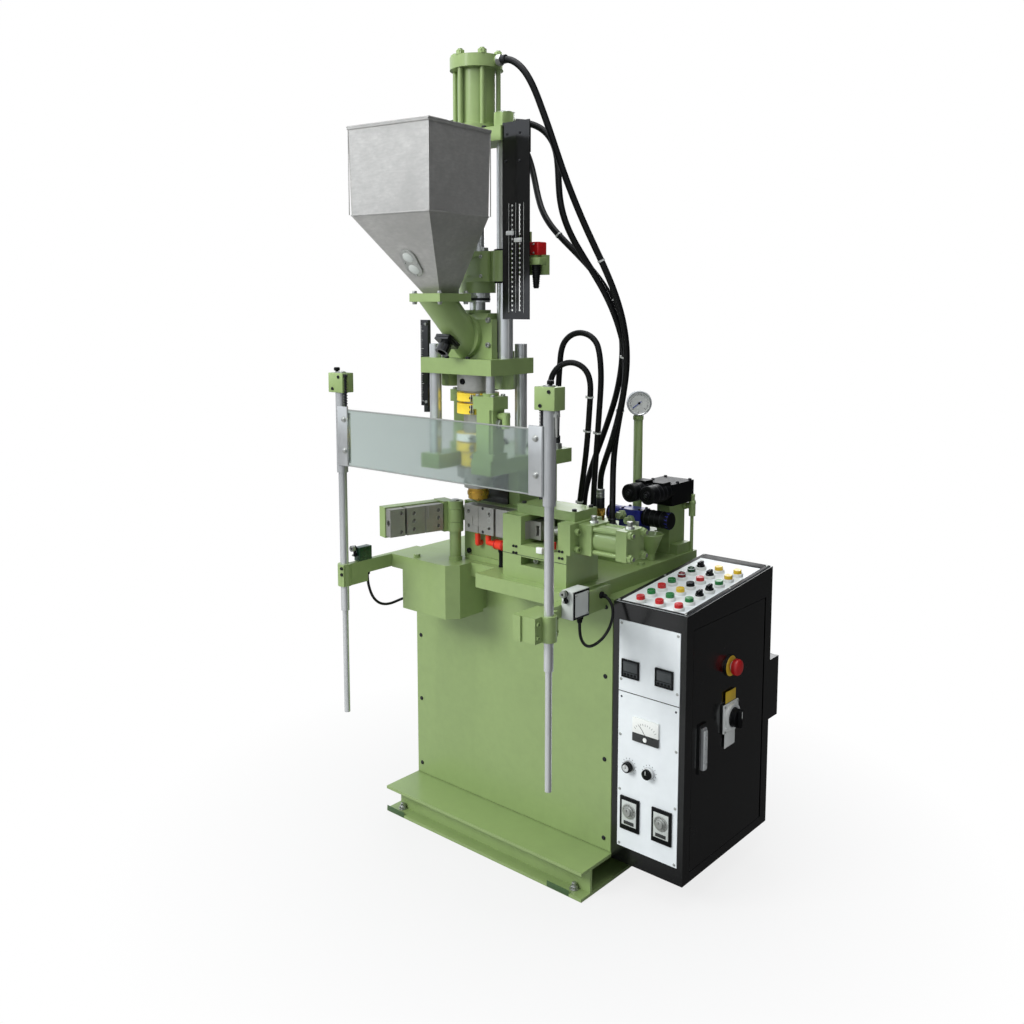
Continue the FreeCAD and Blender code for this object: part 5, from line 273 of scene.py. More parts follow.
class Form:
    """Mesh geometry gathered in millimetres and made into one piece."""

    def __init__(self):
        self.mesh = bmesh.new()

    def skin(self, loops, ends=True):
        """Faces between neighbouring loops, and over both ends."""
        count = len(loops[0])
        for low, high in zip(loops, loops[1:]):
            for i in range(count):
                j = (i + 1) % count
                self.mesh.faces.new((low[i], low[j], high[j], high[i]))
        if ends:
            self.mesh.faces.new(list(reversed(loops[0])))
            self.mesh.faces.new(loops[-1])
        return self

    def turned(self, rings, place, segments=32, hollow=False):
        """Turned form, closed at its ends, or on itself round an open middle if hollow.

        A ring is (radius, height), and a third number gives flats, or flutes if negative.
        """
        loops = []
        for radius, height, *kind in rings:
            count = kind[0] if kind else 0
            loop = []
            for step in range(segments):
                angle = 2 * math.pi * step / segments
                reach = radius
                if count > 0:
                    part = 2 * math.pi / count
                    reach = radius * math.cos(part / 2) / math.cos(angle % part - part / 2)
                elif count < 0:
                    reach = radius * (1 + 0.035 * math.cos(-count * angle))
                point = Vector((reach * math.cos(angle), reach * math.sin(angle), height))
                loop.append(self.mesh.verts.new(place @ point))
            loops.append(loop)
        return self.skin(loops + loops[:1], False) if hollow else self.skin(loops)

    def ring(self, rings, place, segments=40):
        """Turned form round an open middle."""
        return self.turned(rings, place, segments, True)

    def take(self, shape, place):
        """Add a finished shape."""
        shape.transform(place)
        data = bpy.data.meshes.new("shape")
        shape.to_mesh(data)
        self.mesh.from_mesh(data)
        shape.free()
        bpy.data.meshes.remove(data)
        return self

    def slab(self, low, high, place=Matrix(), round_edge=0.6, steps=2):
        """Block with rounded edges."""
        shape = bmesh.new()
        bmesh.ops.create_cube(shape, size=1.0)
        size = [b - a for a, b in zip(low, high)]
        middle = [(b + a) / 2 for a, b in zip(low, high)]
        shape.transform(Matrix.Translation(middle) @ Matrix.Diagonal((*size, 1)))
        limit = min(round_edge, 0.45 * min(size))
        bmesh.ops.bevel(shape, geom=shape.edges[:], offset=limit, segments=steps, profile=0.5,
                        affect="EDGES")
        return self.take(shape, place)

    def outline(self, points, depth, place, round_edge):
        """Flat outline in the place's xy plane, raised by depth, with rounded edges."""
        shape = bmesh.new()
        face = shape.faces.new([shape.verts.new((x, y, 0)) for x, y in points])
        raised = bmesh.ops.extrude_face_region(shape, geom=[face])
        moved = [v for v in raised["geom"] if isinstance(v, bmesh.types.BMVert)]
        bmesh.ops.translate(shape, verts=moved, vec=(0, 0, depth))
        bmesh.ops.recalc_face_normals(shape, faces=shape.faces[:])
        bmesh.ops.bevel(shape, geom=shape.edges[:], offset=round_edge, segments=2, profile=0.5,
                        affect="EDGES")
        return self.take(shape, place)

    def tube(self, points, radius, segments):
        """Round tube along points, its rings turned as little as they can be."""
        points = [Vector(p) for p in points]
        angles = [2 * math.pi * k / segments for k in range(segments)]
        side = None
        loops = []
        for i, point in enumerate(points):
            ahead = (points[min(i + 1, len(points) - 1)] - points[max(i - 1, 0)]).normalized()
            if side is None:
                side = ahead.orthogonal().normalized()
            side = (side - ahead * side.dot(ahead)).normalized()
            other = ahead.cross(side)
            loops.append([self.mesh.verts.new(point + radius * (math.cos(a) * side + math.sin(a) * other))
                          for a in angles])
        return self.skin(loops)

    def coil(self, radius, wire, height, turns, place, steps=18):
        """Wound spring along the place's z axis."""
        count = turns * steps
        angles = [2 * math.pi * k / steps for k in range(count + 1)]
        points = [place @ Vector((radius * math.cos(a), radius * math.sin(a), height * k / count))
                  for k, a in enumerate(angles)]
        return self.tube(points, wire, 10)

    def piece(self, name, finish, body, node=None, sharp=35, scale=MM):
        """Make the gathered geometry one object that rides on a body and may replace a node."""
        bmesh.ops.scale(self.mesh, vec=(scale, scale, scale), verts=self.mesh.verts[:])
        bmesh.ops.recalc_face_normals(self.mesh, faces=self.mesh.faces[:])
        data = bpy.data.meshes.new(name)
        self.mesh.to_mesh(data)
        self.mesh.free()
        data.polygons.foreach_set("use_smooth", [True] * len(data.polygons))
        data.set_sharp_from_angle(angle=math.radians(sharp))
        data.materials.append(FINISH[finish])
        item = bpy.data.objects.new(name, data)
        scene.collection.objects.link(item)
        if body:
            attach(item, body)
        if node:
            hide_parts(node)
        return item


def lathe(name, finish, body, rings, places, way=UP, segments=24, spin=0, step=0, hollow=False, **extra):
    """Piece with one turned form at each place, each spun by a step more than the last."""
    form = Form()
    for index, place in enumerate(places):
        form.turned(rings, facing(place, way, spin + step * index), segments, hollow)
    return form.piece(name, finish, body, **extra)


def blocks(name, finish, body, corners, round_edge=0.6, steps=2, place=Matrix()):
    """Piece of rounded blocks, each between a low and a high corner."""
    form = Form()
    for low, high in corners:
        form.slab(low, high, place, round_edge, steps)
    return form.piece(name, finish, body)


def cap_screws(name, places, way, radius, height, finish, body):
    """Socket-head cap screws with a rounded rim and a hexagon recess."""
    rings = [(radius, 0), (radius, height * 0.82), (radius * 0.9, height), (radius * 0.6, height, 6),
             (radius * 0.56, height * 0.35, 6), (radius * 0.1, height * 0.3)]
    lathe(name, finish, body, rings, places, way, step=17)


def hex_bolts(name, places, way, across, height, finish, body):
    """Hexagon heads on a washer, with a chamfered top."""
    reach = across / math.sqrt(3)
    rings = [(reach * 1.22, 0), (reach * 1.22, height * 0.2), (reach, height * 0.21, 6),
             (reach, height * 0.85, 6), (reach * 0.84, height), (reach * 0.1, height)]
    lathe(name, finish, body, rings, places, way, step=23)


def slotted_screws(name, places, way, radius, height, finish, body):
    """Low rounded panel screws with a cross recess."""
    rings = [(radius, 0), (radius * 0.96, height * 0.4), (radius * 0.75, height * 0.85),
             (radius * 0.42, height), (radius * 0.30, height * 0.75, 4), (radius * 0.05, height * 0.45)]
    lathe(name, finish, body, rings, places, way, step=31)


# ---------------------------------------------------------------- hoses and cables
HOSE_RADIUS, LOOP_RADIUS, CABLE_RADIUS = 0.009, 0.0085, 0.004


def nurbs(name, route, radius=0.0):
    """Smooth curve with the route's points as its control points."""
    data = bpy.data.curves.new(name, "CURVE")
    data.dimensions = "3D"
    data.resolution_u = 14
    spline = data.splines.new("NURBS")
    spline.points.add(len(route) - 1)
    for point, place in zip(spline.points, route):
        point.co = (*place, 1.0)
    spline.order_u = 3
    spline.use_endpoint_u = True
    data.bevel_depth = radius
    data.bevel_resolution = 7
    data.use_fill_caps = radius > 0
    item = bpy.data.objects.new(name, data)
    scene.collection.objects.link(item)
    return item


def line_points(name, route):
    """Points read from the route's smooth curve."""
    guide = nurbs(name, route)
    bpy.context.view_layer.update()
    data = bpy.data.meshes.new_from_object(guide)
    points = [v.co.copy() for v in data.vertices]
    bpy.data.objects.remove(guide)
    bpy.data.meshes.remove(data)
    return points


def fixed_cord(name, route, radius, node):
    """Round cord along a route, which doesn't move."""
    cord = nurbs(name, route, radius)
    cord.data.materials.append(FINISH["hose_rubber"])
    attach(cord, "root")
    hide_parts(node)
    return cord


def ties(name, points, heights, radius, deforming=False):
    """Cable ties, each a band with its square lock, at the points of a line nearest to the heights."""
    for number, height in enumerate(heights):
        index = min(range(1, len(points) - 1), key=lambda i: abs(points[i].z - height))
        place = facing(points[index] / MM, (points[index + 1] - points[index - 1]).normalized())
        reach = radius / MM
        form = Form().ring([(reach + 0.2, -2.4), (reach + 1.5, -2.4), (reach + 1.5, 2.4),
                            (reach + 0.2, 2.4)], place)
        form.slab((reach + 0.4, -3.2, -3.6), (reach + 5.2, 3.2, 3.6), place, 0.7)
        item = form.piece(f"{name}_tie_{number}", "tie_plastic", None if deforming else "root")
        if deforming:
            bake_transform(item)


TOP_HOSES = [
    ("pressure_hose", PRESSURE_ROUTE, 1.352, RIGHT, (1.698,)),
    ("return_hose", RETURN_ROUTE, 1.318, Vector((1, 1, 0)).normalized(), (1.434, 1.272)),
    ("rear_hose", REAR_ROUTE, 1.366, BACK, (1.774, 1.594)),
]
for name, route, length, way, heights in TOP_HOSES:
    points = line_points(name + "_line", route)
    tube = Form().tube(points, HOSE_RADIUS, 20).piece(name, "hose_rubber", None, scale=1)
    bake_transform(tube)
    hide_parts("top_hoses")
    start = Vector(route[0]) / MM
    lathe(name + "_top_nut", "zinc", "carriage",
          [(13.5, 0), (15.2, 1), (15.2, 12, 6), (14.2, 13.5, 6), (11, 14)], [start], way)
    lathe(name + "_top_ferrule", "black_oxide", "carriage",
          [(10.8, 13.5), (11.6, 14.5), (11.6, 17), (11, 18), (11.6, 19.5), (11.6, 22), (11, 23),
           (11.5, 24.5), (11.5, 28), (9.6, 29)], [start], way, 28)
    ties(name, points, heights, HOSE_RADIUS, True)
LOOP_HOSES = [
    ("outer_loop_hose", OUTER_LOOP_ROUTE, 0.975, [1.210]),
    ("inner_loop_hose", INNER_LOOP_ROUTE, 0.805, [1.318, 1.216, 0.996]),
]
for name, route, length, heights in LOOP_HOSES:
    hose = fixed_cord(name, route, LOOP_RADIUS, "loop_hoses")
    foot = [Vector(route[0]) / MM]
    lathe(name + "_nut", "zinc", "root", [(16, 0), (16.5, 1, 6), (16.5, 14, 6), (15, 16, 6), (11, 16.5)],
          foot, UP, 24, 20)
    lathe(name + "_ferrule", "black_oxide", "root",
          [(10.4, 16), (11.2, 17), (11.2, 22), (10.6, 23.5), (11.2, 25), (11.2, 36), (9.3, 38)], foot, UP,
          28, 20)
    falling = line_points(name + "_line", route)[len(route) * 6:]     # without the rising side
    ties(name, falling, heights, LOOP_RADIUS)
SWITCH_CABLES = [
    ("left_switch_cable", LEFT_CABLE_ROUTE, 0.238),
    ("right_switch_cable", RIGHT_CABLE_ROUTE, 0.284),
]
for name, route, length in SWITCH_CABLES:
    cable = fixed_cord(name, route, CABLE_RADIUS, "switch_cables")
    end = Vector(route[-1])
    lathe(name + "_gland", "black_plastic", "root",
          [(9.5, 0), (9.5, 4, 6), (8.6, 6, 6), (6.4, 7), (6, 14), (4.6, 18)], [end / MM],
          (Vector(route[-2]) - end).normalized())

# Fittings on the sub-plate: one long brass adapter and four hose nuts.
SUBPLATE_TOP = 905
adapter_foot = facing((166, 362, SUBPLATE_TOP), UP)
adapter = Form()
adapter.turned([(17.5, 0), (17.5, 2), (16, 2.2, 6), (16, 24, 6), (13.6, 25), (13.6, 44)], adapter_foot, 24)
adapter.turned([(16.2, 44.5), (17.4, 46, 6), (17.4, 63, 6), (15.8, 65, 6), (12, 65.5)], adapter_foot, 24)
adapter.piece("pressure_adapter", "brass", "root")
sleeve = Form().turned([(12.4, 65.2), (13.4, 66), (13.4, 96), (12.4, 97.5)], adapter_foot, 28)
sleeve.piece("pressure_sleeve", "black_oxide", "root")
ferrule = Form().turned([(12.6, 97), (13.2, 98), (13.2, 104), (12.4, 105.5), (13.2, 107), (13.2, 112),
                         (12.4, 113.5), (13.2, 115), (13.2, 123), (11, 125)], adapter_foot, 28)
ferrule.piece("pressure_ferrule", "zinc", "root")
nuts, sleeves = Form(), Form()
for x, y in ((232, 330), (112, 352), (172, 318), (132, 302)):
    place = facing((x, y, SUBPLATE_TOP), UP, x)
    nuts.turned([(18.6, 0), (18.6, 2), (17.6, 2.4, 6), (17.6, 17, 6), (16, 19, 6), (14, 19.4)], place, 24)
    nuts.turned([(14.2, 19), (16.2, 20, 6), (16.2, 30, 6), (15, 32, 6), (11.5, 32.5)], place, 24)
    sleeves.turned([(10.8, 32), (11.6, 33), (11.6, 38), (10.9, 39.5), (11.6, 41), (11.6, 46), (9.6, 48)],
                   place, 28)
nuts.piece("hose_nuts", "zinc", "root")
sleeves.piece("hose_sleeves", "black_oxide", "root")

# ---------------------------------------------------------------- button plate on the cabinet
CABINET_FRONT, CABINET_TOP = 77, 796
PLATE = Matrix.Translation((0, CABINET_FRONT, CABINET_TOP)) @ Matrix.Rotation(math.atan2(41, 465), 4, "X")
RED, GREEN, YELLOW, BLACK = "red_plastic", "green_plastic", "yellow_plastic", "black_plastic"
SELECTOR = None
BUTTONS = [
    [RED, GREEN, RED, GREEN, "dark_red_plastic", "dark_green_plastic", SELECTOR],
    [RED, GREEN, YELLOW, BLACK, RED, SELECTOR, YELLOW],
    [RED, GREEN, SELECTOR, SELECTOR, GREEN, YELLOW, YELLOW],
]
DOMED_CROWN = [(10.9, 18.9), (9.4, 21.4), (7, 23.3), (3.8, 24.5), (0.4, 24.9)]
FLAT_CROWN = [(11.1, 19.8), (10.5, 20.5), (9.4, 20.6), (8.4, 20.35), (0.4, 20.2)]
caps = {}
bezels, grips, marks = Form(), Form(), Form()
for row, colours in enumerate(BUTTONS):
    for column, colour in enumerate(colours):
        place = PLATE @ Matrix.Translation((485 + 58 * row, 27 + 51.5 * column, 0))
        bezels.ring([(14.9, 2), (15.2, 3), (15.2, 8.2), (14, 10.5), (12.2, 10.6), (11.9, 9.9),
                     (11.9, 7), (13, 3)], place)
        if colour is SELECTOR:
            grips.turned([(11.5, 9.6), (11.5, 13.6), (10.6, 14.4), (0.5, 14.4)], place)
            grips.slab((-4.5, -11.6, 13.8), (4.5, 11.6, 24.4), place, 1.6, 3)
            marks.slab((-0.8, 3, 23.9), (0.8, 11, 24.8), place, 0.3)
            continue
        crown = DOMED_CROWN if colour.startswith("dark") else FLAT_CROWN
        caps.setdefault(colour, Form()).turned([(11.4, 9.4), (11.4, 17.8)] + crown, place)
for colour, form in caps.items():
    form.piece("button_caps_" + colour, colour, "root")
bezels.piece("button_bezels", "white_plastic", "root")
grips.piece("selector_grips", BLACK, "root")
marks.piece("selector_marks", "white_plastic", "root")
blocks("button_plate_border", BLACK, "root",
       [((422.6, 4.6, 1.2), (434, 460.8, 2.7)), ((626, 4.6, 1.2), (637.4, 460.8, 2.7)),
        ((433, 4.6, 1.2), (627, 12.4, 2.7)), ((433, 424, 1.2), (627, 460.8, 2.7))], 0.5, place=PLATE)
slotted_screws("button_plate_screws",
               [PLATE @ Vector((x, y, 2.6)) for x in (428.5, 631.5) for y in (10, 236, 452)],
               PLATE.to_3x3() @ UP, 4, 2.2, "zinc", "root")

# ---------------------------------------------------------------- instrument faces on the cabinet's front
FACE_X, FACE_Y, FACE_Z = 531.5, 75, 118
KNOB_Z = 352
METER_X, METER_Z = FACE_X - 5, FACE_Z + 344
TIMER_Z = FACE_Z + 100
DISPLAY_Z = FACE_Z + 503


def front_slab(form, x0, x1, z0, z1, proud, depth, round_edge=0.4):
    """Rounded block on the face plate, from proud to proud + depth in front of it."""
    return form.slab((x0, FACE_Y - proud - depth, z0), (x1, FACE_Y - proud, z1), round_edge=round_edge)


def on_dial(x, y, z, reach, degrees):
    """Placement on an upright dial, with its z axis pointing outwards."""
    angle = math.radians(degrees)
    spot = Matrix.Translation((x + reach * math.cos(angle), y, z + reach * math.sin(angle)))
    return spot @ Matrix.Rotation(math.pi / 2 - angle, 4, "Y")


glass, bands, faces, needles, frames, knobs, plates, knob_rings = [Form() for _ in range(8)]
for x in (FACE_X - 56, FACE_X + 48):
    front_slab(glass, x - 23.4, x + 23.4, DISPLAY_Z - 8, DISPLAY_Z + 20.6, 3.1, 0.8)
    front_slab(glass, x - 23.4, x + 23.4, DISPLAY_Z - 20.6, DISPLAY_Z - 10, 3.1, 0.8)
    for left in (x - 20 + 10.6 * step for step in range(4)):
        front_slab(frames, left, left + 7.4, DISPLAY_Z - 18.6, DISPLAY_Z - 12.4, 3.8, 1.4, 0.5)
front_slab(faces, METER_X - 40.5, METER_X + 40.5, METER_Z - 9, METER_Z + 32.5, 0, 5.6, 1.4)
front_slab(bands, METER_X - 40.5, METER_X + 40.5, METER_Z - 32.5, METER_Z - 9.6, 0, 6.2, 1.4)
for step in range(11):
    needles.slab((-0.4, -0.5, -2.5 if step % 5 else -4), (0.4, 0.2, 2.5),
                 on_dial(METER_X, FACE_Y - 5.5, METER_Z - 22, 42, 140 - 10 * step), 0.1)
lean = Matrix.Translation((METER_X, FACE_Y - 5.7, METER_Z - 9)) @ Matrix.Rotation(math.radians(-38), 4, "Y")
needles.slab((-0.5, -0.4, 0), (0.5, 0.2, 30), lean, 0.1)
faces.turned([(6, 0), (6, 1.4), (5, 2.2), (0.3, 2.3)],
             facing((METER_X, FACE_Y - 5.9, METER_Z - 21), FRONT), 28)
for x in (FACE_X - 52, FACE_X + 48):
    front_slab(frames, x - 29.4, x + 29.4, TIMER_Z - 45.4, TIMER_Z + 45.4, 3.6, 2.2, 2)
    front_slab(plates, x - 23, x + 23, TIMER_Z - 32, TIMER_Z + 37, 5.6, 0.8, 0.8)
    front_slab(bands, x - 16, x + 16, TIMER_Z - 29, TIMER_Z - 19, 6.2, 0.8)
    knobs.turned([(21, -0.6), (21, 1.6), (20.2, 2.2), (18, 2.3), (17.6, 1.7), (14.4, 1.7), (14, 4),
                  (11.4, 4.8), (11, 11, -18), (9.8, 12.2, -18), (0.4, 12.4)],
                 facing((x, FACE_Y - 5.8, TIMER_Z + 10), FRONT), 72)
    for step in range(11):
        spot = on_dial(x, FACE_Y - 7.6, TIMER_Z + 10, 16, 225 - 27 * step)
        needles.slab((-0.35, -0.4, -1.5), (0.35, 0.2, 1.5), spot, 0.1)
    needles.slab((x - 0.7, FACE_Y - 18.4, TIMER_Z + 12), (x + 0.7, FACE_Y - 17.6, TIMER_Z + 19),
                 round_edge=0.2)
glass.piece("instrument_glass", "dark_display", "root")
bands.piece("instrument_bands", "display_glass", "root")
frames.piece("instrument_frames", BLACK, "root")
knobs.piece("timer_dials", "zinc", "root")
plates.piece("timer_plates", "light_grey_plastic", "root")
faces.piece("dial_faces", "dial_face", "root")
needles.piece("dial_marks", BLACK, "root")
blocks("face_plate_seam", "black_steel", "root",
       [((438.4, FACE_Y - 0.7, 554.2), (624.6, FACE_Y + 0.4, 556.4))], 0.3)
KNOBS = [("left", 475, 1, "silver_tag"), ("right", 538, 0.8, "chrome_rod")]
for side, x, reach, finish in KNOBS:
    for step in range(11):
        spot = on_dial(x, FACE_Y, KNOB_Z, 21, 225 - 27 * step)
        knob_rings.slab((-0.5, -0.5, -1.8), (0.5, 0.1, 1.8), spot, 0.15)
knob_rings.piece("knob_scales", BLACK, "root")
for side, x, reach, finish in KNOBS:
    centre, body = [(x, FACE_Y, KNOB_Z)], side + "_knob"
    lathe(side + "_knob_ring", finish, body, [(12.8, 0.8), (16.7, 0.8), (16.9, 3.8), (15.6, 5), (12.8, 5)],
          centre, FRONT, 48, hollow=True)
    lathe(side + "_knob_grip", BLACK, body,
          [(13.3, 4.2), (13.7, 5, -16), (13.5, 17, -16), (12.2 * reach, 18.6, -16),
           (11 * reach, 18.9), (0.5, 18.6)], centre, FRONT, 64)
    blocks(side + "_knob_mark", "white_plastic", body,
           [((x - 0.9, FACE_Y - 20.8, 353), (x + 0.9, FACE_Y - 19.9, 363.5))], 0.25)
lathe("left_knob_face", "silver_paint", "left_knob",
      [(9.6, 18), (9.6, 19.4), (8.8, 20), (4.6, 20), (4.4, 19.4), (0.4, 19.4)], [(475, FACE_Y, KNOB_Z)],
      FRONT, 40)
lathe("right_knob_collar", "silver_paint", "right_knob",
      [(13, 4.6), (15.4, 4.6), (15.4, 9.4), (14.4, 10.4), (13, 10.4)], [(538, FACE_Y, KNOB_Z)], FRONT,
      48, hollow=True)
slotted_screws("face_plate_screws",
               [(x, FACE_Y + 0.2, z) for x in (445, 618) for z in (126, 280, 434, 588, 742)], FRONT, 4, 2.4,
               "zinc", "root")
slotted_screws("instrument_screws", [(x, FACE_Y + 0.2, 540) for x in (FACE_X - 84, FACE_X + 84)], FRONT, 3,
               2, "black_oxide", "root")

# ---------------------------------------------------------------- door controls
STOP_Y, STOP_Z = 303, 609
SWITCH_Y, SWITCH_Z = 303, 468
switch = [(642, SWITCH_Y, SWITCH_Z)]
lathe("stop_collar", YELLOW, "door", [(12.8, 0), (28, 0), (28, 4.6), (27, 5.4), (20, 5.8), (12.8, 6)],
      [(642.4, STOP_Y, STOP_Z)], RIGHT, 56, hollow=True)
lathe("stop_neck", "light_grey_plastic", "door",
      [(12.4, 9), (15, 9), (15.6, 9.8), (15.6, 15.2), (12.4, 15.8)], [(642, STOP_Y, STOP_Z)], RIGHT,
      40, hollow=True)
lathe("stop_cap", RED, "emergency_stop",
      [(12, -4), (12, 7.5), (21.6, 8), (22.6, 9.6), (22.6, 17), (21.6, 20.6), (19, 23.2), (14, 25.2),
       (7, 26.3), (0.5, 26.6)], [(650, STOP_Y, STOP_Z)], RIGHT, 48)
blocks("switch_face_plate", "white_plastic", "door", [((645.6, 263, 428), (650.5, 343, 508))], 3, 3)
lathe("switch_ring", "white_plastic", "door",
      [(26.8, 7), (37, 7), (37, 15.4), (35.6, 16.8), (28, 16.8), (26.8, 15.6)], switch, RIGHT,
      48, hollow=True)
lathe("switch_base", "grey_plastic", "main_switch", [(26.6, 5.2), (26.6, 14), (25, 18.2), (9, 18.8)], switch,
      RIGHT, 48)
lathe("switch_knob", BLACK, "main_switch", [(25.2, 18.4), (25.2, 30), (23.6, 32), (7, 32.4)], switch,
      RIGHT, 48)
blocks("switch_grip", BLACK, "main_switch", [((660, 295.4, 443.4), (683, 310.6, 492.6))], 3.2, 3)
blocks("switch_mark", "white_plastic", "main_switch", [((682.4, 302, 470), (683.6, 304, 489))], 0.3)
cap_screws("switch_plate_screws",
           [(650.4, SWITCH_Y + y, SWITCH_Z + z) for y in (-35, 35) for z in (-35, 35)], RIGHT, 3.2, 2.2,
           "zinc", "door")
blocks("switch_blank_plate", "white_plastic", "door", [((646.2, 274, 384), (648, 330, 426))], 0.5)
blocks("stop_blank_plate", YELLOW, "door", [((646.2, 276, 510), (648, 330, 541))], 0.5)
handle = Form().slab((651, 152.6, 366.6), (656.6, 169.4, 473), round_edge=2.6, steps=4)
handle.slab((647, 153.6, 366.4), (653.4, 168.4, 372), round_edge=2, steps=3)
handle.piece("handle_face", "silver_paint", "door_handle")

# ---------------------------------------------------------------- heated barrel
# Top, foot, radius and finish of each heater band.
BANDS = [(1336, 1313, 59, "yellow_paint"), (1307, 1278, 59, "yellow_paint"),
         (1223, 1201, 59, "white_plastic"), (1197, 1173, 59, "yellow_paint"),
         (1169, 1129, 46, "yellow_paint")]
lugs, lug_screws, leads = Form(), Form(), Form()
for index, (top, low, radius, finish) in enumerate(BANDS):
    height = top - low
    lathe(f"heater_sleeve_{index}", finish, "carriage",
          [(radius + 0.1, 0.4), (radius + 0.35, 0.4), (radius + 0.65, 1.2), (radius + 0.35, 2.4),
           (radius + 0.35, height - 2.4), (radius + 0.65, height - 1.2), (radius + 0.35, height - 0.4),
           (radius + 0.1, height - 0.4)], [(0, 0, low)], UP, 72, hollow=True)
    turn = Matrix.Translation((0, 0, low)) @ Matrix.Rotation(math.radians(-62), 4, "Z")
    for side in (-1, 1):
        lugs.slab((radius - 1, side * 3.2 - 1.2, 1.5), (radius + 11, side * 3.2 + 1.2, height - 1.5),
                  turn, 0.5)
    for z in ((height / 2,) if height < 26 else (height * 0.27, height * 0.73)):
        place = turn @ facing((radius + 6, -4.4, z), FRONT)
        lug_screws.turned([(3.6, 0), (3.6, 3), (3, 3.6), (1.7, 3.6, 6), (1.6, 1.6, 6), (0.2, 1.6)],
                          place, 24)
        lug_screws.turned([(1.6, -10), (1.6, 0)], place, 12)
    leads.turned([(5.5, -3), (5.5, 5), (4.6, 6.5), (2.6, 7), (2.4, 13), (0.3, 13.4)],
                 turn @ facing((radius + 0.6, 24, height / 2), RIGHT + 0.4 * BACK), 24)
lugs.piece("heater_lugs", "zinc", "carriage")
lug_screws.piece("heater_screws", "black_oxide", "carriage")
leads.piece("heater_terminals", "white_plastic", "carriage")
flange_places = [(50 * math.cos(a), 50 * math.sin(a), 1099)
                 for a in (math.radians(15 + 60 * k) for k in range(6))]
cap_screws("barrel_flange_screws", flange_places, DOWN, 4.2, 3.6, "black_oxide", "carriage")
nozzle_band = Form().ring([(29.2, 1044), (31.4, 1044.4), (31.4, 1054.6), (29.2, 1055)], Matrix(), 48)
nozzle_band.piece("nozzle_band", "brass", "carriage")
lathe("cooler_port", BLACK, "carriage", [(8.5, 0), (8.5, 3), (7.6, 4.2), (4.6, 4.2), (4.4, 1.5), (0.3, 1.3)],
      [(-4, -58.6, 1369)], FRONT, 28)

# ---------------------------------------------------------------- plates, columns and feed block
COLUMNS = (-101, 101)
cap_screws("mid_plate_screws", [(-58, 66, 1434), (58, 66, 1434), (-40, -84, 1434), (40, -84, 1434)], UP, 7,
           6.5, "black_oxide", "carriage")
cap_screws("top_plate_screws", [(x, y, 2048) for x in (-64, 64) for y in (-42, 42)], UP, 6.5, 6.5,
           "black_oxide", "carriage")
cap_screws("feed_block_screws", [(x, -48, z) for x in (84, -84) for z in (1539, 1472)], FRONT, 7.5, 7,
           "zinc", "carriage")
cap_screws("platen_screws", [(x, y, 1162) for x in (-112, -64, 20, 68) for y in (200, 244)], UP, 8, 7.5,
           "black_oxide", "root")
cap_screws("crosshead_screws", [(x, -42, z) for x in (-60, -20, 52) for z in (1658, 1710)], FRONT, 5, 4.6,
           "zinc", "crosshead")
lathe("coupling_band", "black_oxide", "crosshead", [(35.3, 0), (36.2, 0.8), (36.2, 6.4), (35.3, 7.2)],
      [(0, 0, 1592)], UP, 56, hollow=True)
cap_screws("coupling_screws", [(35 * math.cos(a), 35 * math.sin(a), 1602) for a in (-0.9, 0.4, 2.2)],
           FRONT + 0.2 * RIGHT, 3.4, 3, "zinc", "crosshead")
wipers, nuts = Form(), Form()
for x in COLUMNS:
    for z, way in ((1725, UP), (1643, DOWN)):
        wipers.ring([(22.4, 0), (30, 0), (30, 3.2), (28.5, 4.6), (23.5, 4.6), (22.4, 3.4)],
                    facing((x, 0, z), way), 48)
    for z, way in ((2048, UP), (1391, DOWN)):
        nuts.turned([(30.5, 0, 6), (30.7, 1, 6), (30.7, 37, 6), (28.2, 40.7), (6, 40.8)],
                    facing((x, 0, z), way), 48)
wipers.piece("column_wipers", BLACK, "crosshead")
lathe("column_ends", "chrome_rod", "carriage",
      [(21.6, 0), (21.6, 2.2), (20.2, 3.6), (5, 3.6), (4.2, 1.4), (0.3, 1.2)],
      [(x, 0, 2088) for x in COLUMNS], UP, 40)
nuts.piece("column_nut_paint", "green_paint", "carriage", sharp=25)

# ---------------------------------------------------------------- injection cylinder
ram_nuts, rod_tips = Form(), Form()
for k in range(6):
    angle = math.radians(26.7 + 60 * k)
    spot = (61 * math.cos(angle), 61 * math.sin(angle), 2244)
    ram_nuts.turned([(13.4, 0), (13.4, 1.4), (11.9, 1.6, 6), (11.9, 11.6, 6), (10, 12.6), (6.6, 12.6)],
                    facing(spot, UP, 20 * k), 24)
    rod_tips.turned([(6.2, 11), (6.2, 15.5), (5.2, 16.6), (0.4, 16.6)], facing(spot, UP), 20)
ram_nuts.piece("ram_nuts", "green_paint", "carriage")
rod_tips.piece("ram_rod_tips", "zinc", "carriage")
ram_seam = Form().ring([(53.2, 2058), (54.6, 2059), (54.6, 2068), (53.2, 2069)], Matrix(), 64)
ram_seam.piece("ram_seam_low", "green_paint", "carriage")

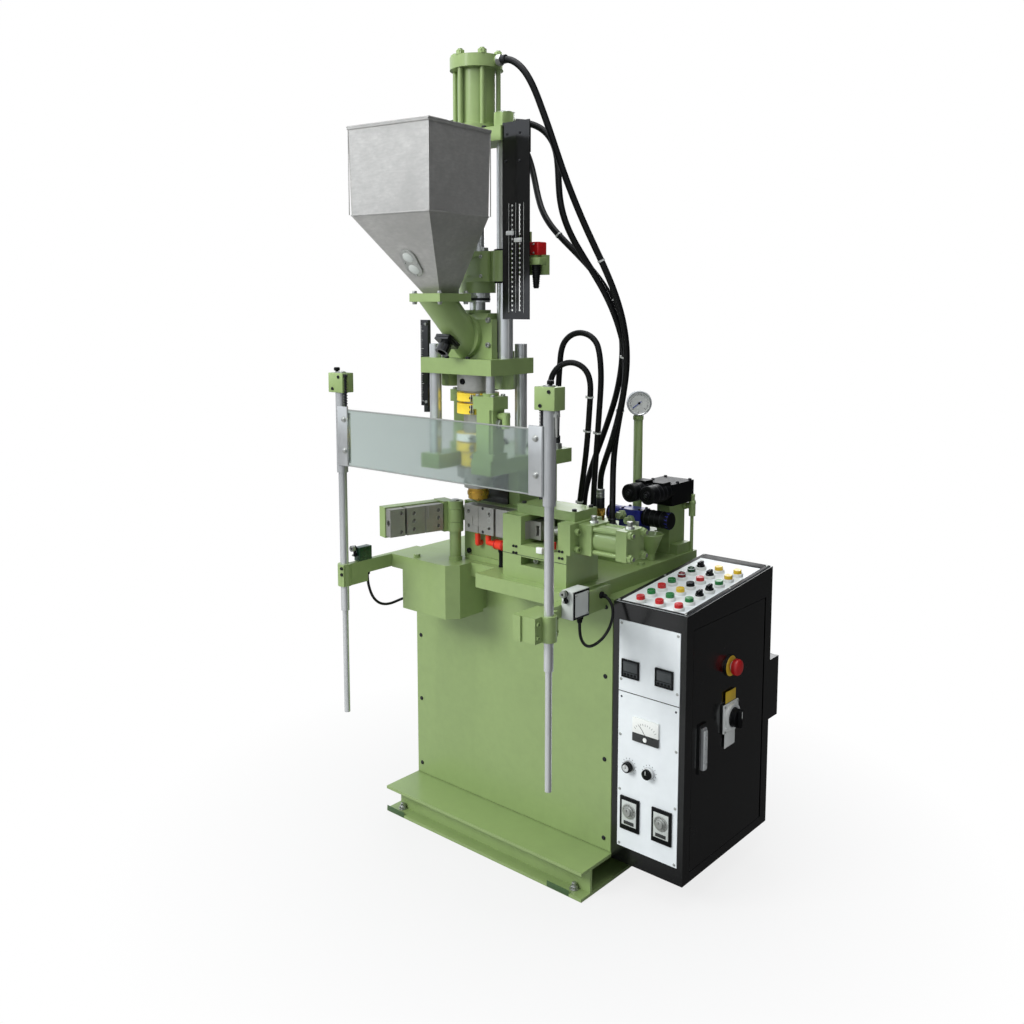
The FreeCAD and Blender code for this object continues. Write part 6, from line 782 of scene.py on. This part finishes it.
# ---------------------------------------------------------------- scale panel and its pointers
PANEL_Y = -43
lathe("scale_dots", "white_plastic", "carriage", [(2.7, 0), (2.7, 0.35), (2, 0.55), (0.2, 0.6)],
      [(x, PANEL_Y, 1566 + 12.4 * k) for x in (164, 190) for k in range(23)], FRONT, 14)
blocks("scale_lines", "white_plastic", "carriage",
       [((x - 0.35, PANEL_Y - 0.5, 1560), (x + 0.35, PANEL_Y + 0.2, 1846)) for x in (152, 176, 203)], 0.1)
slotted_screws("scale_panel_screws",
               [(x, PANEL_Y, z) for x, z in ((146, 2024), (190, 2024), (142, 1954), (189, 1952))], FRONT,
               4.2, 2.6, "black_oxide", "carriage")
blocks("scale_pointers", "white_plastic", "crosshead",
       [((x - 11.4, -51, z - 5.4), (x + 11.4, -44.6, z + 5.4)) for x, z in ((160, 1768), (187.5, 1749))],
       0.8)

# ---------------------------------------------------------------- stroke scale bar
bar_reach = [11 if k % 10 == 0 else 8 if k % 5 == 0 else 5 for k in range(44)]
blocks("bar_marks", "white_plastic", "carriage",
       [((-162, -64.5, 1306 + 5 * k), (-162 + reach, -63.9, 1306.7 + 5 * k))
        for k, reach in enumerate(bar_reach)], 0.15)
blocks("bar_edge", RED, "carriage", [((-163.6, -63.5, 1300), (-162.4, -53, 1532))], 0.3)
cap_screws("bar_screws", [(-142, -64, z) for z in (1304, 1526)], FRONT, 4, 3.2, "zinc", "carriage")

# ---------------------------------------------------------------- hopper
HOPPER_TURN = 7                       # degrees
HALF = 129                            # half of the box's width
hopper = Matrix.Translation((23.5, -240.8, 0)) @ Matrix.Rotation(math.radians(HOPPER_TURN), 4, "Z")
rim = Form()
for quarter in range(4):
    side = hopper @ Matrix.Rotation(math.radians(90 * quarter), 4, "Z")
    rim.slab((HALF - 1.5, -HALF - 2.5, 2019), (HALF + 2.5, HALF + 2.5, 2029), side, 1.8, 3)
    rim.slab((HALF + 0.1, -HALF + 6, 1806), (HALF + 1, HALF - 6, 1809), side, 0.3)
rim.piece("hopper_rim", "stainless", "carriage")
blocks("hopper_seams", "stainless", "carriage",
       [((x * HALF - 1.2, y * HALF - 1.2, 1808), (x * HALF + 1.2, y * HALF + 1.2, 2018))
        for x, y in ((-1, -1), (1, -1), (1, 1), (-1, 1))], 0.8, place=hopper)
for part, z, way in (("bolts", 1611, UP), ("nuts", 1589, DOWN)):
    hex_bolts("hopper_flange_" + part, [(x, y, z) for x in (-47, 47) for y in (-198, -98)], way, 11, 7,
              "zinc", "carriage")
# The sight glass lies on the cone's front face.
across = Vector((math.cos(math.radians(HOPPER_TURN)), math.sin(math.radians(HOPPER_TURN)), 0))
rise = Vector((38.7, -178.4, 194)).normalized()
outward = across.cross(rise).normalized()
sight = Matrix((rise.cross(outward), rise, outward)).transposed().to_4x4()
sight.translation = Vector((7.8, -260, 1690))
oval = [(24 * math.cos(a), (21 if math.sin(a) >= 0 else -21) + 24 * math.sin(a))
        for a in (2 * math.pi * (k + 0.5) / 48 for k in range(48))]
sight_frame = Form().outline(oval, 8.5, sight @ Matrix.Translation((0, 0, -4)), 0.9)
sight_frame.piece("sight_frame", "zinc", "carriage")
panes = Form()
for y in (-20, 20):
    panes.turned([(15.5, 4.2), (15.5, 5), (14.2, 5.6), (0.4, 5.8)],
                 sight @ Matrix.Translation((0, y, 0)), 40)
panes.piece("sight_glass", "light_grey_plastic", "carriage")
slotted_screws("sight_screws",
               [sight @ Vector((x, y, 4.4)) for x, y in ((-20, 0), (20, 0), (0, 41), (0, -41))], outward,
               2.6, 1.8, "zinc", "carriage")
cap_screws("throat_screws",
           [(48 * math.cos(a), -26.5, 1497 + 48 * math.sin(a)) for a in (0.5, 2.64, 3.9, 5.5)], FRONT, 4.5,
           4, "black_oxide", "carriage")

# ---------------------------------------------------------------- mould and clamp
lathe("fixed_mould_bushes", "zinc", "root",
      [(5.6, -2), (8, -2), (8, 0.06), (7.6, 0.12), (6, 0.12), (5.6, 0.06)],
      [(x, 0, z) for x, z in ((-39, 990), (-39, 948), (38, 994), (40, 973), (40, 950))], FRONT,
      28, hollow=True)
lathe("fixed_mould_plugs", "black_oxide", "root", [(4.6, -2), (4.6, 0.06), (4.2, 0.12), (0.3, 0.12)],
      [(16, 0, 1004), (16, 0, 936)], FRONT, 20)
cap_screws("mould_block_screws", [(x, 40, z) for x in (-72, 104) for z in (862, 996)], FRONT, 7.5, 7,
           "black_oxide", "root")
HINGE_X = -92
MOVING_FACE = -0.3                    # face of the moving half, from the hinge's plane
swing = Matrix.Translation((HINGE_X, 0, 0)) @ Matrix.Rotation(math.radians(-105), 4, "Z")
arm_front, arm_back = swing.to_3x3() @ FRONT, swing.to_3x3() @ BACK
cap_screws("mould_arm_screws", [swing @ Vector((x, -60, z)) for x in (62, 138, 190) for z in (942, 996)],
           arm_front, 6.5, 6, "black_oxide", "mould_arm")
cap_screws("lock_block_screws", [swing @ Vector((207, -27, z)) for z in (937, 1000)], arm_back, 4.2, 3.8,
           "zinc", "mould_arm")
lathe("moving_mould_bushes", "zinc", "mould_arm",
      [(5.7, -2), (7.6, -2), (7.6, 0.06), (7.2, 0.12), (6.1, 0.12), (5.7, 0.06)],
      [swing @ Vector((x, MOVING_FACE, z)) for x in (57, 137) for z in (946, 970, 992)],
      arm_back, hollow=True)
lathe("hinge_pin_head", "zinc", "root", [(12.3, 0), (12.3, 2.4), (11, 4), (2.2, 4), (1.8, 2.2), (0.2, 2)],
      [(HINGE_X, 0, 1014)], UP, 36)
clusters = [(x + dx, -40, z + dz) for x, z in ((171, 918), (329, 928))
            for dx, dz in ((-5, 9), (5, 9), (-5, -9), (5, -9))]
cap_screws("clamp_screws", clusters, FRONT, 3.6, 3, "black_oxide", "root")
blocks("clamp_seam", "black_oxide", "root", [((127.6, -40.6, 904.2), (346.4, -39.6, 905.6))], 0.25)
cap_screws("clamp_lid_screws", [(x, y, 1038) for x in (164, 336) for y in (8, 82)], UP, 6.5, 6,
           "black_oxide", "root")
lathe("clamp_adjuster", "zinc", "root",
      [(9.5, 0), (9.5, 7, 6), (8, 8.5), (4.4, 8.5), (4.2, 13), (3.4, 14), (0.3, 14)], [(217, 0, 887)], FRONT)
hex_bolts("table_bolts",
          [(x, y, 838) for x, y in ((-262, 540), (-262, 300), (-200, -52), (64, 545), (356, 300))], UP, 17,
          9, "green_paint", "root")
blocks("proximity_body", RED, "root", [((290, -53, 940), (314, -39, 960))], 1.6, 3)
blocks("proximity_socket", "white_plastic", "root", [((252, -50, 922), (272, -39, 938))], 1.4, 3)
lathe("connector_ring", RED, "root", [(14.2, 0), (15.6, 0.6), (15.6, 5.4), (14.2, 6)], [(72, 24, 901)],
      RIGHT, 40, hollow=True)
lathe("connector_collar", RED, "root", [(14.2, 0), (15.2, 0.6), (15.2, 3.4), (14.2, 4)], [(46, 24, 901)],
      RIGHT, 40, hollow=True)
lathe("coolant_collars", "brass", "root", [(8.2, 0), (10.4, 0.6), (10.4, 6.4), (8.2, 7)],
      [(-25, 24, 922.6), (16, 24, 922.6)], UP, 32, hollow=True)
lathe("connector_stem", BLACK, "root", [(8.5, 0), (8.5, 4), (7.2, 6), (7.2, 40), (9.6, 44), (9.6, 50)],
      [(66, 24, 838)], UP, 28)

# ---------------------------------------------------------------- lock cylinder and lift cylinders
LIFTS = ((104, -64), (-104, 64))
lock_nuts, lock_tips, lift_bolts = Form(), Form(), Form()
for y in (6, 66):
    for z in (939, 999):
        lock_nuts.turned([(12.6, 0), (12.6, 1.2), (11.2, 1.5, 6), (11.2, 10.6, 6), (9.4, 11.6), (6.6, 11.6)],
                         facing((510, y, z), RIGHT, z), 24)
        lock_tips.turned([(6.2, 10), (6.2, 15), (5.2, 16.2), (0.3, 16.2)], facing((510, y, z), RIGHT), 20)
lock_nuts.piece("lock_cylinder_nuts", "green_paint", "root")
lock_tips.piece("lock_cylinder_tips", "zinc", "root")
lathe("lock_cylinder_ports", "zinc", "root",
      [(12.5, 0), (12.5, 5, 6), (11, 6.5, 6), (7.2, 6.8), (7.2, 12), (8.8, 12.6, 6), (8.8, 18, 6),
       (7, 19), (0.3, 19)], [(x, 36, 1009) for x in (380, 493)], UP, 24, 15)
for x, y in LIFTS:
    for dx, dy in ((-27, -21), (-27, 21), (27, -21), (27, 21)):
        lift_bolts.turned([(6.2, 0), (6.2, 5), (5.4, 6), (3.2, 6, 6), (3.1, 2.6, 6), (0.3, 2.6)],
                          facing((x + dx, y + dy, 1335), UP, dx), 24)
lift_bolts.piece("lift_cap_screws", "zinc", "root")
lathe("lift_port_nuts", "zinc", "root", [(12.4, 0), (13, 0.6, 6), (13, 9, 6), (11.6, 10.4, 6), (9.2, 10.6)],
      [(x + 30, y, 1262) for x, y in LIFTS], RIGHT)

# ---------------------------------------------------------------- guard
PIN_LOW = 1289
for name, x, inner, pin_x, pin_top in (("left", -302, 1, -272, 1384), ("right", 452, -1, 437, 1337)):
    height = pin_top - PIN_LOW
    spring = Form().coil(5.4, 1.2, height - 10, 11, Matrix.Translation((pin_x, -255, PIN_LOW + 7)))
    spring.piece(name + "_guard_spring", "black_oxide", "guard")
    lathe(name + "_guard_pin", "black_oxide", "guard",
          [(6.6, 0), (6.6, 6), (3.4, 7), (3.4, height - 5), (7, height - 4), (7, height + 2),
           (5.6, height + 3.4)], [(pin_x, -255, PIN_LOW)], UP, 28)
    cap_screws(name + "_head_screws", [(x - 12, -265.6, 1346), (x + 14, -265.6, 1380)], FRONT, 4.6, 3,
               "black_oxide", "guard")
    lathe(name + "_guard_head_cap", "zinc", "guard",
          [(15.5, 0), (15.5, 3), (14, 4.4), (9.5, 4.4), (9, 2.4), (0.3, 2.2)], [(x, -245, 1390)], UP, 36)
    lathe(name + "_guard_knob", BLACK, "guard",
          [(4.5, 0), (4.5, 6), (8, 7, -8), (8.4, 9, -8), (8.4, 14, -8), (7, 16), (0.3, 16.4)],
          [(x - 8 * inner, -252, 1390)], UP, 48)
    blocks(name + "_guard_head", "green_paint", "guard",
           [((x - 30.6, -265.7, 1335.4), (x + 30.6, -224.4, 1390.7))], 1.8, 3)
lathe("guard_fitting", "zinc", "guard",
      [(6.5, 0), (6.5, 5), (8.2, 6, 6), (8.2, 14, 6), (6.4, 15), (5.2, 18), (5.2, 40), (4.2, 42), (3.4, 60),
       (2, 62), (0.3, 62)], [(474, -245, 1334)], DOWN)
blocks("guard_strip_plates", "silver_tag", "guard",
       [((x + 0.6, -266.4, 1130), (x + 41.4, -264.6, 1297)) for x in (-296, 404)], 0.6)
lathe("guard_strip_bolts", "zinc", "guard",
      [(8.5, 0), (8.5, 1.4), (7.4, 1.8), (7.2, 4), (5.8, 6.2), (3.4, 7.2), (0.4, 7.4)],
      [(x, -266.2, z) for x, z in ((-266, 1262), (-264, 1174), (427, 1268), (428, 1180))], FRONT, 32)
blocks("window_edges", "grey_plastic", "guard",
       [((-277, -261.8, 1286.5), (427, -255.2, 1290)), ((-277, -261.8, 1129), (427, -255.2, 1132.5))], 1)
cap_screws("left_arm_screws", [(-292, -263.4, z) for z in (810, 828)], FRONT, 4.6, 4.2,
           "black_oxide", "root")

# ---------------------------------------------------------------- limit switches
cap_screws("left_switch_screws", [(-307.6, y, z) for y in (-197, -161) for z in (845, 871)], LEFT, 2.6, 2.2,
           "zinc", "root")
cap_screws("right_switch_screws", [(448, y, z) for y in (-131, -83) for z in (807, 861)], RIGHT, 3, 2.4,
           "zinc", "root")
SWITCH_PARTS = [
    ("left_switch_cover", "dark_green_plastic", (-307.7, -203.7, 838.2), (-284.3, -154.3, 878.7), 2, 3),
    ("right_switch_cover", "light_grey_plastic", (409.3, -141.7, 797.4), (446.6, -72.3, 870.7), 2.4, 3),
    ("right_switch_plate", BLACK, (446, -140, 798.6), (447.4, -74, 869.4), 0.6, 2),
    ("right_switch_lid", "light_grey_plastic", (446.8, -134, 804), (448.4, -80, 864), 0.7, 2),
]
for name, finish, low, high, round_edge, steps in SWITCH_PARTS:
    blocks(name, finish, "root", [(low, high)], round_edge, steps)
lathe("right_switch_gland", BLACK, "root",
      [(9.8, 0), (10.6, 1.5, 6), (10.6, 9, 6), (9.2, 10.5, 6), (7.4, 11), (7.2, 17), (5.6, 21)],
      [(428, -89, 798)], DOWN)
lathe("left_switch_gland", BLACK, "root", [(7.2, 0), (7.8, 1, 6), (7.8, 7, 6), (6.6, 8.4, 6), (5.2, 9)],
      [(-294, -165, 800)], DOWN)
for name, x, y, z in (("left_lever", -296, -218, 858), ("right_lever", 428, -156, 846)):
    lathe(name + "_screw", "zinc", name, [(3, -0.5), (3, 1.2), (2.2, 2.2), (0.3, 2.2)], [(x, y, z)],
          FRONT, 20)
    lathe(name.replace("lever", "roller_tyre"), "zinc", name,
          [(3.2, 0), (8.5, 0), (8.9, 1), (8.9, 9), (8.5, 10.2), (3.2, 10.2)], [(x, y + 4, z + 20)], FRONT,
          36, hollow=True)

# ---------------------------------------------------------------- valves, gauge and funnel
SOLENOIDS = (294, 355)
VALVE = (408, 953)                    # depth and height of the lower valve's axis
coils = Form()
for x in SOLENOIDS:
    coils.turned([(27, -0.4), (27, 2), (25.6, 4), (21.4, 4.4), (21, 2.8), (12, 2.8), (11.6, 6),
                  (10, 7.8), (0.3, 8)], facing((x, 330, 1036), FRONT), 44)
    coils.turned([(26.4, 0), (26.4, 86), (24.4, 88), (23.4, 92)], facing((x, 330, 1036), BACK), 44)
coils.piece("solenoid_caps", BLACK, "root")
lathe("solenoid_bands", "black_oxide", "root", [(26.2, 0), (27, 0.5), (27, 4), (26.2, 4.5)],
      [(x, y, 1036) for x in SOLENOIDS for y in (352, 372, 392)], BACK, 44, hollow=True)
lathe("solenoid_nuts", "black_oxide", "root", [(5.6, 7.4), (5.6, 10.5, 6), (4.6, 11.6), (0.3, 11.6)],
      [(x, 330, 1036) for x in SOLENOIDS], FRONT)
blocks("valve_tags", "silver_tag", "root",
       [((258, 379.2, 925), (294, 380.4, 944)), ((285, 429, 1000), (330, 430.2, 1018))], 0.5)
slotted_screws("valve_tag_screws",
               [(262, 379.2, 934.5), (290, 379.2, 934.5), (289, 429, 1009), (326, 429, 1009)], FRONT, 1.8,
               1.2, "zinc", "root")
VALVE_ENDS = [
    (172, 44, [(24.4, 0), (24.4, 6), (23, 8), (23, 12), (24.4, 14), (24.4, 20), (22, 24), (22, 49)]),
    (385, 56, [(25.4, -14.4), (25.4, -1, -14), (23.6, 1.2), (0.3, 1.6)]),
    (297, 56, [(24.6, 0), (24.6, 70), (23.4, 72), (23.4, 76)]),
]
ends = Form()
for x, segments, rings in VALVE_ENDS:
    ends.turned(rings, facing((x, *VALVE), RIGHT), segments)
ends.piece("valve_ends", BLACK, "root")
lathe("valve_plugs", "bright_green_paint", "root",
      [(13.6, -1), (14.2, 1, 6), (14.2, 10, 6), (12.4, 12), (9.6, 12.4), (9.6, 20), (11.2, 20.6, 6),
       (11.2, 27, 6), (9.6, 28.4), (0.4, 28.6)], [(236, 381, 958), (266, 381, 946)], FRONT, 36)
lathe("valve_fins", "black_oxide", "root", [(24.4, 0), (25.4, 0.5), (25.4, 3), (24.4, 3.5)],
      [(x, *VALVE) for x in (304, 322, 340, 358)], RIGHT, 44, hollow=True)
cap_screws("valve_screws", [(x, y, 975) for x in (230, 288) for y in (388, 428)], UP, 4.2, 3.8,
           "black_oxide", "root")
cap_screws("tower_screws", [(x, y, 1056) for x in (282, 367) for y in (470, 540)], UP, 5, 4.6,
           "black_oxide", "root")
sub_plate_places = [(x, y, SUBPLATE_TOP)
                    for x, y in ((94, 540), (94, 292), (288, 292), (200, 292), (200, 540))]
cap_screws("sub_plate_screws", sub_plate_places, UP, 6, 5.6, "black_oxide", "root")
elbows = Form()
elbows.turned([(11.5, 0), (11.5, 8, 6), (10, 9.4, 6), (7.6, 9.8), (7.6, 20), (9.4, 21, 6), (9.4, 28, 6),
               (7.8, 29), (0.3, 29)], facing((374, 545, 984), UP), 24)
elbows.turned([(12.6, 0), (13.4, 0.8, 6), (13.4, 9, 6), (12, 10.4, 6), (9.6, 10.8)],
              facing((345, 545, 976), RIGHT), 24)
elbows.piece("drain_fittings", "green_paint", "root")

# The gauge's case is turned on its pipe, towards the operator's right.
GAUGE = (240, 450)
GAUGE_TURN = math.radians(42)
dial = facing((*GAUGE, 1287), Vector((math.sin(GAUGE_TURN), -math.cos(GAUGE_TURN), 0)))
case = Form()
case.turned([(7, -14.4), (8, -13.2), (9, -12.2), (30, -12.2), (33.4, -11.4), (35, -9.4), (35.4, -6),
             (35.4, 12), (34.6, 13.2), (33.6, 13.2), (33.2, 11.2), (0.5, 11.2)], dial, 64)
case.turned([(7, 0), (7, 22)], facing((*GAUGE, 1236), UP), 28)
case.piece("gauge_case", "chrome_rod", "root", "pressure_gauge")
lathe("gauge_pipe", "green_paint", "root", [(13.5, 0), (13.5, 331), (12.2, 333), (7, 333.4)],
      [(*GAUGE, SUBPLATE_TOP)], UP, 40, node="pressure_gauge")
bezel = Form().ring([(32.4, 10.5), (36.2, 10), (37.4, 11.4), (37.4, 14.6), (36.2, 16.4),
                     (34, 16.6), (32.4, 15.2)], dial, 64)
bezel.piece("gauge_bezel", "chrome_rod", "root")
Form().turned([(32.8, 10.8), (32.8, 12), (0.4, 12)], dial, 64).piece("gauge_dial", "dial_face", "root")
gauge_marks = Form()
for step in range(28):
    reach = 3.4 if step % 3 == 0 else 2
    turn = dial @ Matrix.Rotation(math.radians(10 * step - 135), 4, "Z")
    gauge_marks.slab((-0.45, 28 - reach * 1.6, 11.8), (0.45, 28, 12.4), turn, 0.1)
gauge_marks.turned([(3.4, 12.2), (3.4, 14), (2.4, 14.6), (0.3, 14.7)], dial, 24)
gauge_marks.piece("gauge_marks", BLACK, "root")
needle = dial @ Matrix.Rotation(math.radians(128), 4, "Z")
blocks("gauge_needle", "blue_plastic", "root", [((-1, -8, 12.6), (1, 24, 13.4))], 0.2, place=needle)
lathe("gauge_nut", "zinc", "root", [(12, 0), (13.2, 1, 6), (13.2, 11, 6), (12, 12.5, 6), (8, 13)],
      [(*GAUGE, 1250)])
pipe_nuts = Form()
pipe_nuts.turned([(19, 0), (20, 1, 6), (20, 15, 6), (18.4, 17, 6), (14.4, 17.4)],
                 facing((*GAUGE, SUBPLATE_TOP), UP), 24)
pipe_nuts.turned([(14.4, 0), (17.4, 0.8, 6), (17.4, 12, 6), (16, 13.4, 6), (13.8, 13.8)],
                 facing((*GAUGE, 1236), UP), 24)
pipe_nuts.piece("gauge_pipe_nuts", "green_paint", "root")
lathe("funnel_rim", "green_paint", "root", [(33, 0), (35.6, -0.6), (36.8, 0.8), (35.6, 2.2), (33.2, 2)],
      [(342, 372, 914.5)], UP, 56, hollow=True)

# ---------------------------------------------------------------- stand, front panel and base
PANEL_SCREWS = [(-320, z) for z in (117, 332, 540)] + [(392, z) for z in (118, 345, 580, 773)]
slotted_screws("front_panel_screws", [(x, 77.6, z) for x, z in PANEL_SCREWS], FRONT, 6.5, 3.4,
               "black_oxide", "root")
pad_bolts = Form()
for x, y in ((-300, -30), (372, -30), (-300, 520), (372, 520)):
    pad_bolts.turned([(13, 0), (13, 2), (11, 2.4, 6), (11, 9, 6), (9, 10.6), (6.2, 10.6), (6.2, 18),
                      (5, 19.4), (0.3, 19.4)], facing((x, y, 9), UP, x), 24)
pad_bolts.piece("skid_bolts", "zinc", "root")
blocks("skid_pads", "dark_green_paint", "root",
       [((x, -59.6, 1), (x + 76, -57.6, 18)) for x in (-340, 300)], 1.2)
weld = Form().tube([(-284, 78.6, 797.2), (-120, 78.2, 797.5), (40, 78.4, 797.1), (200, 78.1, 797.4),
                    (378, 78.5, 797.2)], 1.6, 10)
weld.piece("table_weld", "green_paint", "root")

# ---------------------------------------------------------------- position sensor
head = Form().slab((199, -15, 1709.5), (229, 21, 1744.5), round_edge=2.2, steps=3)
head.piece("sensor_head", RED, "crosshead", "position_sensor")
shelf = Form().slab((197.5, -28.4, 1684.6), (244.4, 0.2, 1703.4), round_edge=1.4)
shelf.slab((204, -14.2, 1702), (222.2, 0.2, 1712), round_edge=1)
shelf.piece("sensor_shelf", "green_paint", "crosshead", "position_sensor")
# The boot narrows downwards and has a groove in every six millimetres.
folds = [(13.2 - 0.085 * k - (1.2 if k % 6 > 2 else 0), 1 + k) for k in range(59)]
lathe("sensor_boot", "hose_rubber", "crosshead", [(13.2, -0.5)] + folds + [(6.4, 62)], [(222, -14, 1685)],
      DOWN, 32, node="position_sensor")
cap_screws("sensor_screws", [(214, -15, z) for z in (1716, 1738)], FRONT, 2.6, 2, "zinc", "crosshead")

# ---------------------------------------------------------------- floor, light and finish
WHITE = (1, 1, 1, 1)
floor_mesh = bmesh.new()
bmesh.ops.create_grid(floor_mesh, x_segments=1, y_segments=1, size=30.0)
floor_data = bpy.data.meshes.new("floor")
floor_mesh.to_mesh(floor_data)
floor_mesh.free()
floor = bpy.data.objects.new("floor", floor_data)
floor.location = (0.1, 0.2, -0.0005)
scene.collection.objects.link(floor)


def ray_shares(nodes):
    """How far a ray comes from the camera or through glass, and whether it was mirrored."""
    path = nodes.add("LightPath").outputs
    return nodes.maths("MAXIMUM", path["Is Camera Ray"], path["Is Transmission Ray"]), path["Is Glossy Ray"]


# White paper to the camera beyond the machine, and darker to mirrored rays at the back right.
floor_finish = bpy.data.materials.new("floor")
nodes = Nodes(floor_finish)
seen, glossy = ray_shares(nodes)
place = nodes.add("TexCoord").outputs["Object"]
distance = nodes.add("VectorMath", {0: place}, operation="LENGTH").outputs["Value"]
heading = nodes.add("VectorMath", {0: place}, operation="NORMALIZE").outputs["Vector"]
matt = nodes.add("BsdfPrincipled", {"Roughness": 0.9, "Base Color": (0.55, 0.55, 0.55, 1)})
paper = nodes.add("Emission", {"Color": WHITE})
dark = nodes.add("Emission", {"Color": (0.05, 0.05, 0.05, 1)})
paper_share = nodes.maths("MULTIPLY", seen, nodes.ramp(distance, 0.45, 1.3, 0.80, 1))
darkness = nodes.ramp(nodes.dot(heading, (-0.66, -0.75, 0)), 0.3, -0.5, 0.15, 0.96)
mixed = nodes.mix(nodes.maths("MULTIPLY", glossy, darkness), nodes.mix(paper_share, matt, paper), dark)
nodes.add("OutputMaterial", {"Surface": mixed.outputs[0]})
floor_data.materials.append(floor_finish)

# White to the camera. Its light falls off towards the back right, more so for mirrored rays.
world = bpy.data.worlds.new("world")
scene.world = world
nodes = Nodes(world)
seen, glossy = ray_shares(nodes)
lit_side = nodes.dot(nodes.add("TexCoord").outputs["Generated"], (-0.63, -0.72, 0.30))
soft = nodes.ramp(lit_side, -0.5, 0.9, 0.08, 0.82)
mirrored = nodes.ramp(lit_side, -0.7, 0.6, 0.03, 1.35)
strength = nodes.maths("ADD", soft, nodes.maths("MULTIPLY", glossy, nodes.maths("SUBTRACT", mirrored, soft)))
dim = nodes.add("Background", {"Color": (0.82, 0.86, 0.92, 1), "Strength": strength})
white = nodes.add("Background", {"Color": WHITE, "Strength": 1})
nodes.add("OutputWorld", {"Surface": nodes.mix(seen, dim, white).outputs[0]})


def lamp(name, position, target, size, power, glossy=True):
    """Area lamp aimed at a target, which may be hidden from mirrored rays."""
    data = bpy.data.lights.new(name, "AREA")
    data.shape = "RECTANGLE"
    data.size, data.size_y = size
    data.energy = power
    item = bpy.data.objects.new(name, data)
    turn = (Vector(target) - Vector(position)).to_track_quat("-Z", "Y").to_matrix().to_4x4()
    item.matrix_world = Matrix.Translation(position) @ turn
    item.visible_glossy = glossy
    scene.collection.objects.link(item)


lamp("key", (-1.6, -3.6, 3.2), (0.1, 0, 1.1), (1.8, 1.8), 146, glossy=False)
lamp("front_shine", (-0.2, -4.4, 3.4), (0.1, 0, 1.2), (0.9, 0.9), 22)
lamp("top", (0.4, -0.4, 4.2), (0.1, 0.1, 0.9), (2.4, 2.4), 60)
lamp("right_fill", (4.4, 0.2, 2.2), (0.3, 0.2, 0.9), (1.6, 2.2), 5)
lamp("rear_fill", (-1.5, 3.6, 2.8), (0.1, 0.3, 1), (2, 2), 40)
scene.view_settings.view_transform = "Standard"
